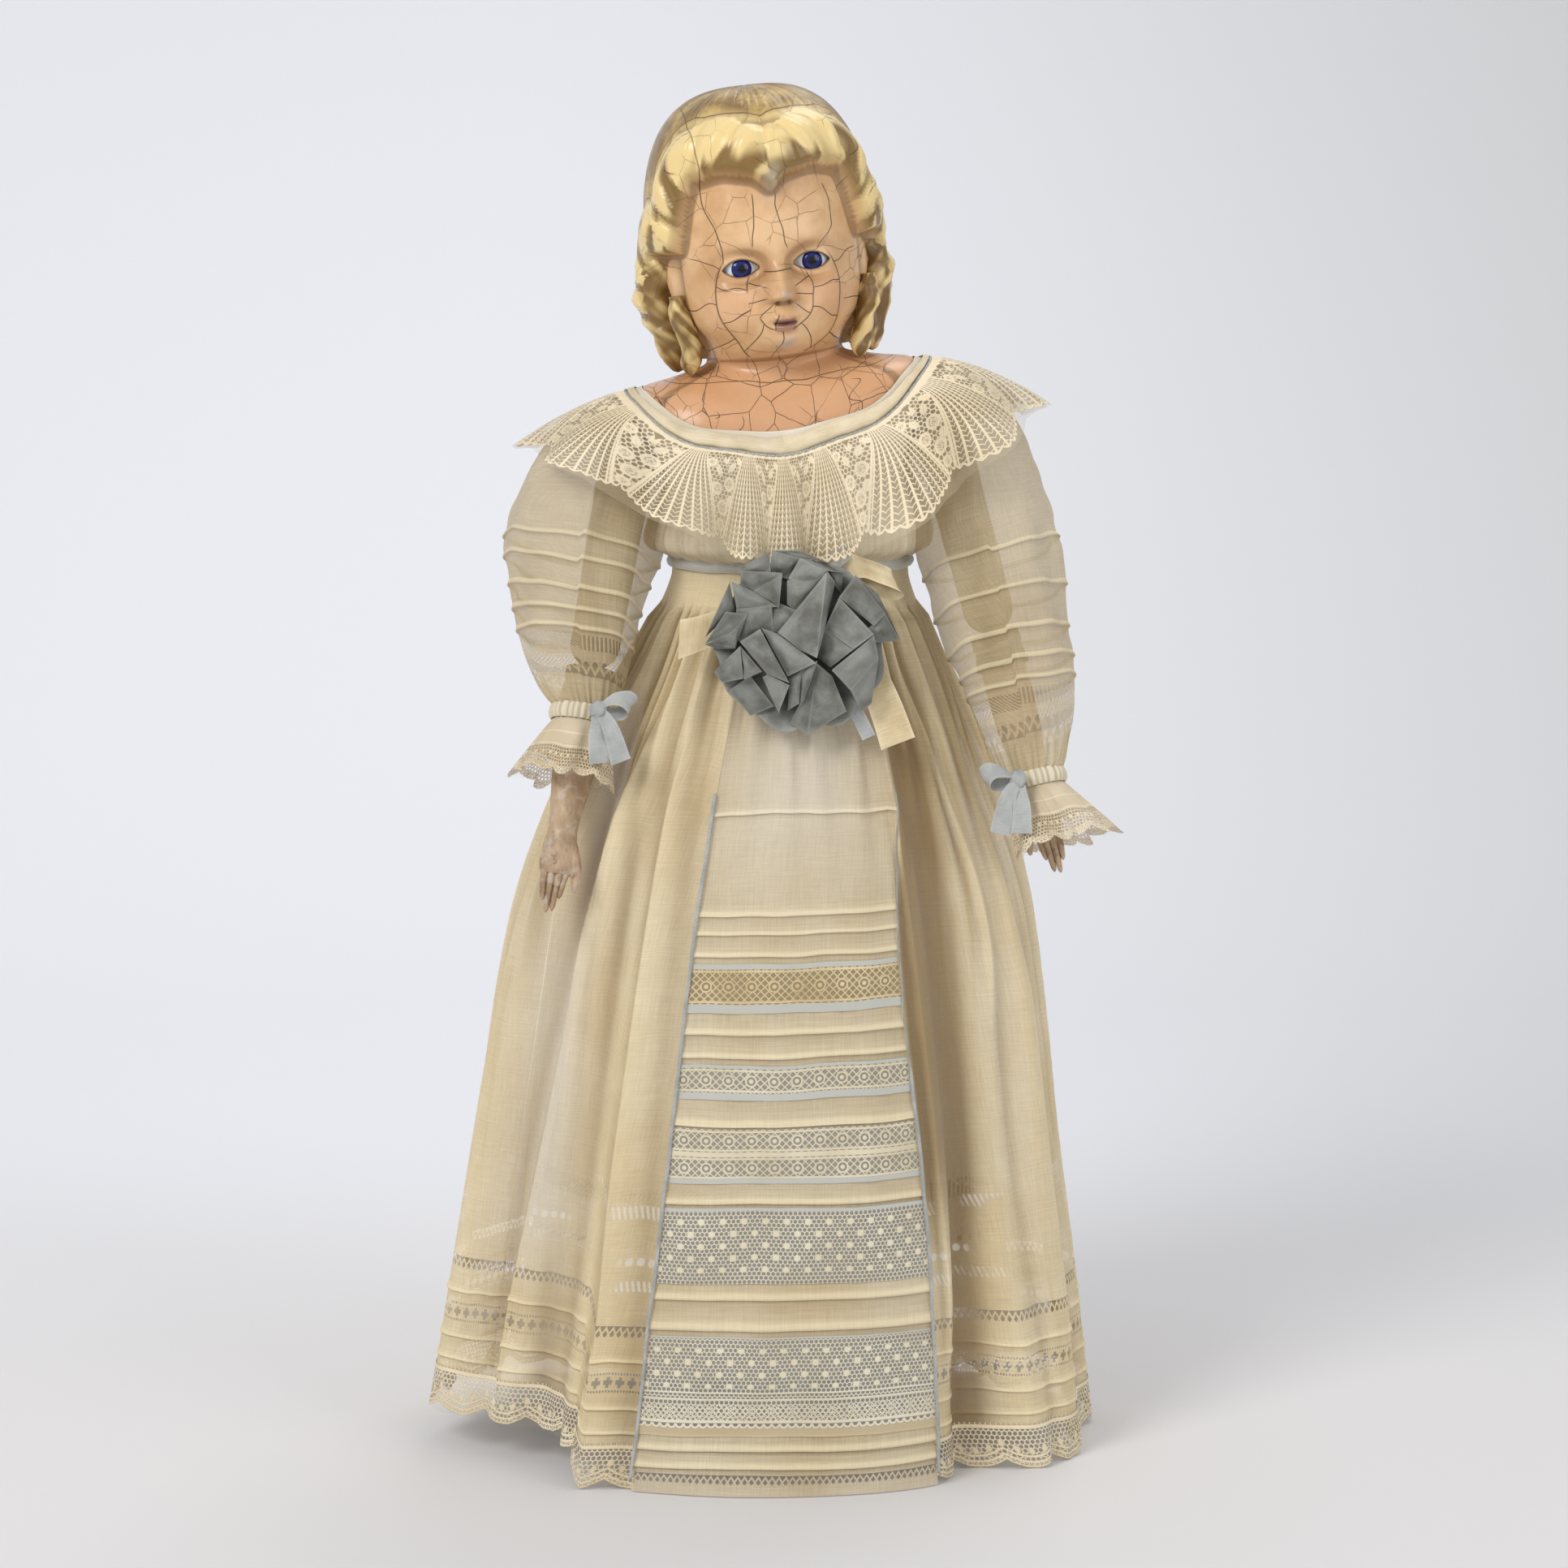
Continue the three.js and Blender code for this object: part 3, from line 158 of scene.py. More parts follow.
def section(a, width, fore, back, power=2.0):
    """A rounded outline at an angle from the front, by powers of its half sizes; the doll's left is +X."""
    s = np.sin(a)
    c = np.cos(a)
    depth = np.where(c > 0, fore, back)
    size = (np.abs(s / width) ** power + np.abs(c / depth) ** power) ** (-1.0 / power)
    return size * s, -size * c


def pack(x, y, z):
    """Places from x, y and z, each a number or an array."""
    x, y, z = np.broadcast_arrays(x, y, z)
    return np.stack([x, y, z], axis=-1)


def pair(u, v):
    """Places on the cloth from the way across and the way down."""
    return np.stack(np.broadcast_arrays(u, v), axis=-1)


def circle(count):
    """Angles of a number of even steps round a circle."""
    return np.arange(count) * 2 * math.pi / count


# The spine in short steps up from the waist: its place is the running sum of its leaning steps
SPINE_STEP = 0.25
SPINE_TOP = 300.0
SPINE_H = np.arange(0.0, SPINE_TOP, SPINE_STEP)
SPINE_LEAN = LEAN * smooth(SPINE_H, 0, LEAN_RISE)
SPINE_X = WAIST_X - np.concatenate([[0], np.cumsum(np.sin(SPINE_LEAN))[:-1]]) * SPINE_STEP
SPINE_Z = WAIST_Z + np.concatenate([[0], np.cumsum(np.cos(SPINE_LEAN))[:-1]]) * SPINE_STEP


def body_point(x, y, h):
    """A place beside the leaning spine, at a height above the waist."""
    h = np.asarray(h, float)
    up = np.maximum(h, 0)
    lean = np.interp(up, SPINE_H, SPINE_LEAN)
    share = np.minimum(h, 0) / (SEAT_Z - WAIST_Z)
    mid_x = np.interp(up, SPINE_H, SPINE_X) + (SEAT_X - WAIST_X) * share
    mid_z = np.interp(up, SPINE_H, SPINE_Z) + np.minimum(h, 0)
    return pack(mid_x + x * np.cos(lean), y, mid_z + x * np.sin(lean))


def from_head(p):
    """From the head's own frame into the doll's: leaned about the middle of the head."""
    middle = body_point(0.0, 0.0, HEAD_H)
    c = math.cos(LEAN)
    s = math.sin(LEAN)
    return pack(middle[0] + p[..., 0] * c - p[..., 2] * s, middle[1] + p[..., 1],
                middle[2] + p[..., 0] * s + p[..., 2] * c)


def turned(p, angle):
    """Places turned about the upright axis by an angle."""
    c = np.cos(angle)
    s = np.sin(angle)
    return pack(p[..., 0] * c - p[..., 1] * s, p[..., 0] * s + p[..., 1] * c, p[..., 2])


# Shoulder plate from the neck down: heights in front and at the side, half sizes and roundness
PLATE = [(-40, -38.5, 29.5, 29, 30, 2.0), (-44, -41.5, 32, 26, 29, 2.0), (-52, -45, 46, 29, 32, 2.2),
         (-62, -47, 57, 35, 37, 2.4), (-76, -49.5, 61, 40, 41, 2.5), (-95, -53, 62, 43, 43, 2.5)]


def plate_local(at, a, off):
    """Outline of the shoulder plate in the spine's frame: x, y and height above the waist."""
    front, side, width, fore, back, power = np.moveaxis(along(PLATE, at), -1, 0)
    x, y = section(a, width + off, fore + off, back + off, power)
    return x, y, HEAD_H + front + (side - front) * np.sin(a) ** 2


def over_plate(at, a, off):
    """Places on the shoulder plate, or some way off it, in the doll's frame."""
    return body_point(*plate_local(at, a, off))


# Where things hang in the frame
HIPS = [joint for joint in frame["joints"] if joint["name"].startswith("hip")]
STANCE = np.array([sum(joint["pos_m"][0] for joint in HIPS) / 2 - SEAT_X * MM,
                   sum(joint["pos_m"][1] for joint in HIPS) / 2, 0.0])


def in_frame(points):
    """From millimetres of the doll into metres of the shared frame."""
    return np.asarray(points, float) * MM + STANCE


# Meshes

def add_mesh(name, points, faces, look, uv, values):
    """Makes a piece from points in millimetres and a list of face arrays."""
    mesh = bpy.data.meshes.new(name)
    spots = in_frame(points).reshape(-1, 3)
    faces = [np.asarray(f, int) for f in faces if len(f)]
    corners = np.concatenate([f.ravel() for f in faces])
    counts = np.concatenate([np.full(len(f), f.shape[1]) for f in faces])
    starts = np.concatenate([[0], np.cumsum(counts)[:-1]])
    mesh.vertices.add(len(spots))
    mesh.vertices.foreach_set("co", spots.ravel())
    mesh.loops.add(len(corners))
    mesh.loops.foreach_set("vertex_index", corners)
    mesh.polygons.add(len(counts))
    mesh.polygons.foreach_set("loop_start", starts)
    mesh.polygons.foreach_set("use_smooth", np.full(len(counts), True))
    mesh.update(calc_edges=True)
    layer = mesh.uv_layers.new(name="cloth")
    layer.data.foreach_set("uv", np.concatenate([np.asarray(u, float).ravel() for u in uv if len(u)]))
    for key, value in values.items():
        field = mesh.attributes.new(key, "FLOAT", "POINT")
        field.data.foreach_set("value", np.asarray(value, float).ravel())
    mesh.validate()
    mesh.materials.append(look)
    piece = bpy.data.objects.new(name, mesh)
    bpy.context.scene.collection.objects.link(piece)
    return piece


def grid_parts(points, uv, closed, keep, first, cap_top, cap_end):
    """Faces and corner places of a grid whose rows run down and columns run from the front to +X."""
    rows, cols = points.shape[:2]
    index = np.arange(rows * cols).reshape(rows, cols)
    if closed:
        index = np.concatenate([index, index[:, :1]], axis=1)
    quads = np.stack([index[:-1, :-1], index[1:, :-1], index[1:, 1:], index[:-1, 1:]], axis=-1)
    if uv is None:
        v, u = np.mgrid[0:rows, 0:index.shape[1]].astype(float)
        uv = np.stack([u, v], axis=-1)
    places = np.stack([uv[:-1, :-1], uv[1:, :-1], uv[1:, 1:], uv[:-1, 1:]], axis=-2)
    mask = np.ones(quads.shape[:2], bool) if keep is None else keep
    extra = []
    fans = []
    spots = points.reshape(-1, 3)
    for row, wanted in ((0, cap_top), (rows - 1, cap_end)):
        if not wanted:
            continue
        middle = rows * cols + len(extra)
        extra.append(points[row].mean(axis=0))
        ring = index[row]
        around = (ring[:-1], ring[1:]) if row == 0 else (ring[1:], ring[:-1])
        fans.append(np.stack([np.full(len(ring) - 1, middle), *around], axis=-1))
    if extra:
        spots = np.concatenate([spots, np.array(extra)])
    tris = np.concatenate(fans) if fans else np.zeros((0, 3), int)
    return spots, quads[mask] + first, tris + first, places[mask], np.zeros((len(tris), 3, 2))


def joined_grids(name, grids, look, closed=False, uvs=None, values=None, caps=(False, False),
                 keep=None):
    """Several grids as one piece, such as the petals of a rosette; caps close their first and last rows."""
    parts = []
    fields = {}
    first = 0
    for n, grid in enumerate(grids):
        part = grid_parts(grid, uvs[n] if uvs else None, closed, keep, first, *caps)
        parts.append(part)
        first += len(part[0])
        for key, value in (values[n] if values else {}).items():
            value = np.broadcast_to(value, grid.shape[:2])
            ends = [value[0].mean()] * caps[0] + [value[-1].mean()] * caps[1]
            fields.setdefault(key, []).append(np.concatenate([value.ravel(), ends]))
    spots, quads, tris, places, tips = [np.concatenate(rows) for rows in zip(*parts)]
    full = {key: np.concatenate(value) for key, value in fields.items()}
    return add_mesh(name, spots, [quads, tris], look, [places, tips], full)


def grid_piece(name, points, look, uv=None, closed=False, keep=None, values=None,
               caps=(False, False)):
    """One grid as a piece of its own."""
    uvs = None if uv is None else [uv]
    return joined_grids(name, [points], look, closed, uvs, [values or {}], caps, keep)


def lengths(points, axis):
    """Distance run along one axis of a grid, for laying a pattern on it in millimetres."""
    step = np.linalg.norm(np.diff(points, axis=axis), axis=-1)
    run = np.cumsum(step, axis=axis)
    return np.insert(run, 0, 0.0, axis=axis)


def tube_grid(path, radius, sides, up=(0, 0, 1)):
    """A round tube along a path: circles across the way ahead."""
    path = np.asarray(path, float)
    ahead = np.gradient(path, axis=0)
    ahead /= np.linalg.norm(ahead, axis=1)[:, None]
    side = np.cross(ahead, np.asarray(up, float))
    side /= np.linalg.norm(side, axis=1)[:, None] + 1e-9
    over = np.cross(side, ahead)
    a = circle(sides)
    radius = np.broadcast_to(radius, len(path))[:, None, None]
    return (path[:, None] + radius * (np.cos(a)[None, :, None] * side[:, None]
                                      + np.sin(a)[None, :, None] * over[:, None]))


def curve_path(points, count):
    """A smooth curve through places, read in a number of even steps."""
    return along(np.asarray(points, float), np.linspace(0, len(points) - 1, count))


def cut_sheet(piece):
    """Reads the area of each face of a piece of cloth; the areas are not used."""
    areas = np.empty(len(piece.data.polygons))
    piece.data.polygons.foreach_get("area", areas)


# Materials

def srgb(r, g, b):
    """Colour for the light from eight-bit values: a power of 2.4 with a straight foot."""
    out = []
    for value in (r, g, b):
        value /= 255.0
        out.append(value / 12.92 if value <= 0.04045 else ((value + 0.055) / 1.055) ** 2.4)
    return (*out, 1.0)


def chosen(name):
    """A colour chosen in the panel."""
    return tuple(getattr(bpy.context.scene.doll, name))


def put(tree, slot, value):
    """Links a field to a socket, or sets the socket to a plain value."""
    if isinstance(value, Field):
        tree.links.new(value.socket, slot)
    else:
        slot.default_value = value


class Field:
    """A number, vector or colour in a material's nodes, with the sums a pattern needs."""

    def __init__(self, tree, socket):
        self.tree = tree
        self.socket = socket

    def calc(self, operation, *others):
        """One sum of this field with other fields or numbers."""
        step = self.tree.nodes.new("ShaderNodeMath")
        step.operation = operation
        for slot, value in zip(step.inputs, (self, *others)):
            put(self.tree, slot, value)
        return Field(self.tree, step.outputs[0])

    def __add__(self, other):
        return self.calc("ADD", other)

    def __sub__(self, other):
        return self.calc("SUBTRACT", other)

    def __mul__(self, other):
        return self.calc("MULTIPLY", other)

    def __truediv__(self, other):
        return self.calc("DIVIDE", other)

    def size(self):
        """Distance from nought."""
        return self.calc("ABSOLUTE")

    def least(self, other):
        """The smaller of two."""
        return self.calc("MINIMUM", other)

    def most(self, other):
        """The larger of two."""
        return self.calc("MAXIMUM", other)

    def whole(self):
        """The whole number below."""
        return self.calc("FLOOR")

    def wave(self, pitch):
        """Cosine that comes round once in each pitch."""
        return (self * (2 * math.pi / pitch)).calc("COSINE")

    def repeat(self, pitch, shift=0.0):
        """Place within one repeat, from -pitch/2 to pitch/2."""
        turns = (self + shift) / pitch
        return ((turns - (turns + 0.5).whole()) * pitch)

    def span(self, low, high, start=0.0, end=1.0):
        """A soft step from start to end as the field goes from low to high."""
        step = self.tree.nodes.new("ShaderNodeMapRange")
        step.interpolation_type = "SMOOTHSTEP"
        flip = low > high
        values = (self, min(low, high), max(low, high), end if flip else start, start if flip else end)
        for slot, value in zip(step.inputs, values):
            put(self.tree, slot, value)
        return Field(self.tree, step.outputs[0])

    def below(self, edge, soft):
        """One below an edge and nought above it, with a soft change."""
        return self.span(edge + soft, edge - soft)

    def above(self, edge, soft):
        """One above an edge and nought below it, with a soft change."""
        return self.span(edge - soft, edge + soft)

    def near(self, width, soft):
        """One within a distance of nought, with a soft change."""
        return self.size().below(width, soft)

    def within(self, low, high, soft):
        """One between two edges and nought outside them."""
        return self.above(low, soft) * self.below(high, soft)


def reach(x, z):
    """Distance from nought: the root of x squared plus z squared."""
    return (x * x + z * z).calc("SQRT")


class Look:
    """A material built up from fields."""

    def __init__(self, name, **plain):
        self.material = bpy.data.materials.new(name)
        self.material.use_nodes = True
        self.tree = self.material.node_tree
        self.shader = self.tree.nodes["Principled BSDF"]
        for key, value in plain.items():
            self.shader.inputs[key.replace("_", " ")].default_value = value

    def node(self, kind):
        """A new step of one kind."""
        return self.tree.nodes.new("ShaderNode" + kind)

    def effect(self, make, **values):
        """Places a shared effect with its own values; gives back what it puts out."""
        step = self.node("Group")
        step.node_tree = bpy.data.node_groups.get(make.__name__) or make()
        for label, value in values.items():
            put(self.tree, step.inputs[label], value)
        return [Field(self.tree, out) for out in step.outputs]

    def cloth(self):
        """Place on the cloth in millimetres, across and down."""
        source = self.node("UVMap")
        source.uv_map = "cloth"
        parts = self.node("SeparateXYZ")
        self.tree.links.new(source.outputs[0], parts.inputs[0])
        return Field(self.tree, parts.outputs[0]), Field(self.tree, parts.outputs[1])

    def place(self):
        """Place on the doll in millimetres."""
        source = self.node("TexCoord")
        scale = self.node("VectorMath")
        scale.operation = "SCALE"
        self.tree.links.new(source.outputs["Object"], scale.inputs[0])
        scale.inputs["Scale"].default_value = 1.0 / MM
        return Field(self.tree, scale.outputs[0])

    def axes(self, place=None):
        """The three parts of a place."""
        parts = self.node("SeparateXYZ")
        put(self.tree, parts.inputs[0], place or self.place())
        return [Field(self.tree, out) for out in parts.outputs]

    def vector(self, x, y, z=0.0):
        """A place from its three parts."""
        joined = self.node("CombineXYZ")
        for slot, value in zip(joined.inputs, (x, y, z)):
            put(self.tree, slot, value)
        return Field(self.tree, joined.outputs[0])

    def value(self, name):
        """A value that the mesh carries at its points."""
        source = self.node("Attribute")
        source.attribute_name = name
        return Field(self.tree, source.outputs["Fac"])

    def mottle(self, size, where=None, detail=3.0, rough=0.55):
        """Cloudy noise with patches of about one size in millimetres."""
        source = self.node("TexNoise")
        put(self.tree, source.inputs["Vector"], where or self.place())
        fineness = size.calc("POWER", -1.0) if isinstance(size, Field) else 1.0 / size
        put(self.tree, source.inputs["Scale"], fineness)
        source.inputs["Detail"].default_value = detail
        source.inputs["Roughness"].default_value = rough
        return Field(self.tree, source.outputs[0])

    def shifted(self, where, size, amount):
        """A place pushed about by noise, so that lines wander."""
        source = self.node("TexNoise")
        put(self.tree, source.inputs["Vector"], where)
        source.inputs["Scale"].default_value = 1.0 / size
        step = self.node("VectorMath")
        step.operation = "MULTIPLY_ADD"
        self.tree.links.new(source.outputs["Color"], step.inputs[0])
        step.inputs[1].default_value = (amount, amount, amount)
        put(self.tree, step.inputs[2], where)
        return Field(self.tree, step.outputs[0])

    def cells(self, size, where):
        """Distance to the nearest wall between cells of about one size, in millimetres."""
        source = self.node("TexVoronoi")
        source.feature = "DISTANCE_TO_EDGE"
        put(self.tree, source.inputs["Vector"], where)
        source.inputs["Scale"].default_value = 1.0 / size
        return Field(self.tree, source.outputs["Distance"]) * size

    def blend(self, a, b, share):
        """From colour a to colour b by a share from 0 to 1."""
        step = self.node("Mix")
        step.data_type = "RGBA"
        step.clamp_factor = True
        put(self.tree, step.inputs["Factor"], share)
        put(self.tree, step.inputs[6], a)
        put(self.tree, step.inputs[7], b)
        return Field(self.tree, step.outputs[2])

    def tint(self, colour, strength):
        """A colour made lighter or darker by a number about 1."""
        step = self.node("VectorMath")
        step.operation = "SCALE"
        put(self.tree, step.inputs[0], colour if isinstance(colour, Field) else colour[:3])
        put(self.tree, step.inputs["Scale"], strength)
        return Field(self.tree, step.outputs[0])

    def set(self, **fields):
        """Gives the surface its fields; an underscore in a name stands for a space."""
        for key, value in fields.items():
            put(self.tree, self.shader.inputs[key.replace("_", " ")], value)
        return self

    def bump(self, height, depth_mm, strength):
        """Raises the surface by a field times a depth in millimetres."""
        step = self.node("Bump")
        step.inputs["Distance"].default_value = depth_mm * MM
        step.inputs["Strength"].default_value = strength
        put(self.tree, step.inputs["Height"], height)
        self.tree.links.new(step.outputs[0], self.shader.inputs["Normal"])
        return self


class Effect(Look):
    """A group of nodes built up from fields, that several materials share."""

    def __init__(self, name, takes, gives):
        self.tree = bpy.data.node_groups.new(name, "ShaderNodeTree")
        for way, sockets in (("INPUT", takes), ("OUTPUT", gives)):
            for label, kind in sockets.items():
                self.tree.interface.new_socket(name=label, in_out=way, socket_type="NodeSocket" + kind)
        self.source = self.tree.nodes.new("NodeGroupInput")
        self.result = self.tree.nodes.new("NodeGroupOutput")

    def take(self, *labels):
        """Fields that come into the group."""
        return [Field(self.tree, self.source.outputs[label]) for label in labels]

    def give(self, **values):
        """Fields that go out of the group."""
        for label, value in values.items():
            put(self.tree, self.result.inputs[label], value)
        return self.tree


def aged_tones():
    """Cloudy change from one tone to another, with soft spots of a third; sizes are in millimetres."""
    takes = {"Place": "Vector", "Light": "Color", "Deep": "Color", "Cloud_size": "Float",
             "Spot_tone": "Color", "Spot_size": "Float", "Spots": "Float"}
    effect = Effect("aged_tones", takes, {"Tone": "Color", "Clouds": "Float"})
    where, light, deep, cloud_size = effect.take("Place", "Light", "Deep", "Cloud_size")
    spot_tone, spot_size, amount = effect.take("Spot_tone", "Spot_size", "Spots")
    clouds = effect.mottle(cloud_size, where, 4.0).span(0.3, 0.74)
    spots = effect.mottle(spot_size, where, 4.0, 0.6).span(0.65, 0.85) * amount
    tone = effect.blend(effect.blend(light, deep, clouds), spot_tone, spots)
    return effect.give(Tone=tone, Clouds=clouds)


def woven_cloth():
    """Uneven threads each way, drawn out from fine to coarse, and the crossing of a plain weave."""
    takes = {label: "Float" for label in ("Across", "Down", "Fine", "Coarse", "Pitch")}
    effect = Effect("woven_cloth", takes, {"Warp": "Float", "Weft": "Float", "Weave": "Float"})
    u, v, fine, coarse, pitch = effect.take("Across", "Down", "Fine", "Coarse", "Pitch")
    warp = effect.mottle(1.0, effect.vector(u * fine, v * coarse), 2.0)
    weft = effect.mottle(1.0, effect.vector(u * coarse, v * fine), 2.0)
    return effect.give(Warp=warp, Weft=weft, Weave=(u / pitch).wave(1.0) * (v / pitch).wave(1.0))


def round_net():
    """Net with round meshes in staggered rows; the wire is a share of the mesh."""
    takes = {label: "Float" for label in ("Across", "Down", "Mesh", "Wire")}
    effect = Effect("round_net", takes, {"Net": "Float"})
    across, down, mesh, wire = effect.take("Across", "Down", "Mesh", "Wire")
    u = across / mesh
    v = down / mesh
    rows = math.sqrt(3)
    even = reach(u.repeat(1.0), v.repeat(rows))
    odd = reach(u.repeat(1.0, 0.5), v.repeat(rows, rows / 2))
    hole = even.least(odd) + wire * 0.5
    return effect.give(Net=hole.above(0.5, 0.12))


CREAM = srgb(237, 220, 184)
CREAM_DEEP = srgb(221, 198, 152)
STAIN = srgb(178, 138, 86)
BLUE_EDGE = srgb(186, 188, 182)


def cloth_colour(look, u, v, light, deep, stain):
    """Aged undyed cloth: cloudy yellowing, a few stains and uneven threads."""
    colour = look.effect(aged_tones, Place=look.place(), Light=light, Deep=deep, Cloud_size=55.0,
                         Spot_tone=STAIN, Spot_size=17.0, Spots=stain)[0]
    warp, weft, weave = look.effect(woven_cloth, Across=u, Down=v, Fine=1.6, Coarse=0.06, Pitch=0.75)
    threads = warp * 0.5 + weft * 0.5
    return look.tint(colour, threads.span(0.2, 0.8, 0.9, 1.08)), threads, weave


def muslin_look(name, alpha, light=None, deep=None, stain=0.35, holes=None, behind=None):
    """Sheer muslin, closer where it is tucked or gathered, with openwork where asked."""
    look = Look(name, Roughness=0.86, Specular_IOR_Level=0.18, Sheen_Weight=0.12, Sheen_Roughness=0.5)
    u, v = look.cloth()
    light = light or chosen("cloth_tone")
    deep = deep or chosen("cloth_deep")
    colour, threads, weave = cloth_colour(look, u, v, light, deep, stain)
    dense = look.value("dense")
    # Closer cloth is paler; on the breadths this also holds the painted highlight on the crests of the folds.
    colour = look.blend(colour, srgb(243, 228, 190), dense * 0.6)
    colour = look.blend(colour, srgb(238, 229, 212), look.value("glow"))
    colour = look.blend(colour, srgb(142, 114, 70), look.value("shade") * 0.9)
    if behind:
        colour = look.blend(colour, srgb(246, 242, 234), behind(look, u, v))
    cover = (threads.span(0.25, 0.8, alpha - 0.07, alpha + 0.06) + dense * 0.24).least(1.0)
    if holes:
        cover = cover * holes(u, v)
    look.set(Base_Color=colour, Alpha=cover)
    look.bump(weave * 0.35 + threads * 1.3 + dense * 0.4, 0.16, 0.6)
    return look.material


def zigzag_row(u, v, low, high, pitch):
    """Drawn-thread row: slanted bars with triangular openings between them."""
    middle = (low + high) / 2
    slope = (v - middle) * (pitch / (high - low))
    bar = (u.repeat(pitch).size() - (slope + pitch / 4).size() * 0.9).size()
    inside = v.within(low, high, 0.12)
    opened = inside * bar.above(pitch * 0.16, pitch * 0.08)
    return (opened * -0.86) + 1.0


def ladder_row(u, v, low, high, pitch):
    """Hemstitch: upright bars with slots between them."""
    slot = u.repeat(pitch).near(pitch * 0.27, pitch * 0.08) * v.within(low, high, 0.15)
    return (slot * -0.86) + 1.0


def cross_row(u, v, low, high, pitch):
    """Openwork with cross-shaped holes between two lines of hemstitch."""
    middle = (low + high) / 2
    x = u.repeat(pitch)
    z = v - middle
    arm = (high - low) * 0.27
    upright = x.near(pitch * 0.13, 0.12) * z.near(arm, 0.2)
    across = z.near(arm * 0.42, 0.15) * x.near(pitch * 0.36, 0.12)
    beside = (z.size() - (high - low) * 0.44).near(0.5, 0.2)
    edge = beside * u.repeat(pitch / 4).near(0.35, 0.15)
    return (upright.most(across).most(edge) * -0.7) + 1.0


def lace_look(name, pattern, colour, deep, ground, tone=None):
    """Lace: a pattern of threads from 0, open, to 1, closed cloth, over a ground seen through it."""
    look = Look(name, Roughness=0.8, Specular_IOR_Level=0.2, Sheen_Weight=0.1)
    u, v = look.cloth()
    threads = pattern(look, u, v)
    shade = look.effect(aged_tones, Place=look.place(), Light=colour, Deep=deep, Cloud_size=30.0,
                        Spot_tone=STAIN, Spot_size=14.0, Spots=0.45)[0]
    if tone:
        shade = tone(look, shade, v, threads)
    # The open ground between threads is darker: painted shade for the shaded cloth seen through the holes.
    body = look.tint(shade, threads.span(0.25, 1.0, 0.74, 1.05) * look.value("shade").span(0, 1, 1.0, 0.8))
    look.set(Base_Color=body, Alpha=(threads * (1.0 - ground) + ground).least(1.0))
    look.bump(threads, 0.35, 0.7)
    return look.material


def hex_net(look, u, v, mesh, wire):
    """Round net of one mesh in millimetres; the wire is a share of the mesh."""
    return look.effect(round_net, Across=u, Down=v, Mesh=mesh, Wire=wire)[0]


def dotted_net(pitch, dot, mesh, low, high):
    """Net with staggered dots between two heights."""
    def pattern(look, u, v):
        ground = hex_net(look, u, v, mesh, 0.26) * 0.85
        even = reach(u.repeat(pitch), v.repeat(pitch * 1.15))
        odd = reach(u.repeat(pitch, pitch / 2), v.repeat(pitch * 1.15, pitch * 0.575))
        dots = even.least(odd).below(dot / 2, 0.35) * v.within(low, high, 0.2)
        return ground.most(dots)
    return pattern


def flower_band(pitch, height, lattice, ribbon):
    """Lattice of slanting threads with a row of ringed dots and a closed line along each ribbon."""
    def pattern(look, u, v):
        a = (u + v).repeat(lattice).size()
        b = (u - v).repeat(lattice).size()
        net = a.least(b).below(lattice * 0.13, lattice * 0.1) * 0.95
        z = v - height / 2
        far = reach(u.repeat(pitch), z)
        ring = (far - 2.2).near(0.4, 0.25).most(far.below(1.0, 0.3))
        open_ground = net * far.above(2.2, 0.3)
        border = (z.size() - (height / 2 - 0.9 - ribbon)).near(0.5, 0.25)
        return open_ground.most(ring).most(border)
    return pattern


def silk_look(name, light, deep, stain, sheen, rough):
    """Plain-woven silk with slubs, paler along its edges and creases, and a soft gloss."""
    look = Look(name, Roughness=rough, Specular_IOR_Level=0.35, Sheen_Weight=sheen, Sheen_Roughness=0.35)
    u, v = look.cloth()
    colour, clouds = look.effect(aged_tones, Place=look.place(), Light=light, Deep=deep, Cloud_size=13.0,
                                 Spot_tone=srgb(122, 92, 58), Spot_size=11.0, Spots=stain)
    slubs, weave = look.effect(woven_cloth, Across=u, Down=v, Fine=2.4, Coarse=0.09, Pitch=0.5)[1:]
    colour = look.tint(colour, slubs.span(0.25, 0.8, 0.9, 1.1))
    # Paler along the edges of the ribbons and of the folded planes.
    edge = look.value("edge")
    colour = look.blend(colour, look.tint(light, 1.25), edge * 0.5)
    dark = look.value("shade")
    colour = look.tint(colour, dark.span(0.0, 1.0, 1.0, 0.5))
    look.set(Base_Color=colour)
    look.bump(slubs + weave * 0.2 + clouds * 0.5, 0.22, 0.7)
    return look.material


# Head and shoulder plate

# Rings of the head below its middle: height, half width, depth before and behind
JAW = [(0, 43, 45.5, 48), (-12, 42, 45.5, 45), (-22, 38.5, 46, 40), (-30, 32, 44.5, 34), (-35, 29.5, 40, 31),
       (-38, 29, 33, 30)]
SKIN_PER_DEGREE = 0.76
CHEST_PER_STEP = 12.0
RINGLET_STEP = math.radians(30)


def hairline(deg):
    """Height of the edge of the hair: a square forehead with a peak, level over the ears, low behind them."""
    side = np.abs(deg)
    brow = 36.0 - 5.5 * bell(deg, 6.5) + 2.0 * bell(side - 27, 11)
    return brow - 28 * smooth(side, 42, 58) - 52 * smooth(side, 80, 97)


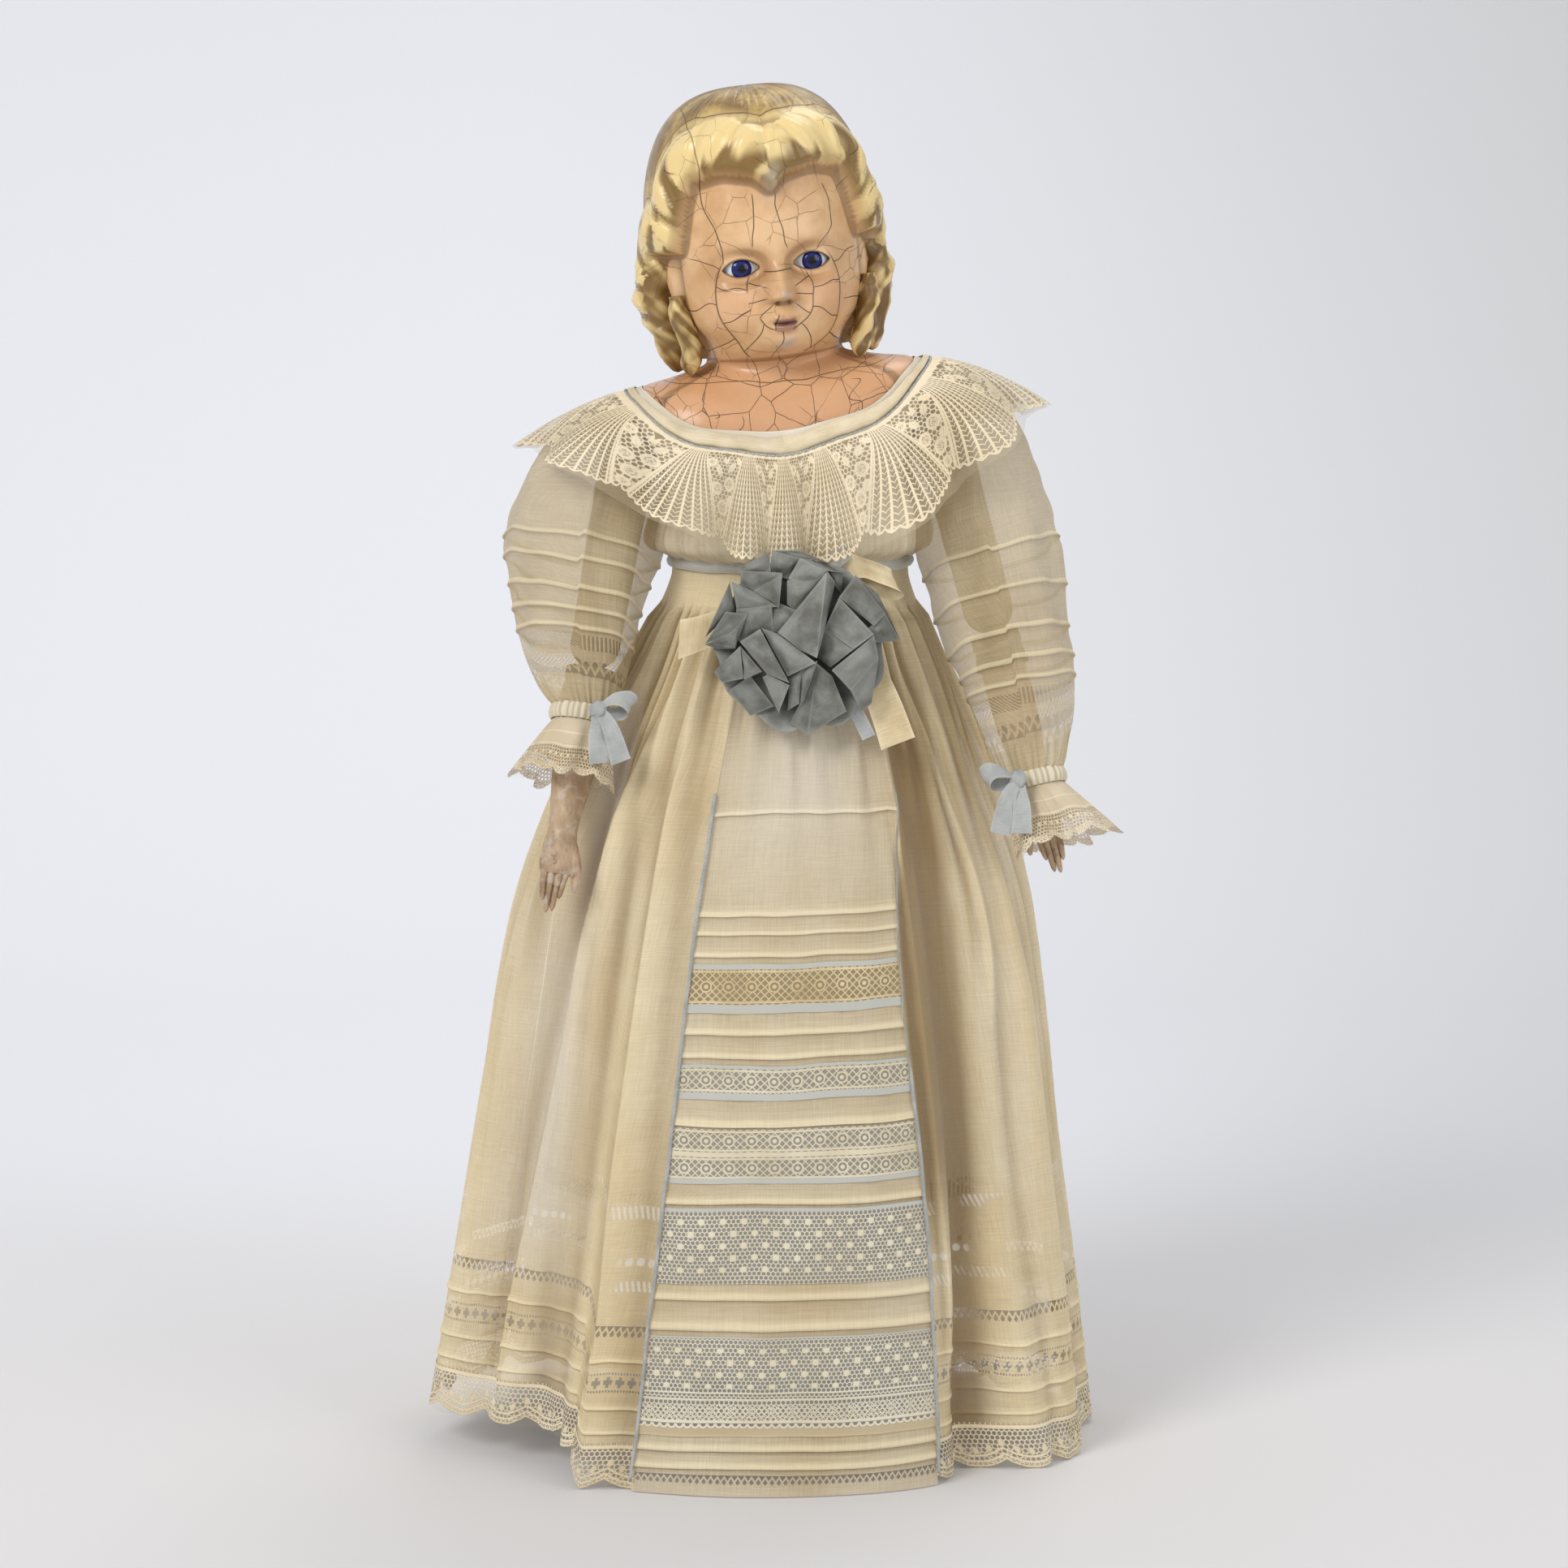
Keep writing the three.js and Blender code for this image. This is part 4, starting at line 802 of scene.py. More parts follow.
def over_hairline(deg, z):
    """Distance of a place from the edge of the hair, and where along that edge it is, in millimetres."""
    run = np.abs(deg) * SKIN_PER_DEGREE
    marks = np.linspace(0, 128, 420)
    line = np.stack([marks * SKIN_PER_DEGREE, hairline(marks)], axis=1)
    path = np.concatenate([[0], np.cumsum(np.linalg.norm(np.diff(line, axis=0), axis=1))])
    best = np.full(np.shape(z), 1e9)
    where = np.zeros(np.shape(z))
    for (s, h), length in zip(line, path):
        far = (run - s) ** 2 + (z - h) ** 2
        near = far < best
        best = np.where(near, far, best)
        where = np.where(near, length, where)
    return np.sqrt(best) * np.where(z > hairline(deg), 1, -1), where


def hair_form(a, z):
    """Rise of the moulded hair over the head, its cover, how light its locks are (paler on the crests of the
    waves as painted highlight), and the cracks in it.
    """
    deg = np.degrees((a + math.pi) % (2 * math.pi) - math.pi)
    side = np.abs(deg)
    over, where = over_hairline(deg, z)
    cover = smooth(over, -0.5, 1.7)
    ends = 1 - smooth(side, 100, 125)
    front = bell(over - 10, 10.5) * ends
    lean = where + 0.35 * over + 2.2 * noise(where / 14, over / 11, 5) + 2 * np.sign(deg)
    lobes = 0.5 + 0.5 * np.cos(2 * math.pi * lean / 11.5)
    strands = 0.5 + 0.5 * np.cos(2 * math.pi * lean / 3.7 + 2 * noise(where / 6, over / 8, 6))
    roll = 4.2 * bell(over - 10, 8.0) * (1 - 0.35 * bell(deg, 3.0))
    groove = front * (1.7 * (lobes - 0.5) * (1 - 0.5 * smooth(over, 10, 18)) + 0.35 * (strands - 0.5))
    part = -1.3 * bell(deg - 1.5 - 0.3 * over, 2.0) * bell(over - 12, 6)
    cap = smooth(over, 19, 25)
    comb_lines = np.cos(deg * 1.1 + 2 * noise(deg / 20, over / 15, 8))
    comb = cap * (0.35 * layered(deg / 5, over / 26, 7) + 0.12 * comb_lines)
    seam = -0.9 * bell(over - 21 - 1.5 * noise(where / 11, 0 * where, 3), 2.0) * ends
    hang = smooth(z, 6, -10) * smooth(side, 54, 66)
    rise = cover * (7.5 + roll + groove + part + comb + seam) + hang * cover * 4.2
    strokes = smooth(noise(lean / 3.4, over / 17, 9), -0.1, 0.5) * (1 - smooth(over, 9, 17))
    # Painted highlight on the crests of the waves; the darker strokes near the face are brushed paint.
    pale = smooth(over, -1, 9) * (0.22 + 0.78 * lobes) * (0.8 + 0.2 * strands) + 0.3 - 0.5 * strokes
    light = np.clip(mix(pale, 0.3, smooth(side, 92, 120)), 0.05, 1)
    arc = over - 21.8 - 1.6 * noise(where / 12, 0 * where, 13)
    combed = np.sin(math.pi * (where / 16 + 0.5 * noise(over / 9, where / 30, 14))) * 16 / math.pi
    shown = smooth(noise(where / 15, over / 20, 12), -0.15, 0.1) * smooth(over, 3, 7)
    return rise, cover, light, cap, arc, combed, shown


def lid_edges(across):
    """Upper and lower edge of the almond opening of an eye."""
    t = np.clip(1 - (across / 8.0) ** 2, 0, 1)
    return 3.95 * t ** 0.88, -3.45 * t ** 0.98


def face_form(x, z):
    """How far the face stands forward, and what is painted or worn on it."""
    side = np.abs(x)
    nose = 7.6 * smooth(z, 6, -12.0) * smooth(z, -16.0, -13.2) * bell(x, 3.0 + 1.8 * smooth(z, 3, -12))
    nose += 1.2 * bell(x, 2.6) * bell(z + 12.2, 2.4) + 2.0 * bell(side - 4.0, 1.8) * bell(z + 13.2, 1.8)
    nostril = -1.3 * bell(side - 2.4, 1.0) * bell(z + 15.6, 0.8)
    lip = -24.6 + 0.012 * side ** 2
    upper = 1.8 * bell(side - 1.7, 2.6) * bell(z - lip - 1.9, 1.4)
    lower = 1.9 * bell(x, 3.8) * bell(z - lip + 2.1, 1.6)
    slit = -1.6 * bell(z - lip, 0.65) * smooth(side, 5.6, 4.0)
    corner = -0.7 * bell(side - 5.8, 1.6) * bell(z - lip, 1.8)
    cheeks = 2.8 * bell(side - 21, 13) * bell(z + 15, 12)
    fold = -0.35 * bell(side - 9.0 + 0.35 * (z + 18), 2.2) * bell(z + 18, 5)
    middle = 2.2 * bell(x, 12) * bell(z + 22, 8) - 0.45 * bell(x, 1.3) * bell(z + 17.8, 2.2)
    chin = 3.4 * bell(x, 9) * bell(z + 33, 5) - 0.7 * bell(x, 5) * bell(z + 28.6, 1.8)
    brow = 0.5 * bell(side - 14, 9) * bell(z - 9, 4)
    socket = -1.7 * bell(side - EYE_X, 10) * bell(z - 0.5, 7.5)
    forward = nose + nostril + upper + lower + slit + corner + cheeks + fold + middle + chin + brow + socket
    lips = smooth(side, 5.4, 3.6) * np.clip(bell(z - lip - 1.2, 1.5) + bell(z - lip + 1.6, 1.7), 0, 1)
    blush = bell(side - 22, 11) * bell(z + 15, 9)
    worn = 0.9 * bell(x - 0.8, 1.9) * bell(z + 12.4, 1.9) + 0.8 * bell(x - 1, 3.6) * bell(z + 33.5, 2.8)
    mouth_line = bell(z - lip, 0.55) * smooth(side, 5.4, 4.2)
    # Dark paint of the mouth line, with painted shade in the nostrils.
    dark = np.clip(0.7 * bell(side - 2.4, 1.0) * bell(z + 15.7, 0.8) + mouth_line, 0, 1)
    return forward, lips, blush, worn, dark


def between(x, curves):
    """Signed distance to the nearest of a row of curves: zero on each of them, of one sign between two."""
    out = np.full(np.shape(x), 9.0)
    for k, (left, right) in enumerate(zip(curves[:-1], curves[1:])):
        wide = right - left
        bow = np.sin(math.pi * np.clip((x - left) / wide, 0, 1)) * wide / math.pi * (-1) ** k
        out = np.where((x >= left) & (x < right), bow, out)
    return out


def forehead_cracks(x, z):
    """Four long cracks that run down the forehead, and how strongly each shows."""
    slow = noise(z / 9, 0 * z, 21)
    edge = 48 + 0 * z
    curves = [-edge, -22.5 - 6.5 * smooth(z, 3, 36) + slow,
              -9.6 + 1.6 * smooth(z, 8, 30) + 0.8 * noise(z / 6, 0 * z, 22),
              4.6 - 2.6 * smooth(z, 7, 28) + 0.8 * noise(z / 5, 0 * z, 23),
              18 + 8 * smooth(z, 4, 15) - 3 * smooth(z, 24, 36), edge]
    spans = [(90, 91), (2, 64), (8, 32), (6, 31), (4, 33), (90, 91)]
    shown = np.zeros(np.shape(x))
    nearest = np.full(np.shape(x), 99.0)
    for curve, (low, high) in zip(curves, spans):
        far = np.abs(x - curve)
        on = smooth(z, low, low + 2) * smooth(z, high, high - 2)
        shown = np.where(far < nearest, on, shown)
        nearest = np.minimum(far, nearest)
    return between(x, curves), shown


def mask_cracks(x, z):
    """Cracks of the lower face: a ring, a smaller one in it, and those that radiate between them."""
    turn = np.arctan2(x, -(z + 12))
    far = np.hypot(x / 26.5, (z + 12) / 28.5) * 27.5 + 0.9 * noise(turn * 2.2, 0 * turn, 31)
    rings = np.sin(math.pi * (far - 27.5) / 13) * 13 / math.pi
    low = smooth(np.abs(turn), 2.3, 2.0)
    outer = smooth(np.abs(far - 27.5), 6, 5)
    inner = smooth(np.abs(far - 14.5), 6, 5) * smooth(noise(turn * 1.6, 0 * turn, 32), -0.35, -0.1)
    phase = np.where(far < 27.5, 0.4, 1.9) + np.where(far < 14.5, 1.1, 0.0)
    spokes = np.sin(turn * 5.5 + phase + 0.35 * noise(far / 6, turn * 2, 33)) * far / 5.5
    gaps = smooth(noise(turn * 1.9 + phase, far / 13, 34), -0.45, -0.25)
    spread = smooth(far, 5, 8) * smooth(far, 42, 38) * low * gaps
    bridge = z + 2.2 + 0.4 * noise(x / 3, 0 * x, 35)
    at_bridge = (np.abs(x) < 6.5) & (np.abs(z + 2.2) < 4)
    rings = np.where(at_bridge, bridge, rings)
    shown = np.where(at_bridge, smooth(np.abs(x), 6.4, 5.6), (outer + inner) * low)
    return rings, shown, spokes, spread


def head_points(a, ring_w, ring_f, ring_b, z):
    """The finished head surface in the head's frame, with what the wax shows there."""
    x, y = section(a, ring_w, ring_f, ring_b)
    far = np.hypot(x, y)
    forward, lips, blush, worn, dark = face_form(x, z)
    face = np.where(y < 0, smooth(-y / far, 0.25, 0.6), 0.0)
    hair, cover, light, cap, arc, combed, shown = hair_form(a, z)
    keep = smooth(z, -44, -40)
    skin = face * (1 - cover)
    ear_at = np.abs(np.degrees((a + math.pi) % (2 * math.pi) - math.pi)) - 77
    ear = 2.6 * bell(ear_at, 5.5) * bell(z + 3, 7.5) - 1.4 * bell(ear_at + 0.5, 2.2) * bell(z + 3, 4.5)
    ear = ear * keep
    dome = np.maximum(z, 0) / CROWN
    rise = hair * keep + ear * (1 - cover)
    size = (far + rise * np.sqrt(np.maximum(1 - dome ** 2, 0))) / far
    px = x * size
    py = y * size - forward * face * keep
    pz = z + rise * dome
    across = np.abs(px) - EYE_X
    round_eye = np.hypot(across / 12.5, z / 8.8)
    lid_y = EYE_Y - 10.8 * np.sqrt(np.maximum(1 - (across / 14.5) ** 2 - (z / 11.5) ** 2, 0))
    py = mix(py, lid_y, smooth(round_eye, 1.05, 0.5) * (y < 0))
    top, low = lid_edges(across)
    gap = np.where(np.abs(across) < 8.0, np.minimum(top - z, z - low), -9.0)
    gap = np.where(y < 0, gap, -9.0)
    hole = smooth(gap, -0.2, 0.75)
    py = py + 3.7 * hole
    rim = np.where(y < 0, bell(gap, 0.5), 0.0)
    worn = worn * skin + 0.85 * bell(px - 0.5 - 0.35 * (z - 33), 3.6) * bell(z - 34, 5.0) * (y < 0)
    long, long_on = forehead_cracks(px, z)
    rings, rings_on, spokes, spokes_on = mask_cracks(px, z)
    front = smooth(-y, 2, 8)
    over = cover > 0.5
    # Painted shade in the hollows of the face: round the eyes, beside the nose and under the lower lip.
    soil = (0.8 * bell(round_eye - 0.95, 0.3) + 0.6 * bell(np.abs(px) - 7, 4) * bell(z + 13, 6)
            + 0.5 * bell(px, 7) * bell(z + 29, 3)) * (y < 0)
    values = {"hair": cover * keep, "soil": np.clip(soil, 0, 1) * (1 - cover), "light": light,
              "cap": cap * cover, "lips": lips * skin, "blush": blush * skin, "worn": worn,
              # Dark adds a dark line along the lid edges and painted shade inside the eye openings.
              "dark": np.clip(dark * skin + rim + hole, 0, 1),
              "crack_a": long, "crack_a_on": long_on * front * (1 - hole),
              "crack_b": np.where(over, arc, rings),
              "crack_b_on": np.where(over, 1.0, rings_on * front) * (1 - hole) * smooth(z, -50, -42),
              "crack_c": np.where(over, combed, spokes),
              "crack_c_on": np.where(over, shown, spokes_on * front) * (1 - hole)}
    turn = HEAD_TURN * smooth(z, -46, -30)
    return turned(pack(px, py, pz), turn), values


def blurred(grid, reach_cols, reach_rows):
    """Mean over a window of a grid that closes on itself across its columns."""
    total = np.zeros_like(grid)
    for shift in range(-reach_cols, reach_cols + 1):
        total += np.roll(grid, shift, axis=1)
    total /= 2 * reach_cols + 1
    padded = np.pad(total, ((reach_rows, reach_rows), (0, 0)), mode="edge")
    out = np.zeros_like(grid)
    for shift in range(2 * reach_rows + 1):
        out += padded[shift:shift + len(grid)]
    return out / (2 * reach_rows + 1)


def wax_look():
    """Skin, hair, cracks, and painted shade in the hollows of the wax, each laid over the last by a value of
    the mesh.
    """
    look = Look("wax_over_papier_mache", Specular_IOR_Level=0.35, Coat_Weight=0.32, Coat_Roughness=0.16,
                Subsurface_Weight=0.08, Subsurface_Scale=0.004)
    where = look.place()
    hair = look.value("hair")
    light = look.value("light")
    clouds = look.mottle(18, where, 4.0).span(0.32, 0.7)
    skin = look.blend(chosen("skin_tone"), srgb(208, 163, 114), clouds)
    # Painted shade, brown, in the hollows round the eyes, beside the nose and under the lip.
    skin = look.blend(skin, srgb(160, 112, 66), look.value("soil") * 0.5)
    skin = look.blend(skin, srgb(224, 168, 130), look.value("blush") * 0.5)
    skin = look.blend(skin, srgb(208, 154, 112), look.value("chest") * 0.75)
    skin = look.blend(skin, srgb(182, 168, 158), look.value("worn"))
    skin = look.blend(skin, srgb(150, 100, 92), look.value("lips") * 0.85)
    # The light value makes the locks paler: painted highlight on the crests, over the paint of the hair.
    locks = look.blend(srgb(134, 104, 50), chosen("hair_tone"), light.span(0.02, 0.62))
    patches = look.mottle(16, where, 5.0, 0.6).span(0.44, 0.66)
    locks = look.blend(locks, look.blend(srgb(132, 102, 52), srgb(188, 158, 92), patches), look.value("cap"))
    locks = look.blend(locks, srgb(178, 164, 136), look.value("worn"))
    wax = look.blend(skin, locks, hair)
    # Painted shade in the hollows of the hair and the face and under the chin, from the cavity value.
    hollow_shade = look.value("cavity").span(0.05, 0.8)
    wax = look.blend(wax, srgb(120, 86, 48), hollow_shade * 0.6)
    wax = look.blend(wax, srgb(150, 108, 70), look.mottle(5, where, 5.0, 0.65).span(0.66, 0.82) * 0.35)
    # Dark: the mouth's paint, a line along the lids, and painted shade in the nostrils and inside the eye
    # openings.
    wax = look.blend(wax, srgb(62, 40, 34), look.value("dark") * 0.85)
    straight = look.shifted(where, 7, 1.6)
    x, y, z = look.axes(straight)
    flat = look.vector(x, y * 0.3, z)
    net = look.cells(13, flat).below(0.1, 0.12) * look.mottle(22, where, 2.0).span(0.44, 0.56)
    chest_net = look.cells(15, flat).below(0.1, 0.1) * look.value("chest")
    cracks = net * 0.6
    crack = bpy.context.scene.doll.crack_width / MM
    for name in ("crack_a", "crack_b", "crack_c"):
        cracks = cracks.most(look.value(name).near(crack, 0.13) * look.value(name + "_on"))
    cracks = cracks.most(chest_net)
    stained = look.value("crack_b").near(0.2, 1.2) * look.value("crack_b_on") * 0.25
    wax = look.blend(wax, srgb(150, 104, 62), stained)
    wax = look.blend(wax, srgb(70, 44, 26), cracks * (hair * -0.2 + 0.9))
    look.set(Base_Color=wax, Roughness=clouds.span(0, 1, 0.34, 0.5))
    relief = look.mottle(2.6, where, 4.0) * 0.25 - cracks + look.mottle(9, where) * 0.5
    look.bump(relief, 0.35, 0.8)
    return look.material


def build_head():
    """Head and shoulder plate as one wax surface: rings of the crown, the jaw and the plate."""
    look = wax_look()
    half = math.radians(62)
    columns = np.concatenate([np.linspace(-half, half, 181)[:-1],
                              np.linspace(half, 2 * math.pi - half, 111)[:-1]])
    inner = np.linspace(0.04, 0.8, 38)
    crown = CROWN * (1 - inner ** CROWN_POWER) ** (1 / CROWN_POWER)
    height = np.concatenate([crown, np.linspace(53.8, 0.4, 96)])
    wide = (1 - (height / CROWN) ** CROWN_POWER) ** (1 / CROWN_POWER)
    dome = np.stack([height, 43 * wide, 45.5 * wide, 48 * wide], axis=1)
    jaw = along(JAW, np.linspace(0, 5, 88))
    rings = np.concatenate([dome, jaw])
    a = np.broadcast_to(columns, (len(rings), len(columns)))
    z, width, fore, back = [np.broadcast_to(rings[:, k:k + 1], a.shape) for k in range(4)]
    points, values = head_points(a, width, fore, back, z)
    at = np.linspace(0.12, NECKLINE + 1.2, 60)[:, None]
    chest = over_plate(at, columns[None, :] + 0 * at, 0.0)
    beside_neck = bell(np.abs(np.sin(columns)) - 0.42, 0.22) * (np.cos(columns) > 0)
    collar_bone = 0.9 * beside_neck * bell(at - 1.9, 0.5)
    chest[..., 2] += collar_bone
    everything = np.concatenate([from_head(points), chest])
    full = {key: np.concatenate([value, np.zeros(chest.shape[:2])]) for key, value in values.items()}
    full["chest"] = np.concatenate([np.zeros(a.shape), np.ones(chest.shape[:2])])
    across = chest[..., 0]
    level = (at - 1.75 - 0.012 * np.abs(across) + 0.12 * noise(across / 9, 0 * across, 41)) * CHEST_PER_STEP
    sway = 0.4 * noise(at * 2, across / 20, 42)
    falls = np.sin(math.pi * (across / 15 + sway) + 1.7 * (level > 0)) * 15 / math.pi
    front = (np.cos(columns)[None, :] > 0) * smooth(at, 0.2, 0.5)
    full["crack_b"][len(rings):] = level
    full["crack_b_on"][len(rings):] = front
    full["crack_c"][len(rings):] = falls
    in_patches = smooth(noise(across / 14, at * 1.4, 43), 0.0, 0.2)
    full["crack_c_on"][len(rings):] = front * in_patches * smooth(at, 1.9, 2.2)
    # Painted shade: the cavity is how far a place lies in from its blurred neighbours, made deeper just under
    # the chin.
    depth = np.linalg.norm(everything - blurred_points(everything), axis=-1)
    inward = np.sum((blurred_points(everything) - everything) * outward(everything), axis=-1)
    full["cavity"] = np.clip(np.where(inward > 0, depth, 0.0), 0, 1.6) / 1.6
    rows_from_chin = np.arange(len(everything))[:, None] - (len(rings) - 14)
    full["cavity"] = np.clip(full["cavity"] + 0.12 * bell(rows_from_chin, 10), 0, 1)
    u = np.concatenate([columns, [columns[0] + 2 * math.pi]]) * 44
    v = np.arange(len(everything)) * 0.5
    uv = pair(u[None, :], v[:, None])
    head = grid_piece("wax_head", everything, look, uv, closed=True, values=full,
                      caps=(True, False))
    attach(head, "torso")
    build_ringlets(look)


def blurred_points(points):
    """Places averaged over their neighbours in the grid."""
    return np.stack([blurred(points[..., k], 4, 4) for k in range(3)], axis=-1)


def outward(points):
    """Rough outward direction: away from the axis of the head, and up on the crown."""
    middle = points.mean(axis=1, keepdims=True)
    away = points - middle
    away[..., 2] += np.maximum(points[..., 2] - points[..., 2].max() + 45, 0)
    return away / (np.linalg.norm(away, axis=-1, keepdims=True) + 1e-6)


def build_ringlets(look):
    """Hanging ringlets: seven round the back and sides, and a shorter one under each ear."""
    grids = []
    fields = []
    rows = 92
    sides = 40
    around = circle(sides)
    wide = np.cos(around)[None, :]
    deep = np.sin(around)[None, :]
    full = [(math.pi + n * RINGLET_STEP, 15.0, -43.0, 7.2) for n in range(-3, 4)]
    short = [(math.pi + way * math.radians(114), -9.0, -44.0, 5.0) for way in (-1, 1)]
    for n, (middle, start, end, girth) in enumerate(full + short):
        t = np.linspace(0, 1, rows)
        z = mix(start, end, t)
        ring = along(JAW, np.interp(-np.minimum(z, 0), [-row[0] for row in JAW], np.arange(len(JAW))))
        x, y = section(middle, ring[:, 1], ring[:, 2], ring[:, 3])
        straight_x, straight_y = section(middle, 43.0, 45.5, 48.0)
        x = mix(straight_x, x, 0.4)
        y = mix(straight_y, y, 0.4)
        far = np.hypot(x, y)
        out = (far + mix(2.5, 5.2, smooth(z, 14, -6)) * (girth / 7.2) ** 2) / far
        thick = mix(0.7, 1.0, smooth(t, 0, 0.3)) * girth * (1 - 0.3 * smooth(t, 0.85, 1.0))
        thick = np.maximum(thick * np.sqrt(1 - t ** 14), 0.3)
        phase = around[None, :] * (1 if middle >= math.pi else -1) - 2 * math.pi * z[:, None] / 21 + 2.4 * n
        lobes = np.abs(np.cos(phase)) ** 0.9
        up = z[:, None]
        knobs = noise(wide * 1.5 + 7 * n, up / 4.6 + deep * 1.4, 17)
        knobs = knobs + 0.4 * noise(wide * 3 + 5 * n, up / 2.4 + deep * 3, 18)
        size = thick[:, None] * (0.86 + 0.1 * lobes + 0.15 * knobs)
        radial = np.array([math.sin(middle), -math.cos(middle)])
        tangent = np.array([math.cos(middle), math.sin(middle)])
        side_way = wide * size
        out_way = -deep * size
        px = (x * out)[:, None] + tangent[0] * side_way + radial[0] * out_way
        py = (y * out)[:, None] + tangent[1] * side_way + radial[1] * out_way
        grid = turned(pack(px, py, z[:, None]), HEAD_TURN * smooth(z, -46, -30)[:, None])
        grids.append(from_head(grid)[:, ::-1])
        # The ringlets of one side are painted darker: painted shade.
        shown = 0.95 if middle < math.pi else 0.5
        # Painted highlight on the lobes and knobs of each ringlet.
        tone = np.clip(0.12 + 0.26 * lobes + 0.75 * knobs, 0, 1)[:, ::-1] * shown
        # Painted shade between the knobs.
        hollow = np.clip(0.14 - 0.9 * knobs[:, ::-1], 0, 1)
        fields.append({"hair": np.ones_like(tone), "light": tone, "cavity": hollow})
    piece = joined_grids("ringlets", grids, look, closed=True, values=fields, caps=BOTH_ENDS)
    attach(piece, "torso")
    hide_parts("shoulder_head")


def build_eyes():
    """Glass eyes on plaster beds: white, iris and pupil by the distance from the middle of the gaze."""
    look = Look("glass_eye", Roughness=0.16, Specular_IOR_Level=0.25, Coat_Weight=0.35, Coat_Roughness=0.03)
    out = look.value("gaze")
    spoke = look.value("spoke")
    white = look.blend(srgb(224, 230, 238), srgb(186, 198, 214), out.span(IRIS_RADIUS, 9.0))
    blue = look.blend(chosen("iris_tone"), srgb(8, 14, 66), spoke.wave(0.26).span(-1, 1))
    blue = look.blend(blue, srgb(8, 10, 44), out.span(3.7, IRIS_RADIUS))
    colour = look.blend(blue, white, out.above(IRIS_RADIUS, 0.2))
    colour = look.blend(srgb(4, 4, 8), colour, out.above(PUPIL_RADIUS, 0.25))
    look.set(Base_Color=colour)
    beds = Look("eye_plaster", Roughness=0.9)
    beds.set(Base_Color=beds.blend(srgb(198, 188, 170), srgb(150, 134, 110), beds.mottle(5)))
    for side, name in ((1, "left"), (-1, "right")):
        tip = np.linspace(0.02, math.pi * 0.72, 44)[:, None]
        around = circle(56)[None, :]
        gaze = math.radians(2.0)
        px = EYE_RADIUS * np.sin(tip) * np.sin(around)
        py = -EYE_RADIUS * np.cos(tip) + 0 * around - 0.35 * smooth(tip, 0.5, 0.3)
        pz = EYE_RADIUS * np.sin(tip) * np.cos(around)
        ball = turned(pack(px, py, pz), gaze)
        ball = ball + np.array([side * EYE_X, EYE_Y, 0.0])
        ball = from_head(turned(ball, HEAD_TURN))
        values = {"gaze": EYE_RADIUS * tip, "spoke": around}
        piece = grid_piece(f"eye_ball_{name}", ball, look.material, closed=True, values=values,
                           caps=BOTH_ENDS)
        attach(piece, "torso")
        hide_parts(f"eye_{name}")
        bed = frame["nodes"][f"eye_bed_{name}"]
        bed.data.materials.clear()
        bed.data.materials.append(beds.material)


# Skirt: one surface that all its breadths, laces and cords lie on

# Broad folds: degrees from the front, breadth and rise
FOLDS = [(-37, 6, 7), (-53, 9, -15), (-80, 12, 5), (-103, 9, -9), (45, 7, -13), (61, 9, 7), (84, 9, -6),
         (106, 11, 6), (128, 9, -9), (-128, 11, 6), (-152, 9, -10), (155, 11, 6), (180, 10, -8)]
SEAM_BACK_RIGHT = -116.0
SEAM_BACK_LEFT = 118.0
PANEL_HEM = 0.5


def drop_share(z):
    """How far down the skirt a height is: 0 at the waist, 1 at the floor."""
    return np.maximum(WAIST_Z - z, 0) / WAIST_Z


def seam_right(z):
    """Degrees of the right seam of the panel, further round as the skirt drops."""
    return -16 - 8.5 * drop_share(z)


def seam_left(z):
    """Degrees of the left seam of the panel, bowed inwards half way down."""
    return 33 - 5.5 * bell(np.asarray(z, float) - 235, 95)


def fold_rise(deg, z):
    """Sum of the broad folds, which grow as the skirt drops, and of the lapped ones."""
    t = drop_share(z)
    total = 0.0
    for at, spread, rise in FOLDS:
        total = total + rise * bell((deg - at + 180) % 360 - 180, spread)
    return total * (0.2 + 0.8 * t) * smooth(t, 0, 0.12) + lapped_folds(deg, z)


# Folds that lap over: degrees at the top and at the foot, heights of both, steep side, breadth and rise
LAPPED_FOLDS = [(-30, -34, 335, 0, -1, 10, 4.5), (-45, -60, 352, 30, -1, 10, 4.5),
                (-75, -84, 345, 0, -1, 10, 3.5), (30, 37, 330, 60, -1, 10, 4.5),
                (47, 54, 352, 215, -1, 8, 4.0), (70, 76, 240, 0, 1, 9, 3.5),
                (98, 106, 345, 0, 1, 9, 3.5), (128, 134, 345, 0, -1, 9, 4.0),
                (150, 156, 345, 0, 1, 9, 4.0), (178, 181, 345, 0, -1, 9, 4.0),
                (205, 204, 345, 0, 1, 9, 4.0), (236, 234, 345, 0, -1, 9, 3.5)]


def lapped_folds(deg, z):
    """Folds that climb slowly to an edge and drop steeply behind it."""
    total = 0.0 * deg * z
    for top_at, low_at, top, low, steep, wide, rise in LAPPED_FOLDS:
        at = mix(low_at, top_at, smooth(z, low, top)) + 1.2 * noise(z / 70, 0 * z + top_at, 16)
        beyond = ((deg - at + 180) % 360 - 180) * steep
        form = np.where(beyond < 0, np.exp(np.minimum(beyond, 0) / wide), smooth(beyond, 1.3, 0.0))
        total = total + rise * form * smooth(z, top, top - 40) * smooth(z, low - 30, low + 20)
    return total


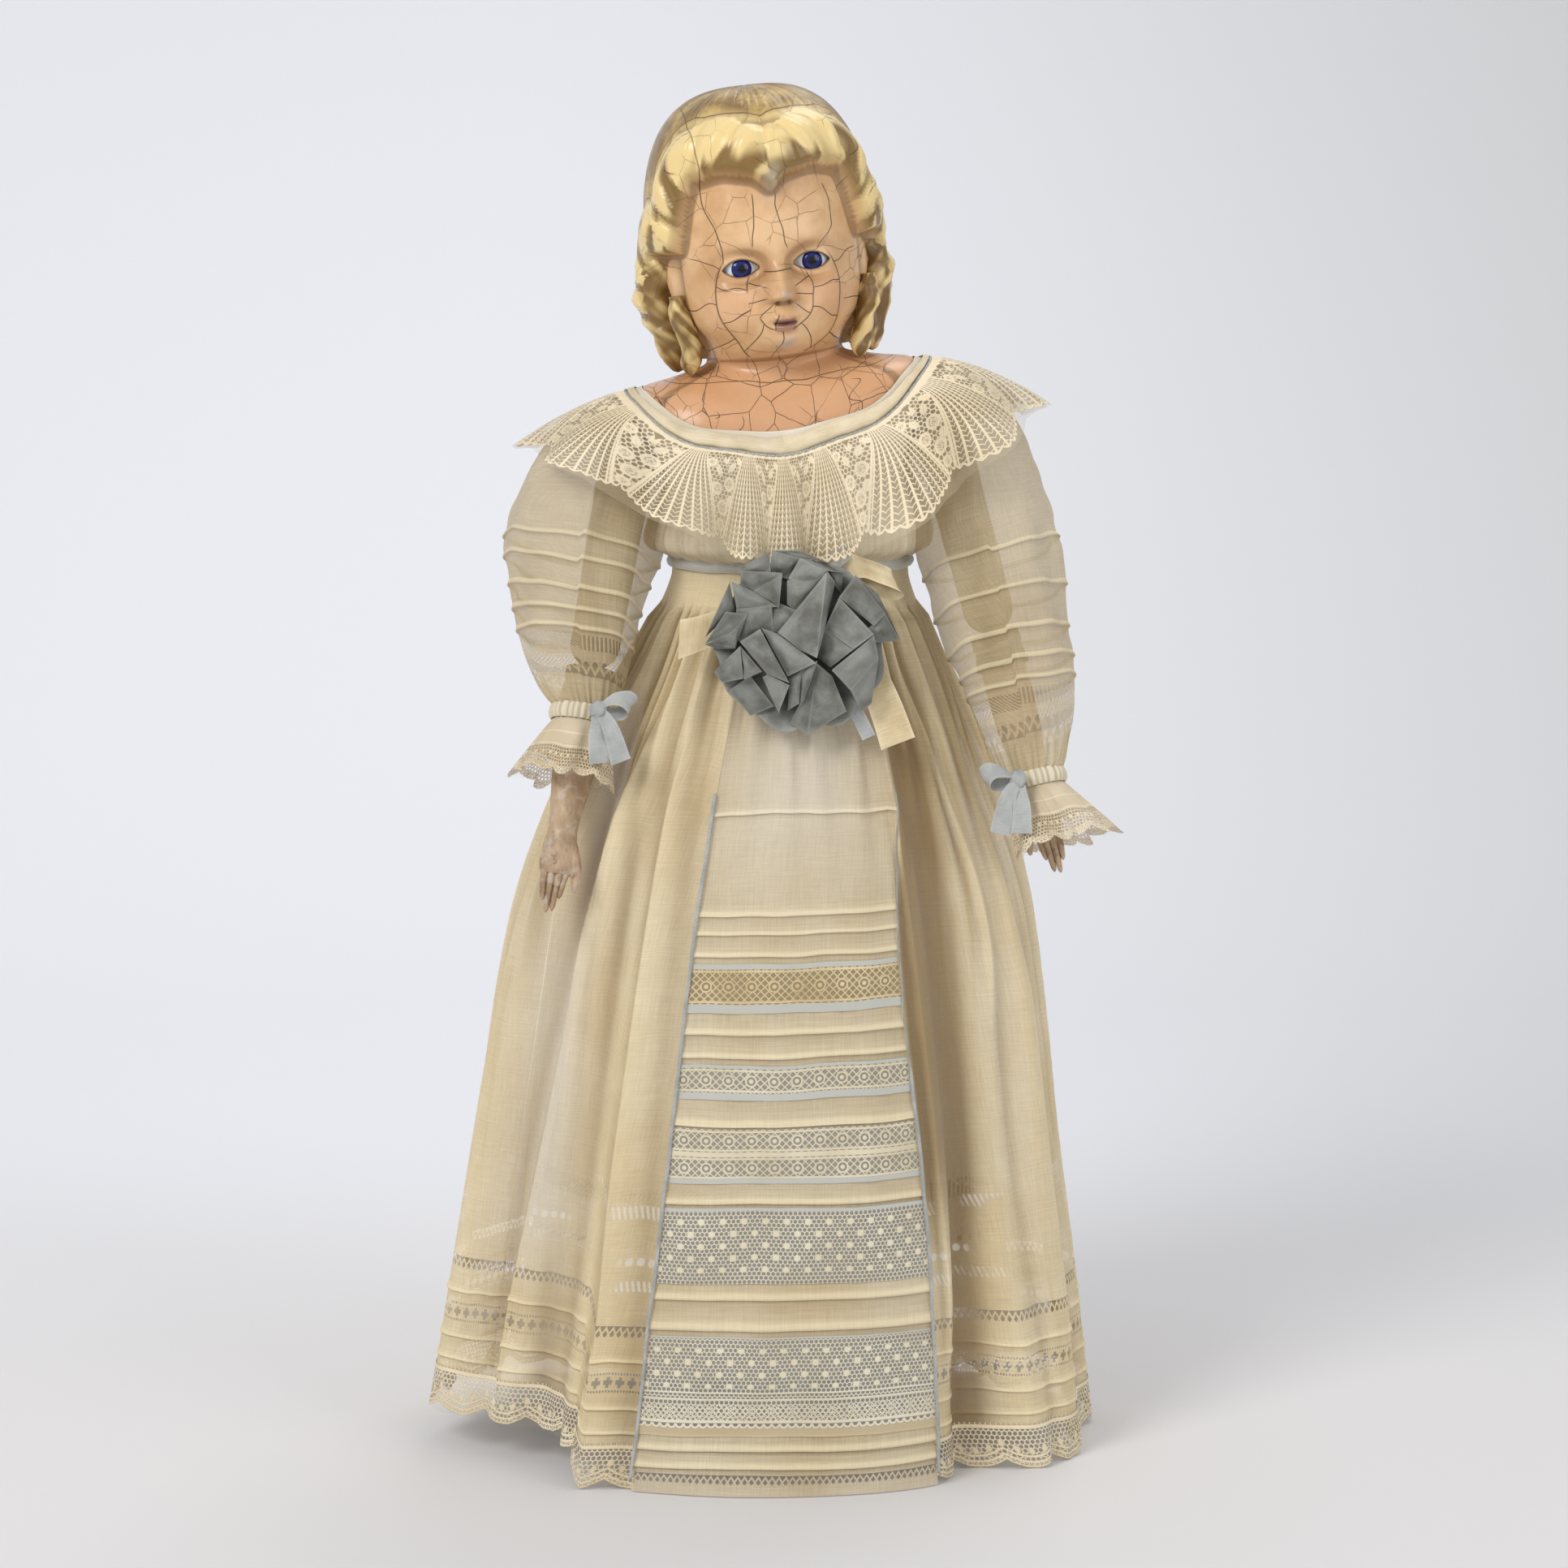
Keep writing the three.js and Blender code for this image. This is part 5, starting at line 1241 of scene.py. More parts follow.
# Long folds of the muslin: place at the hem and at the waist in degrees, breadth and height
LONG_FOLDS = [(-27, -20, 3.5, -2.0), (-45, -34, 4.5, -6.0), (-57, -42, 4.0, 4.0), (-66, -50, 3.0, -3.5),
              (-77, -58, 5.0, 4.0), (-89, -70, 3.5, -4.0), (-99, -82, 4.0, 3.0), (-110, -95, 4.0, -3.5),
              (43, 35, 4.0, -6.5), (54, 42, 3.5, 3.5), (61, 49, 2.5, -3.0), (71, 56, 4.0, 2.0),
              (80, 66, 3.0, -4.0), (92, 76, 5.0, 3.0), (102, 88, 3.0, -3.5), (112, 98, 4.0, 3.0),
              (124, 110, 4.0, -4.0), (136, 125, 4.0, 4.0), (147, 138, 3.5, -4.0), (158, 150, 4.0, 3.5),
              (170, 164, 4.0, -4.0), (181, 178, 4.0, 4.0), (192, 193, 3.5, -4.0), (204, 207, 4.0, 3.5),
              (216, 222, 4.0, -4.0), (228, 238, 4.0, 4.0), (239, 252, 3.5, -3.5)]


def small_folds(deg, z):
    """Gathers at the waist that run out into long narrow folds."""
    t = drop_share(z)
    waves = np.cos(deg * 0.66 + 3.0 * noise(deg / 9, t * 2, 11))
    gathers = waves * bell(t - 0.04, 0.22) * smooth(t, -0.02, 0.05) * 2.8
    fine = np.cos(deg * 1.7 + 4 * noise(deg / 6, t * 3, 12)) * bell(t, 0.14) * 0.9
    soft = 1.6 * noise(deg / 6.5, t * 1.6, 13) * smooth(t, 0.05, 0.3)
    soft = soft + 0.8 * noise(deg / 3.1, t * 2.6 + 4, 14) * smooth(t, 0.1, 0.5) * (1 - 0.4 * t)
    long = 0.0 * t
    for hem, waist, wide, rise in LONG_FOLDS:
        at = mix(waist, hem, t ** 0.8) + 1.4 * noise(t * 3, 0 * t + hem, 15)
        far = ((deg - at + 180) % 360 - 180) / wide
        long = long + rise / (1 + far * far)
    band = waistband(z)
    return (gathers + fine) * (1 - band) + 0.7 * band + soft + long * smooth(t, 0.04, 0.34)


def waistband(z):
    """Share of the plain band above the gathers."""
    return smooth(drop_share(z), 0.046, 0.036)


def spread(deg, z):
    """The gown stands out more on one side, and near the hem on the other."""
    t = drop_share(z)
    arm_room = -8.0 * bell(deg - 72, 20) * bell(z - 300, 42)
    one_side = 7.0 * bell(deg + 92, 42) * smooth(t, 0.08, 0.4)
    return arm_room + one_side + 6.0 * bell(deg - 92, 42) * smooth(t, 0.6, 0.95)


def skirt_point(deg, z, rise):
    """A place on the skirt: an oval that flares as it drops, pushed out by the folds and a rise."""
    t = drop_share(z)
    flare = 0.5 * (1 - np.exp(-(t / 0.2) ** 1.5)) + 0.5 * t
    width = SKIRT_TOP_WIDTH + (SKIRT_HEM_WIDTH - SKIRT_TOP_WIDTH) * flare
    depth = SKIRT_TOP_DEPTH + (SKIRT_HEM_DEPTH - SKIRT_TOP_DEPTH) * flare
    turn = np.radians(deg)
    out = fold_rise(deg, z) + rise + spread((deg + 180) % 360 - 180, z)
    return pack(WAIST_X * (1 - t) + (width + out) * np.sin(turn), -(depth + out) * np.cos(turn), z)


def hem_lift(deg):
    """The breadth on one side is caught up behind the fold beside the panel."""
    return 16 * smooth(deg, -33.0, -36.0) * smooth(deg, -150, -100)


# Tucks and laces of the front panel, by height above the floor
PANEL_TUCKS = [(294.5, 291.2), (254.2, 249.7), (245.3, 241.9), (236.8, 232.7), (204.8, 199.6), (194.5, 189.6),
               (166.8, 160.2), (132.1, 126.6), (91.7, 85.2), (79.8, 72.0), (26.0, 20.2), (18.2, 12.6)]
PANEL_LACES = [(228.9, 209.7), (185.9, 172.7), (158.5, 136.3), (124.1, 93.1), (68.6, 27.4)]
PANEL_DRAWN = (10.6, 5.0)
LACE_LAP = 0.6
LACE_OVER = 0.8


def tuck_form(z, tucks, proud=1.0):
    """Rise of tucks lying downwards, and how close the cloth is there."""
    rise = 0.0 * z
    dense = 0.0 * z
    for top, low in tucks:
        lying = (top - z) / (top - low)
        inside = (lying > 0) & (lying <= 1)
        rise = rise + np.where(inside, proud * lying, 0.0)
        dense = dense + np.where(inside, 0.15 + 0.85 * smooth(lying, 0.42, 0.6), 0.0)
    return rise, dense


def under_tucks(z, tucks):
    """Shade on the cloth just below the edge of each tuck."""
    under = np.zeros_like(z)
    for _, low in tucks:
        under = np.maximum(under, np.where(z < low, bell(z - low, 1.3), 0.0))
    return under


def tuck_rows(low, high, tucks, coarse=3.2):
    """Heights for the rows of a tucked breadth: close at every tuck, wider between them."""
    rows = list(np.arange(low, high, coarse)) + [high]
    for top, bottom in tucks:
        rows += [top + 0.05, top - 0.01, bottom + 0.02, bottom - 0.25, bottom - 0.9]
        rows += list(np.linspace(bottom + 0.02, top, 7)[1:-1])
    return np.unique(np.round(np.clip(rows, low, high), 3))[::-1]


def panel_point(s, z, rise):
    """A place on the front panel by its share across, from the right seam to the left one."""
    deg = mix(seam_right(z), seam_left(z), s)
    calm = 0.35 + 0.65 * smooth(z, 250, 340)
    return skirt_point(deg, z, rise + small_folds(deg, z) * calm)


def panel_bend(s, z):
    """How far the rows across the panel stray from level."""
    stray = 1.1 * noise(s * 2.7, z / 60, 31) + 0.35 * noise(s * 8, z / 26, 32)
    return stray * smooth(z, 345, 290) * smooth(z, 2, 14)


def panel_width(z):
    """Width of the panel at each height, measured along its folds."""
    row = panel_point(np.linspace(0, 1, 40)[None, :], np.asarray(z, float)[:, None], 0.0)
    return lengths(row, 1)[:, -1]


def build_panel(looks):
    """Tucked front panel with openings for its five bands of lace, then the laces and the seam cords."""
    rows = tuck_rows(PANEL_HEM, BAND_TOP, PANEL_TUCKS + PANEL_LACES)
    share = np.linspace(0, 1, 141)
    z, s = np.meshgrid(rows, share, indexing="ij")
    rise, dense = tuck_form(z, PANEL_TUCKS)
    gathered = smooth(z, 300, 385)
    points = panel_point(s, z + panel_bend(s, z), rise + 0.2)
    across = (s - 0.5) * panel_width(rows)[:, None]
    uv = pair(across, z)
    middle = (rows[:-1] + rows[1:]) / 2
    keep = np.ones((len(rows) - 1, len(share) - 1), bool)
    for top, low in PANEL_LACES:
        keep[(middle < top - LACE_LAP) & (middle > low + LACE_LAP)] = False
    close = dense + 0.3 * gathered + 0.5 * waistband(z)
    glow = 0.7 * bell(z - 312, 45) * bell(s - 0.5, 0.42) + 0.06
    values = {"dense": np.clip(close, 0, 1), "shade": under_tucks(z, PANEL_TUCKS) * 0.4, "glow": glow}
    piece = grid_piece("panel_cloth", points, looks["panel"], uv, keep=keep, values=values)
    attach(piece, "torso")
    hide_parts("front_panel")
    for n, (top, low) in enumerate(PANEL_LACES):
        rows = np.linspace(top + LACE_OVER, low - LACE_OVER, max(8, int((top - low) / 1.6)))
        z, s = np.meshgrid(rows, np.linspace(0.004, 0.996, 111), indexing="ij")
        ease = 0.35 * noise(s * 14, z / 6, 40 + n)
        points = panel_point(s, z + panel_bend(s, z), 0.75 + ease)
        across = (s - 0.5) * panel_width(rows)[:, None]
        uv = pair(across, z - low)
        lace = grid_piece(f"insertion_{n + 1}", points, looks[f"insertion_{n + 1}"], uv)
        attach(lace, "torso")
        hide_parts(f"lace_insertion_{n + 1}")
    cut_sheet(piece)
    build_pipings(looks)


def build_pipings(looks):
    """Blue cords along both seams of the panel, the left one thinner in its upper part."""
    z = np.linspace(300, 6, 240)
    for name, deg in (("right", seam_right(z)), ("left", seam_left(z))):
        path = skirt_point(deg, z, 2.0 + 0.5 * small_folds(deg, z) + 0.25 * noise(z / 7, 0 * z, 50))
        path[:, 0] += 0.4 * noise(z / 13, 0 * z, 51)
        thick = mix(0.75, 0.35, smooth(z, 175, 190)) if name == "left" else 0.75 + 0 * z
        grid = tube_grid(path, thick, 10, up=(0.3, -1, 0))
        run = lengths(path[:, None], 0)
        uv = pair(np.linspace(0, 6, 11)[None, :], run)
        piece = grid_piece(f"seam_cord_{name}", grid, looks["cord"], uv, closed=True,
                           caps=BOTH_ENDS)
        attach(piece, "torso")
        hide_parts(f"piping_{name}")


# Side and back breadths: rows by their distance above the hem
SIDE_TUCKS = [(58.5, 55.6), (38.0, 35.0), (27.5, 24.4)]
SIDE_ZIGZAG = (66.5, 71.3)
SIDE_CROSS = (42.4, 51.0)


def build_breadths(looks):
    """Breadths of the two sides and the back, each between two seams."""
    breadths = (("right", SEAM_BACK_RIGHT, seam_right, 230), ("left", seam_left, SEAM_BACK_LEFT, 200),
                ("back", lambda up: SEAM_BACK_LEFT + 0 * up, 360 + SEAM_BACK_RIGHT, 240))
    for name, start, end, count in breadths:
        rows = tuck_rows(HEM_LACE - 1.0, BAND_TOP - 0.2, SIDE_TUCKS, 3.6)
        make_breadth(name, start, end, count, rows, looks)


def breadth_grid(start, end, rows, count):
    """Degrees and heights of a breadth: even steps from seam to seam, lifted where the hem is caught up."""
    share = np.linspace(0, 1, count)[None, :]
    up = rows[:, None]
    first = start(up) if callable(start) else start + 0 * up
    last = end(up) if callable(end) else end + 0 * up
    deg = first + (last - first) * share
    z = up + hem_lift((deg + 180) % 360 - 180) * (1 - smooth(up, 60, 260)) + 0.15
    return deg, np.minimum(z, BAND_TOP)


def evened(grid, reach_cols):
    """Each row smoothed over its neighbours on both sides."""
    padded = np.pad(grid, ((0, 0), (reach_cols, reach_cols)), mode="edge")
    total = sum(padded[:, k:k + grid.shape[1]] for k in range(2 * reach_cols + 1))
    return total / (2 * reach_cols + 1)


def make_breadth(name, start, end, count, rows, looks):
    """One tucked breadth with its hem lace; hollows of the folds get painted shade, and their crests are
    closer and painted lighter as highlight.
    """
    deg, z = breadth_grid(start, end, rows, count)
    up = rows[:, None] + 0 * deg
    z = z + (0.9 * noise(deg / 9, up / 60, 60) + 0.4 * noise(deg / 3, up / 26, 61)) * smooth(up, 21, 32)
    rise, dense = tuck_form(up, SIDE_TUCKS, 0.9)
    seam = 0.9 * (bell(deg - deg[:, :1], 0.8) + bell(deg - deg[:, -1:], 0.8))
    points = skirt_point(deg, z, rise + small_folds(deg, z) + seam * 0.5)
    run = lengths(points, 1)
    middle = run[:, count // 2][:, None]
    uv = pair(run - middle, rows[:, None])
    relief = fold_rise(deg, z) + small_folds(deg, z)
    hollow = evened(relief, 30) - relief
    pleats = np.clip((evened(relief, 8) - relief) / 1.6, 0, 1) * smooth(z, 200, 320)
    from_seam = deg - seam_left(z)
    beside = smooth(from_seam, 0, 2) * smooth(from_seam, 22, 9) * smooth(z, 90, 150) * smooth(z, 352, 310)
    glow = 0.75 * bell(deg + 55, 9) * smooth(z, 70, 120) * smooth(z, 262, 215)
    crease = np.clip((evened(relief, 6) - relief) / 1.5, 0, 1) * smooth(z, 330, 280)
    # Painted shade in the hollows and creases of the folds, and in the deep fold beside the left seam of the
    # panel.
    painted_shade = np.clip(hollow / 9, 0, 0.75) * (1 - glow) + 0.35 * crease + 0.9 * beside
    # Painted shadow cast by the left hand and sleeve on the skirt.
    painted_shade = painted_shade + 0.7 * bell(deg + 66, 3) * bell(z - 265, 45)
    # Crests of the folds are closer and paler: partly denser cloth seen edge-on, partly painted highlight.
    close = dense * 0.8 + 0.4 * smooth(z, 290, 385) + 0.5 * np.clip(-hollow / 4, 0, 1) + 0.6 * waistband(z)
    shade = under_tucks(up, SIDE_TUCKS) * 0.3 + painted_shade + 0.35 * pleats
    shade = shade + 0.4 * bell(drop_share(z) - 0.047, 0.004)
    values = {"dense": np.clip(close, 0, 1), "shade": np.clip(shade, 0, 1), "glow": glow}
    piece = grid_piece(f"breadth_{name}", points, looks["breadth"], uv, values=values)
    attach(piece, "torso")
    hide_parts(f"skirt_{name}")
    hem_rows = np.linspace(HEM_LACE + 0.6, 0.0, 17)
    deg, z = breadth_grid(start, end, hem_rows, count * 2)
    flutter = 0.9 * noise(deg / 3.2, z / 14, 70) + 0.8 * np.cos(deg * 1.1)
    flutter = flutter * smooth(hem_rows, HEM_LACE, 4)[:, None]
    points = skirt_point(deg, z, small_folds(deg, z) + 0.45 + flutter)
    run = lengths(points, 1)
    uv = pair(run - run[:, count][:, None], hem_rows[:, None])
    lace = grid_piece(f"hem_edging_{name}", points, looks["hem_lace"], uv)
    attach(lace, "torso")
    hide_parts(f"hem_lace_{name}")
    cut_sheet(piece)


def hem_pattern(look, u, v):
    """Coarse net edging: wide scallops with a closed border, arches of sprigs and a straight heading."""
    scallop = 25.0
    x = u.repeat(scallop)
    edge = (x * (math.pi / scallop)).calc("COSINE") * -4.2 + 4.3
    inside = (v - edge).above(0.0, 0.2)
    border = (v - edge - 1.7).near(1.5, 0.35)
    picots = reach(u.repeat(1.7), v - edge - 1.5).within(0.3, 0.75, 0.12) * -0.7 + 1.0
    arch = (v - edge - 5.2).near(0.55, 0.3)
    sprig = reach(u.repeat(6.25), (v - edge - 7.6) * 0.8).below(1.4, 0.45)
    heading = (v - 18.8).near(0.9, 0.3)
    net = hex_net(look, u, v, 2.3, 0.26) * 0.9
    return net.most(border * picots).most(arch).most(sprig * 0.9).most(heading) * inside


PETTICOAT_TOP_Z = 386.0
PETTICOAT_HEM_Z = 46.0
PETTICOAT_TUCKS = [(108, 104), (101, 97), (94, 90)]


def build_petticoat(looks):
    """White petticoat: an oval cone with soft folds, three tucks and gathers at the waist."""
    plain = np.linspace(PETTICOAT_HEM_Z, PETTICOAT_TOP_Z, 90)
    tucked = np.linspace(PETTICOAT_HEM_Z, 110, 60)
    rows = np.unique(np.concatenate([plain, tucked]))[::-1]
    deg = np.arange(260) * 360 / 260
    z, turn = np.meshgrid(rows, np.radians(deg), indexing="ij")
    t = (PETTICOAT_TOP_Z - z) / (PETTICOAT_TOP_Z - PETTICOAT_HEM_Z)
    width = mix(48.6, 116, t ** 0.9)
    depth = mix(36.0, 87, t ** 0.9)
    gather = (2.5 * np.cos(6 * turn) + 1.6 * noise(turn * 6, t * 2, 80) * np.sin(turn / 2) ** 2) * t
    rise, dense = tuck_form(z, PETTICOAT_TUCKS, 0.8)
    out = gather + rise + 0.8 * np.cos(40 * turn) * bell(t, 0.15)
    points = pack(WAIST_X * (1 - t) * 0.98 + (width + out) * np.sin(turn), -(depth + out) * np.cos(turn), z)
    uv = closed_uv(points, rows)
    piece = grid_piece("petticoat_cloth", points, looks["linen"], uv, closed=True,
                       values={"dense": dense, "shade": np.clip(-gather / 6, 0, 1)})
    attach(piece, "torso")
    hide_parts("petticoat")
    cut_sheet(piece)


# Bodice, collar and sleeves

def ring_rows(rows, at):
    """Rings given as arrays of places, read smoothly between one and the next."""
    table = np.stack(rows)
    flat = along(table.reshape(len(rows), -1), at)
    return flat.reshape(len(at), *table.shape[1:])


def torso_ring(a, front, side, width, fore, back, power=2.3):
    """A ring of the body: a rounded outline whose height goes from front to side by the squared sine."""
    x, y = section(a, width, fore, back, power)
    return np.stack([x, y, front + (side - front) * np.sin(a) ** 2 + 0 * x], axis=-1)


def plate_ring(a, at, off):
    """A ring round the shoulder plate, some way off its surface."""
    return np.stack(np.broadcast_arrays(*plate_local(np.full(a.shape, at), a, off)), axis=-1)


def pushed(ring, out):
    """Moves places of the spine's frame outwards from the spine."""
    far = np.hypot(ring[..., 0], ring[..., 1])
    scale = (far + out) / far
    return np.stack([ring[..., 0] * scale, ring[..., 1] * scale, ring[..., 2]], axis=-1)


def to_body(ring):
    """Rings from the spine's frame into the doll's."""
    return body_point(ring[..., 0], ring[..., 1], ring[..., 2])


def closed_uv(points, down):
    """Place on a closed ring of cloth: the run round it and the distance down."""
    run = lengths(np.concatenate([points, points[:, :1]], axis=1), 1)
    return pair(run, down[:, None])


def neckline(a):
    """Step of the shoulder plate along which the gown is cut out: lower in front, higher on one shoulder."""
    turn = (a + math.pi) % (2 * math.pi) - math.pi
    low = 0.42 * smooth(np.abs(turn), 1.5, 0.9) + 0.42 * bell(np.abs(turn) - 0.85, 0.3)
    return NECKLINE + low - 0.3 * bell(turn + 1.45, 0.4)


def build_bodice(looks):
    """Bodice: rings from the neckline to the waist, with fine tucks, gathers and a blouse over the belt."""
    a = circle(360)
    rows = [plate_ring(a, neckline(a), 4.4), plate_ring(a, np.minimum(neckline(a) + 0.6, 4.8), 4.6),
            plate_ring(a, 5.0, 4.8), torso_ring(a, 34, 48, 51.4, 49.5, 49), torso_ring(a, 25, 27, 55, 51, 48),
            torso_ring(a, 13, 13, 57.5, 50, 46), torso_ring(a, 8.6, 8.6, 53, 42.5, 41),
            torso_ring(a, 5.5, 5.5, 50.2, 38.2, 38, 2.0)]
    at = np.concatenate([np.linspace(0, 4, 34)[:-1], np.linspace(4, 7, 40)])
    local = ring_rows(rows, at)
    share = at[:, None] / 7
    turn = a[None, :] + 0 * share
    tucks = np.abs(np.cos(turn * 46)) ** 0.7
    gathers = np.cos(turn * 31 + 3 * noise(turn * 5, share * 3, 90)) * smooth(share, 0.35, 0.75)
    sag = 2.2 * noise(turn * 4, share * 2, 91) * bell(share - 0.72, 0.2)
    sag = sag + 5 * np.sin(turn) ** 4 * bell(share - 0.62, 0.2)
    local = pushed(local, 0.5 * (tucks - 0.5) + 0.8 * gathers + sag)
    points = to_body(local)
    hollow = np.clip(-gathers, 0, 1)
    values = {"dense": 0.35 * tucks + 0.3 * hollow + 0.4 * smooth(share, 0.88, 1.0),
              "shade": 0.22 * hollow * smooth(share, 0.5, 0.8), "glow": 0.35}
    down = lengths(points[:, :1], 0)[:, 0]
    piece = grid_piece("bodice_cloth", points, looks["bodice"], closed_uv(points, down), closed=True,
                       values=values)
    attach(piece, "torso")
    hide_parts("bodice")
    cut_sheet(piece)
    build_chemise(looks, a)
    build_neck(looks, a)


def build_chemise(looks, a):
    """White chemise, seen as a narrow edge inside the neckline."""
    shown = 0.2 + 0.14 * (np.cos(a) > 0) * bell(np.sin(a), 0.45)
    rows = [plate_ring(a, neckline(a) - shown, 1.6), plate_ring(a, neckline(a) + 0.4, 2.8),
            plate_ring(a, 5.0, 2.9), torso_ring(a, 33, 46, 49.5, 46.2, 46),
            torso_ring(a, 12, 12, 49.8, 39, 38.5), torso_ring(a, 6, 6, 48.6, 36.8, 36.6, 2.0)]
    at = np.linspace(0, 5, 46)
    local = ring_rows(rows, at)
    folds = 0.5 * noise(a[None, :] * 9, at[:, None] * 1.5, 95)
    points = to_body(pushed(local, folds))
    down = lengths(points[:, :1], 0)[:, 0]
    piece = grid_piece("chemise_cloth", points, looks["linen"], closed_uv(points, down + 200), closed=True,
                       values={"dense": 0.4, "shade": 0.0})
    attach(piece, "torso")
    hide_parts("chemise")
    cut_sheet(piece)


def build_neck(looks, a):
    """Neck binding with a line of chain stitch along its lower edge."""
    across = np.linspace(0, 1, 15)
    rings = []
    for w in across:
        ring = plate_ring(a, neckline(a) - 0.2 + 0.44 * w, 5.0 + 1.7 * math.sin(math.pi * w) ** 0.6)
        ring[..., 2] += 0.4 * noise(a * 12, 0 * a + w * 2, 96)
        rings.append(ring)
    points = to_body(np.stack(rings))
    down = lengths(points[:, :1], 0)[:, 0]
    binding = grid_piece("neck_band", points, looks["binding"], closed_uv(points, down), closed=True,
                         values={"dense": 0.6, "shade": 0.0})
    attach(binding, "torso")
    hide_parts("neck_binding")
    turn = circle(720)
    path = to_body(plate_ring(turn, neckline(turn) + 0.25, 6.9))
    bead = 0.3 + 0.25 * np.abs(np.cos(turn * 90))
    grid = tube_grid(np.concatenate([path, path[:1]]), np.concatenate([bead, bead[:1]]), 8)
    stitch = grid_piece("neck_chain_stitch", grid, looks["stitch"], closed=True)
    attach(stitch, "torso")
    cut_sheet(binding)


COLLAR_DEEP = 50.0
COLLAR_WAVES = 17


def build_collar(looks):
    """Lace collar in two halves: it falls from the neckline in waves, further out over the shoulders."""
    a = np.arange(817) * 2 * math.pi / 816
    w = np.linspace(0, 1, 46)[:, None]
    start = plate_ring(a, neckline(a) + 0.26, 6.0)
    side = np.sin(a) ** 2
    front = np.cos(a) > 0
    drop = mix(np.where(front, 50.0, 40.0), np.where(np.sin(a) > 0, 27.0, 19.0), side)
    drop = drop - 6.0 * front * bell(np.abs(np.sin(a)) - 0.74, 0.2)
    out = mix(np.where(front, 10.0, 8.0), 44.0, side)
    phase = COLLAR_WAVES * a + 1.1 * np.sin(3 * a) + 0.5 * np.sin(5 * a + 1)
    ruffle = np.cos(phase) + 0.3 * np.cos(2 * phase + 0.8) + 0.5 * noise(7 * np.cos(a), 7 * np.sin(a), 100)
    size = 3.6 + 1.0 * noise(3 * np.cos(a), 3 * np.sin(a), 101)
    far = np.hypot(start[..., 0], start[..., 1])
    way = np.stack([start[..., 0] / far, start[..., 1] / far], axis=-1)
    heading = 0.5 * np.cos(5 * phase) * bell(w - 0.1, 0.14)
    reach_out = out * w ** 0.8 + size * ruffle * w ** 1.1 + 2.0 * w + 0.4 + heading
    sway = 2.6 * np.sin(phase + 0.6) * w
    x = start[None, :, 0] + way[None, :, 0] * reach_out - way[None, :, 1] * sway
    y = start[None, :, 1] + way[None, :, 1] * reach_out + way[None, :, 0] * sway
    flutter = 1.4 * np.sin(phase + 1.3) + 1.5 * noise(5 * np.cos(a), 5 * np.sin(a), 102)
    h = start[None, :, 2] - drop * w ** 1.35 + flutter * w ** 2 - 0.8 * w
    points = body_point(x, y, h)
    u = phase / (2 * math.pi) * bpy.context.scene.doll.collar_repeat / MM
    uv = pair(u[None, :], w * COLLAR_DEEP)
    shade = np.clip(-ruffle, 0, 1)[None, :] * smooth(w, 0, 0.4)
    for name, first, last in (("left", 0, 409), ("right", 408, 817)):
        part = slice(first, last)
        half = grid_piece(f"collar_lace_{name}", points[:, part], looks["collar"], uv[:, part],
                          values={"shade": shade[:, part]})
        side = ARMS[name]["side"]
        line = in_frame(body_point(np.array([38.0, 92.0]) * side, np.zeros(2), np.full(2, SHOULDER_H)))
        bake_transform(half)
        if name == "left":
            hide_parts("lace_collar")
        cut_sheet(half)


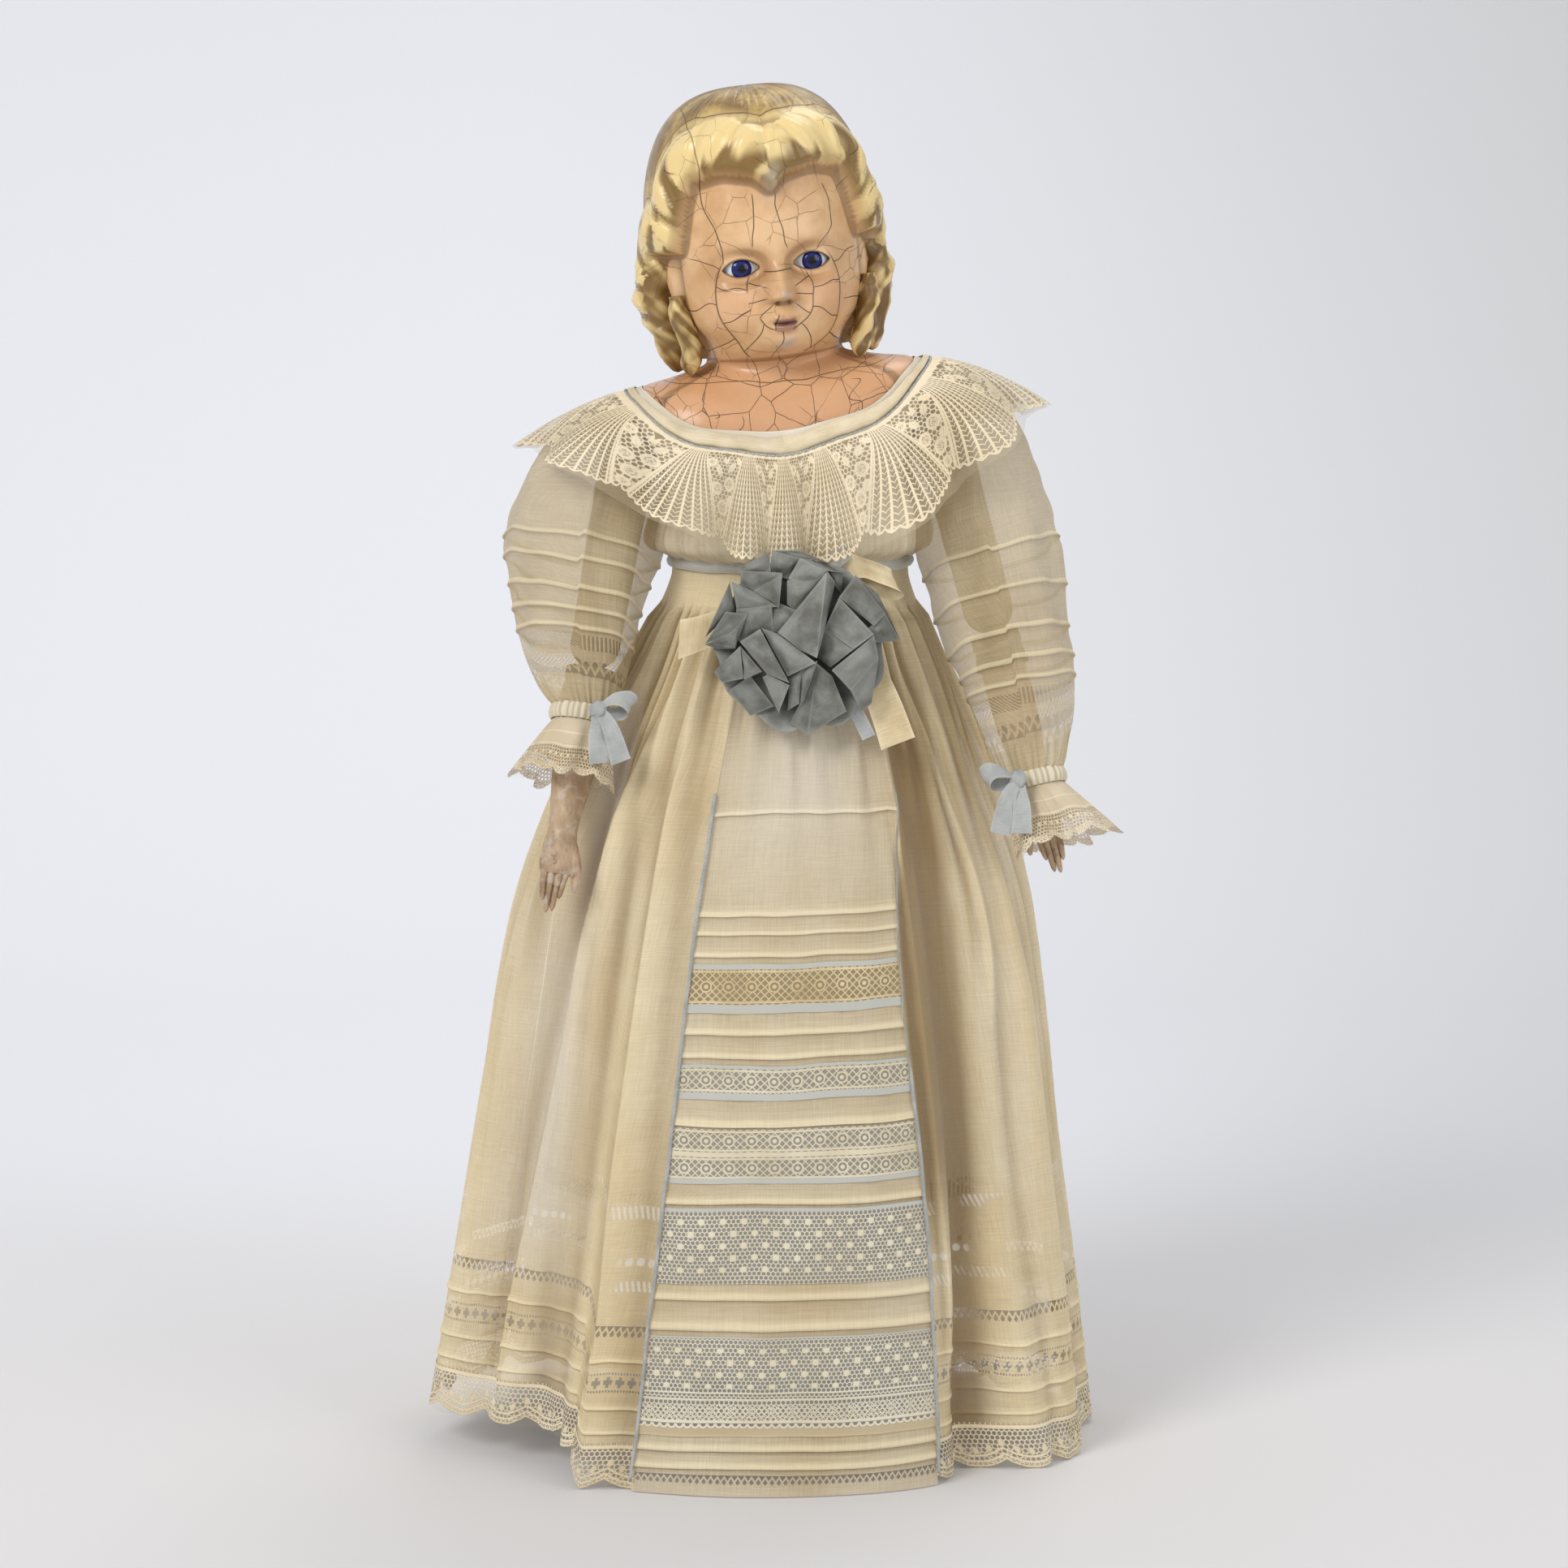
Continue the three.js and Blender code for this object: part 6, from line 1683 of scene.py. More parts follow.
def collar_pattern(look, u, v):
    """Fans of ribs joined by curved rungs, in turn with clusters of berries and leaves on a net of brides."""
    repeat = bpy.context.scene.doll.collar_repeat / MM
    x = u.repeat(repeat)
    c = u.repeat(repeat, repeat / 2)
    half = v.calc("MAXIMUM", 3.0).calc("MULTIPLY_ADD", 0.245, 3.6)
    place = x / half
    fan = place.near(1.0, 0.03)
    rib_at = place.repeat(0.2, 0.1)
    off = rib_at * half
    rib = off.near(0.36, 0.18)
    rung = (v - rib_at * rib_at * 130.0).repeat(2.3).near(0.3, 0.18)
    ribs = rib.most(rung) * fan
    end = place * place * -4.5 - rib_at * rib_at * 130.0 + 49.0
    rim = (v - end + 0.7).near(0.55, 0.2)
    inside = (v - end).below(0.0, 0.2)

    def berry(cx, cz, radius):
        """A ring filled with crossed threads."""
        far = reach(c - cx, v - cz)
        ring = (far - radius + 0.6).near(0.72, 0.2)
        one_way = (c + v).repeat(1.25).near(0.3, 0.14)
        fill = one_way.most((c - v).repeat(1.25).near(0.3, 0.14))
        return ring.most(fill * far.below(radius, 0.2) * 0.95)

    def leaf(cx, cz, lean, long):
        """A lobed leaf with a vein: its half width falls by the square of the way along it."""
        along_leaf = (c - cx) * math.sin(lean) + (v - cz) * math.cos(lean)
        across = (c - cx) * math.cos(lean) - (v - cz) * math.sin(lean)
        lobes = (along_leaf * (2 * math.pi / 1.7)).calc("COSINE") * 0.3
        wide = along_leaf * along_leaf * (-2.0 / long ** 2) + 2.0 + lobes
        body = (across.size() - wide).below(0.0, 0.2)
        return body * (across.size().above(0.14, 0.08) * 0.2 + 0.8)

    cluster = berry(0.5, 31.5, 3.3)
    for cx, cz, radius in ((-4.0, 24.0, 3.2), (3.6, 20.5, 3.4), (0.0, 38.5, 2.4), (-8.4, 10.5, 2.7)):
        cluster = cluster.most(berry(cx, cz, radius))
    leaves = ((-3.6, 14.5, 0.5, 3.6), (4.6, 12.0, -0.6, 3.6), (0.2, 8.0, 0.1, 3.2), (9.0, 7.5, 0.9, 3.0),
              (4.6, 27.8, -0.4, 2.8))
    for cx, cz, lean, long in leaves:
        cluster = cluster.most(leaf(cx, cz, lean, long))
    brides = hex_net(look, u, v, 2.4, 0.26) * 0.95
    ground = brides.most(cluster) * (fan * -1.0 + 1.0)
    stem = (place.size() - 1.0).near(0.06, 0.03)
    heading = v.below(3.4, 0.4)
    return (ribs.most(ground).most(stem).most(rim) * inside).most(heading)


# Sleeves: distances run down the arm from the shoulder
ARMS = {
    "left": dict(side=1, forward=math.radians(17), splay=math.radians(15), cuff=170.0, puff=13.0, out=4.0,
                 flare=7.0, tucks=(72.0, 91.0, 109.0, 122.0, 131.0),
                 ladders=((137.0, 144.0), (149.0, 155.5))),
    "right": dict(side=-1, forward=math.radians(20), splay=math.radians(9.8), cuff=124.0, puff=16.0, out=10.0,
                  flare=5.0, tucks=(52.5, 62.5, 75.0, 84.0, 92.0),
                  ladders=((96.5, 102.5), (107.0, 113.0))),
}
SLEEVE_SPLIT = 46.0


def from_arm(arm, p):
    """From an arm's own frame into the doll's."""
    c = math.cos(arm["forward"])
    s = math.sin(arm["forward"])
    y = p[..., 1] * c + p[..., 2] * s
    z = -p[..., 1] * s + p[..., 2] * c
    turn = -arm["side"] * arm["splay"]
    x = p[..., 0] * math.cos(turn) + z * math.sin(turn)
    up = -p[..., 0] * math.sin(turn) + z * math.cos(turn)
    pivot = body_point(arm["side"] * SHOULDER_X, 0.0, SHOULDER_H)
    return pack(x, y, up) + pivot


def sleeve_surface(arm, down, a):
    """Sleeve at distances down the arm and angles from the front, away from the body first."""
    side = arm["side"]
    u = np.clip(down / (arm["cuff"] - 0.4), 0, 1)
    swell = np.sin(math.pi * u ** 0.85) ** 0.8
    ripple = 4 * u * (1 - u)
    radius = mix(17.5, 13.0, u) + arm["puff"] * swell + 0.6 * ripple * np.cos(8 * a + 0.6 * side)
    soft = 2.3 * noise(a * 2.2 + 3, down / 26, 110 + side) + 1.1 * noise(a * 3 + down / 24, down / 10, 117)
    soft = soft * swell
    ends = smooth(u, 0.82, 1.0) + 0.8 * smooth(u, 0.2, 0.02)
    gathered = 0.9 * np.cos(26 * a + 3 * noise(a * 4, down / 20, 113)) * ends
    droop = 2.5 * bell(u - 0.86, 0.12) * np.maximum(np.sin(a), 0)
    inner = 4.5 * np.maximum(-np.sin(a), 0) ** 2 * bell(u - 0.28, 0.24)
    radius = radius + soft + gathered + droop + inner
    out = mix(7.0, 0.0, u) + arm["out"] * swell
    local = pack(side * (out + radius * np.sin(a)), -0.9 * radius * np.cos(a), -down)
    rings = from_arm(arm, local)
    up = np.sin(a) * np.where(np.sin(a) > 0, 16.5, 22.5)
    hole = body_point(side * (61.2 + 0.38 * up), -18.5 * np.cos(a), SHOULDER_H + up)
    over = 6 * np.maximum(np.sin(a), 0)
    crown = pack(side * 0.6 * over, 0 * over, 0.8 * over)
    join = smooth(down, 0, 26)
    return mix(hole, rings, join[..., None]) + crown * (4 * join * (1 - join))[..., None]


def build_sleeves(looks):
    """Tucked sleeves, each in two parts: one at the shoulder and one from there down over the elbow to the
    cuff.
    """
    tuck = bpy.context.scene.doll.sleeve_tuck / MM
    for name, arm in ARMS.items():
        cuff = arm["cuff"]
        marks = list(np.arange(0, cuff, 2.6)) + [cuff - 0.2]
        for at in arm["tucks"]:
            marks += [at - 0.05, at, at + 1.1, at + tuck - 0.02, at + tuck + 0.25]
        marks += [SLEEVE_SPLIT]
        marks = np.unique(np.round(marks, 2))
        a = circle(150)
        down, turn = np.meshgrid(marks, a, indexing="ij")
        rise = np.zeros_like(down)
        dense = np.zeros_like(down)
        shade = np.zeros_like(down)
        for at in arm["tucks"]:
            lying = (down - at) / tuck
            inside = (lying > 0) & (lying <= 1)
            rise += np.where(inside, 1.0 * lying, 0.0)
            dense += inside
            shade = np.maximum(shade, np.where(lying > 1, bell((lying - 1) * tuck, 1.1), 0.0))
        stray = 2.2 * noise(turn * 1.6, down / 34, 120)
        stray = stray * smooth(down, 30, 55) * smooth(down, cuff - 4, cuff - 20)
        surface = sleeve_surface(arm, down + stray, turn)
        middle = surface.mean(axis=1, keepdims=True)
        away = surface - middle
        away /= np.linalg.norm(away, axis=-1, keepdims=True)
        surface = surface + away * rise[..., None]
        surface, dense, shade = [flipped(grid, arm["side"]) for grid in (surface, dense, shade)]
        gathered = 0.5 * smooth(down, cuff - 14, cuff) + 0.4 * smooth(down, 14, 0)
        values = {"dense": np.clip(dense * 0.85 + gathered, 0, 1), "shade": shade * 0.4}
        uv = closed_uv(surface, marks)
        cut = int(np.argmin(np.abs(marks - SLEEVE_SPLIT)))
        pieces = []
        for part, rows in (("top", slice(0, cut + 1)), ("puff", slice(cut, None))):
            piece = grid_piece(f"sleeve_{part}_{name}", surface[rows], looks["sleeve_" + name], uv[rows],
                               closed=True, values={k: v[rows] for k, v in values.items()})
            pieces.append(piece)
        upper, lower = pieces
        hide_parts(f"sleeve_{name}")
        cut_sheet(upper)
        cut_sheet(lower)
        line = in_frame(from_arm(arm, np.array([[0.0, 0, 6.0], [0, 0, -SLEEVE_SPLIT + 4]])))
        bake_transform(upper)
        line = in_frame(from_arm(arm, np.array([[0.0, 0, -ELBOW_DOWN + 26], [0, 0, -ELBOW_DOWN - 24]])))
        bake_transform(lower)
        build_cuff(name, arm, looks)


def build_cuff(name, arm, looks):
    """Gathered casing of a cuff, and the lace frill that flares below it."""
    side = arm["side"]
    body = f"forearm_{name}"
    cuff = arm["cuff"]
    a = circle(140)
    w = np.linspace(0, 1, 13)[:, None]
    gather = 0.55 * np.cos(30 * a + 2 * noise(a * 4, 0 * a, 130))[None, :]
    radius = 13.2 + 1.3 * np.sin(math.pi * w) ** 0.7 + gather
    drop = cuff - 0.5 + (CUFF_BAND + 1.0) * w
    local = pack(side * radius * np.sin(a), -0.9 * radius * np.cos(a), -drop + 0 * a)
    hollow = flipped(np.clip(-gather, 0, 1) + 0 * w, side)
    band = grid_piece(f"cuff_casing_{name}", flipped(from_arm(arm, local), side), looks["casing"],
                      closed=True, values={"dense": 1.0, "shade": hollow})
    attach(band, body)
    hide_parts(f"cuff_band_{name}")
    cut_sheet(band)
    a = circle(336)
    w = np.linspace(0, 1, 34)[:, None]
    top = cuff + CUFF_BAND + 0.2
    wave = np.cos(7 * a + 0.7 * np.sin(2 * a)) + 0.5 * noise(a * 6, 0 * a, 131 + side)
    radius = 12.2 + 9.3 * w ** 0.85 + 2.9 * w * wave
    down = top + FRILL * w + 1.2 * w * np.sin(7 * a + 1.2)
    local = pack(side * (arm["flare"] * w + radius * np.sin(a)), -0.9 * radius * np.cos(a), -down)
    grid = flipped(from_arm(arm, local), side)
    edge = lengths(np.concatenate([grid[-1:], grid[-1:, :1]], axis=1), 1)[0]
    u = edge / edge[-1] * round(edge[-1] / 12.0) * 12.0
    uv = pair(u[None, :], FRILL * (1 - w))
    frill = grid_piece(f"cuff_lace_{name}", grid, looks["frill"], uv, closed=True)
    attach(frill, body)
    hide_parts(f"cuff_frill_{name}")
    cut_sheet(frill)


def flipped(grid, side):
    """Columns of a grid turned round on the right arm, so that its outside stays outside."""
    return grid if side > 0 else grid[:, ::-1]


def frill_pattern(look, u, v):
    """A muslin heading, two lines of hemstitch, then a net edging with closed scallops."""
    x = u.repeat(12.0)
    edge = (x * (math.pi / 12.0)).calc("COSINE") * -2.6 + 2.8
    inside = (v - edge).above(0.0, 0.2)
    border = (v - edge - 1.7).near(1.3, 0.3)
    loops = reach(u.repeat(2.0), v - edge - 1.7).within(0.4, 0.8, 0.12) * -0.7 + 1.0
    bud = reach(u.repeat(4.0), v - 9.0).below(0.95, 0.3)
    net = hex_net(look, u, v, 1.7, 0.46) * 0.8
    cloth = v.above(14.0, 0.3) * 0.84
    rows = ((v - 13.3).near(0.7, 0.2)).most((v - 19.5).near(0.5, 0.2))
    return (net.most(border * loops).most(bud).most(cloth).most(rows)) * inside


# Body under the gown

# Stuffed body: heights in front and at the side, half width, depth before and behind
TORSO = [(-126, -126, 48, 33, 34), (-112, -112, 51, 38, 41), (-80, -80, 52, 39, 42), (-40, -40, 49, 36, 37),
         (0, 0, 48.0, 35.4, 35.4), (8, 8, 48.0, 35.4, 35.4), (25, 40, 46, 37.6, 36.6),
         (35, 58, 50, 37.5, 37.5)]
TORSO_ROWS = 70
LIMB_ROWS = 64
HIP_APART = 25.0
HIP_Z = 241.6
SHIN_TOP_Z = 135.2
CASING_HEIGHT = 12.0
UPPER_ARM_TOP = 12.5
UPPER_ARM_END = 11.0
THIGH_TOP = 20.0
THIGH_END = 14.0
THIGH_LONG = 92.0
THIGH_SWELL = 2.0
ELBOW_RADIUS = 9.5
KNEE_RADIUS = 12.5
KNUCKLE_DOWN = 81.0
TIE_AT = CASING_HEIGHT * 0.62


def build_torso(looks):
    """Stuffed body: rings read smoothly from the shoulders to the seat, a little lumpy."""
    a = circle(120)
    rows = [torso_ring(a, *row) for row in TORSO[::-1]]
    local = ring_rows(rows, np.linspace(0, len(rows) - 1, TORSO_ROWS))
    local = pushed(local, 0.7 * noise(a[None, :] * 5, np.linspace(0, 9, TORSO_ROWS)[:, None], 140))
    points = to_body(local)
    uv = closed_uv(points, np.arange(TORSO_ROWS) * 2.4)
    piece = grid_piece("torso_stuffing", points, looks["cotton"], uv, closed=True,
                       caps=BOTH_ENDS)
    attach(piece, "torso")
    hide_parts("torso")


def limb_rows(head, end, length, swell):
    """Half width of a stuffed limb by distance from its pivot, domed at both ends."""
    t = np.linspace(0, 1, LIMB_ROWS)
    down = mix(-head, length + end, 0.5 - 0.5 * np.cos(math.pi * t))
    share = np.clip(down / length, 0, 1)
    straight = mix(head, end, share) + swell * np.sin(math.pi * share)
    top = np.sqrt(np.maximum(1 - (np.minimum(down, 0) / head) ** 2, 0))
    low = np.sqrt(np.maximum(1 - (np.maximum(down - length, 0) / end) ** 2, 0))
    return down, np.maximum(straight * top * low - 0.25, 0.2)


def round_grid(down, width, depth, x=0.0, y=0.0, sides=48, wobble=0.0, seed=0):
    """An upright tube of oval rings, with a middle and half sizes for each, and some lumps."""
    a = circle(sides)
    down = np.asarray(down, float)[:, None]
    bump = 1 + wobble * noise(a[None, :] * 3, down / 9, seed)
    wide = np.broadcast_to(width, len(down))[:, None] * bump
    deep = np.broadcast_to(depth, len(down))[:, None] * bump
    mid_x = np.broadcast_to(x, len(down))[:, None]
    mid_y = np.broadcast_to(y, len(down))[:, None]
    return pack(mid_x + wide * np.sin(a), mid_y - deep * np.cos(a), -down)


def tied_casing(name, radius, place, body, looks, casing_node, tie_node):
    """Cloth drawn over the end of a wooden limb and bound into its groove."""
    down = np.linspace(0.2, CASING_HEIGHT + 3.0, 30)
    neck = 1.5 * bell(down - TIE_AT, 1.5)
    a = circle(72)
    pleat = 0.4 * np.cos(24 * a)[None, :] * smooth(down, 1, 6)[:, None]
    size = (radius + 1.0 - neck + 0.8 * smooth(down, 11, 15))[:, None] + pleat
    grid = place(pack(size * np.sin(a), -size * np.cos(a), -down[:, None]))
    cloth = grid_piece(f"{name}_casing_cloth", grid, looks["cotton"], closed=True)
    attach(cloth, body)
    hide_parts(casing_node)
    cut_sheet(cloth)
    turns = np.linspace(0, 3 * 2 * math.pi, 150)
    ring = radius + 0.35
    wound = TIE_AT - 0.9 + turns / turns[-1] * 1.8
    path = place(pack(ring * np.sin(turns), -ring * np.cos(turns), -wound))
    tie = grid_piece(f"{name}_binding", tube_grid(path, 0.55, 8), looks["thread"], closed=True,
                     caps=BOTH_ENDS)
    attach(tie, body)
    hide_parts(tie_node)


# Carved forearm: distance down it, half width and half depth
FOREARM = [(0, 8.9, 8.9), (3.6, 9.4, 9.4), (7.4, 7.9, 7.9), (12, 9.4, 9.4), (39.4, 9.6, 9.0),
           (65.6, 6.8, 6.2), (71.6, 6.3, 5.1), (78.5, 7.3, 4.8), (84.5, 7.6, 4.5), (89.0, 7.3, 4.0),
           (91.0, 6.4, 2.8)]
# Each finger: place across at the knuckle and at the tip, length and thickness
FINGERS = [(5.4, 3.7, 103.2, 2.05), (1.9, 1.3, 108.2, 2.25), (-1.8, -1.1, 107.2, 2.2),
           (-5.2, -3.3, 101.5, 1.9)]
# Thumb: distance down, half width and half depth, place across and forward
THUMB = [(74.5, 2.2, 2.4, 4.2, 0), (84.6, 2.8, 2.7, 7.5, -0.2), (92.7, 2.1, 2.1, 9.1, -0.8),
         (97.6, 0.7, 0.7, 9.3, -1.2)]


def build_arms(looks):
    """Stuffed upper arms and carved forearms, tied together at the elbows."""
    for name, arm in ARMS.items():
        def lower(p, arm=arm):
            """From the top of the forearm into the doll's frame."""
            return from_arm(arm, p - np.array([0, 0, FOREARM_TOP]))

        down, radius = limb_rows(UPPER_ARM_TOP, UPPER_ARM_END, ELBOW_DOWN, 0)
        grid = from_arm(arm, round_grid(down, radius, radius, wobble=0.02, seed=150))
        uv = closed_uv(grid, down)
        piece = grid_piece(f"upper_arm_stuffing_{name}", grid, looks["cotton"], uv, closed=True,
                           caps=BOTH_ENDS)
        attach(piece, f"arm_{name}")
        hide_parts(f"upper_arm_{name}")
        build_hand(name, arm["side"], lower, looks)
        tied_casing(f"elbow_{name}", ELBOW_RADIUS, lower, f"forearm_{name}", looks, f"elbow_casing_{name}",
                    f"elbow_tie_{name}")


def build_hand(name, side, place, looks):
    """Carved forearm: a flat palm, four fingers drawn to points and a thumb towards the body."""
    rows = along(FOREARM, np.linspace(0, len(FOREARM) - 1, 110))
    grids = [round_grid(rows[:, 0], rows[:, 1], rows[:, 2], wobble=0.015, seed=160)]
    for start, tip, length, thick in FINGERS:
        t = np.linspace(0, 1, 40)
        down = mix(KNUCKLE_DOWN, length, t)
        curl = -1.1 * t ** 2
        joint = 1 + 0.07 * np.cos((t - 0.45) * 18) * bell(t - 0.5, 0.35)
        tip_round = np.sqrt(np.maximum(1 - np.maximum(t - 0.9, 0) ** 2 * 96, 0.01))
        size = thick * joint * (1 - 0.5 * t ** 1.4) * tip_round
        grids.append(round_grid(down, size * 0.95, size * 1.25, side * mix(start, tip, t ** 1.2), curl, 20))
    thumb = along(THUMB, np.linspace(0, 1, 40) * 3)
    grids.append(round_grid(thumb[:, 0], thumb[:, 1], thumb[:, 2], -side * thumb[:, 3], thumb[:, 4], 20))
    worn = [{"worn": smooth(-grid[..., 2], 60, 100)} for grid in grids]
    placed = [place(grid) for grid in grids]
    piece = joined_grids(f"carved_forearm_{name}", placed, looks["wood"], closed=True, values=worn,
                         caps=BOTH_ENDS)
    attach(piece, f"forearm_{name}")
    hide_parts(f"forearm_{name}")


def build_legs(looks):
    """Stuffed thighs, cloth tied over the tops of the wooden shins, and the paint of the shins."""
    for name, side in (("left", 1), ("right", -1)):
        hip = np.array([SEAT_X + side * HIP_APART, 0.0, HIP_Z])
        down, radius = limb_rows(THIGH_TOP, THIGH_END, THIGH_LONG, THIGH_SWELL)
        grid = round_grid(down, radius, radius, wobble=0.025, seed=170) + hip
        uv = closed_uv(grid, down)
        piece = grid_piece(f"thigh_stuffing_{name}", grid, looks["cotton"], uv, closed=True,
                           caps=BOTH_ENDS)
        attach(piece, f"leg_{name}")
        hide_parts(f"thigh_{name}")
        knee = np.array([hip[0], 0.0, SHIN_TOP_Z])
        tied_casing(f"knee_{name}", KNEE_RADIUS, lambda p, knee=knee: p + knee, f"shin_{name}", looks,
                    f"knee_casing_{name}", f"knee_tie_{name}")
        shin = frame["nodes"][f"lower_leg_{name}"]
        shin.data.materials.clear()
        shin.data.materials.append(looks["boot"])


# Ribbons, bows and the rosette

RIBBON_ROWS = 60
RIBBON_COLS = 15


def ribbon_grid(path, across, width, cup, seed):
    """A strip of ribbon along a curve, a little cupped and creased."""
    path = curve_path(path, RIBBON_ROWS)
    across = np.broadcast_to(np.asarray(across, float), path.shape)
    across = across / np.linalg.norm(across, axis=1, keepdims=True)
    ahead = np.gradient(path, axis=0)
    normal = np.cross(ahead, across)
    normal /= np.linalg.norm(normal, axis=1, keepdims=True) + 1e-9
    s = np.linspace(-1, 1, RIBBON_COLS)
    run = lengths(path[:, None], 0)[:, 0]
    half = np.broadcast_to(width, RIBBON_ROWS) / 2
    lift = cup * (s[None, :] ** 2 - 0.4) + 0.35 * noise(run[:, None] / 6, s[None, :] * 2 + seed, seed)
    sideways = across[:, None] * (half[:, None] * s[None, :])[..., None]
    grid = path[:, None] + sideways + normal[:, None] * lift[..., None]
    uv = pair(half[:, None] * s[None, :], run[:, None])
    return grid, uv, {"edge": np.abs(s) ** 8}


def ribbon_piece(name, strips, look):
    """Strips of ribbon as one piece."""
    grids, uvs, values = zip(*strips)
    return joined_grids(name, list(grids), look, uvs=list(uvs), values=list(values))


def moved(strips, place):
    """Strips of ribbon taken into another frame."""
    return [(place(grid), uv, values) for grid, uv, values in strips]


def knot_grid(radius, squash, seed):
    """A small pulled knot: a lump with creases running over it."""
    t = np.linspace(0.06, math.pi - 0.06, 22)[:, None]
    a = circle(30)[None, :]
    size = radius * (1 + 0.13 * np.cos(3 * a + 2 * t) + 0.08 * noise(a * 2, t * 3, seed))
    across = size * np.sin(t) * np.sin(a)
    return pack(across, -squash * size * np.sin(t) * np.cos(a), size * np.cos(t) * 1.1 + 0 * a)


def build_cuff_bows(looks):
    """Bow on each cuff: a loop, two tails and a knot, set out from the middle of the bow."""
    for name, arm in ARMS.items():
        s = -arm["side"]
        base = np.array([s * 6.3, -16.9, -arm["cuff"] - 3.0])

        def spot(rows):
            """Places of the bow, set out from its middle towards the body."""
            return np.array([[s * x, y, z] for x, z, y in rows]) + base

        loop = spot([(0, 0, -1.5), (5, 4.5, -4.6), (10.5, 6, -4.6), (14, 4, -2.4), (12.5, 1.5, 1.0),
                     (6, -0.5, 0.6), (1, -1, -0.5)])
        tail = spot([(0, -0.5, -2.0), (4, -4, -3.6), (8, -10, -3.4), (13.5, -21, -2.0)])
        end = spot([(0, -0.5, -1.6), (0.8, -5, -2.8), (1.6, -12, -2.4), (4.5, -23, -1.2)])
        side = np.array([0.35 * s, 0.1, 0.93])
        loop_width = mix(4.5, 8.5, np.sin(np.linspace(0.1, math.pi - 0.1, RIBBON_ROWS)))
        tail_width = np.linspace(4.5, 9.0, RIBBON_ROWS)
        strips = [ribbon_grid(loop, side, loop_width, seed=1, cup=0.7),
                  ribbon_grid(tail, np.array([0.85 * s, -0.1, 0.5]), tail_width, seed=2, cup=0.9),
                  ribbon_grid(end, np.array([0.96 * s, -0.1, 0.25]), tail_width, seed=3, cup=-0.8)]
        pieces = moved(strips, lambda p, arm=arm: from_arm(arm, p))
        bow = ribbon_piece(f"wrist_bow_{name}", pieces, looks["bow"])
        knot = knot_grid(3.5, 0.85, 7) + base + np.array([0, -1.6, 0])
        knob = grid_piece(f"wrist_knot_{name}", from_arm(arm, knot), looks["bow"], closed=True,
                          caps=BOTH_ENDS)
        for piece in (bow, knob):
            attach(piece, f"forearm_{name}")
        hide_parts(f"cuff_bow_{name}")
        cut_sheet(bow)


def build_waist(looks):
    """Waist ribbon: a narrow band over the gathers, a little puckered."""
    a = circle(300)
    w = np.linspace(0, 1, 13)
    rings = []
    for share in w:
        puff = 0.9 * math.sin(math.pi * share)
        x, y = section(a, 53.2 + puff, 40.6 + puff, 40.4)
        pucker = 0.3 * noise(a * 14, 0 * a + share * 2, 180)
        h = 7.4 - 4.8 * share + 0.4 * noise(a * 5, 0 * a, 181)
        rings.append(body_point(x + pucker * np.sin(a), y - pucker * np.cos(a), h))
    points = np.stack(rings)
    edge = np.abs(2 * w - 1)[:, None] ** 8
    piece = grid_piece("waist_band", points, looks["waist"], closed_uv(points, 5.0 * w), closed=True,
                       values={"edge": edge})
    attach(piece, "torso")
    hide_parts("waist_ribbon")
    cut_sheet(piece)


ROSETTE_AT = np.array([16.0, -66.5, 364.2])
ROSETTE_TILT = math.radians(10.0)
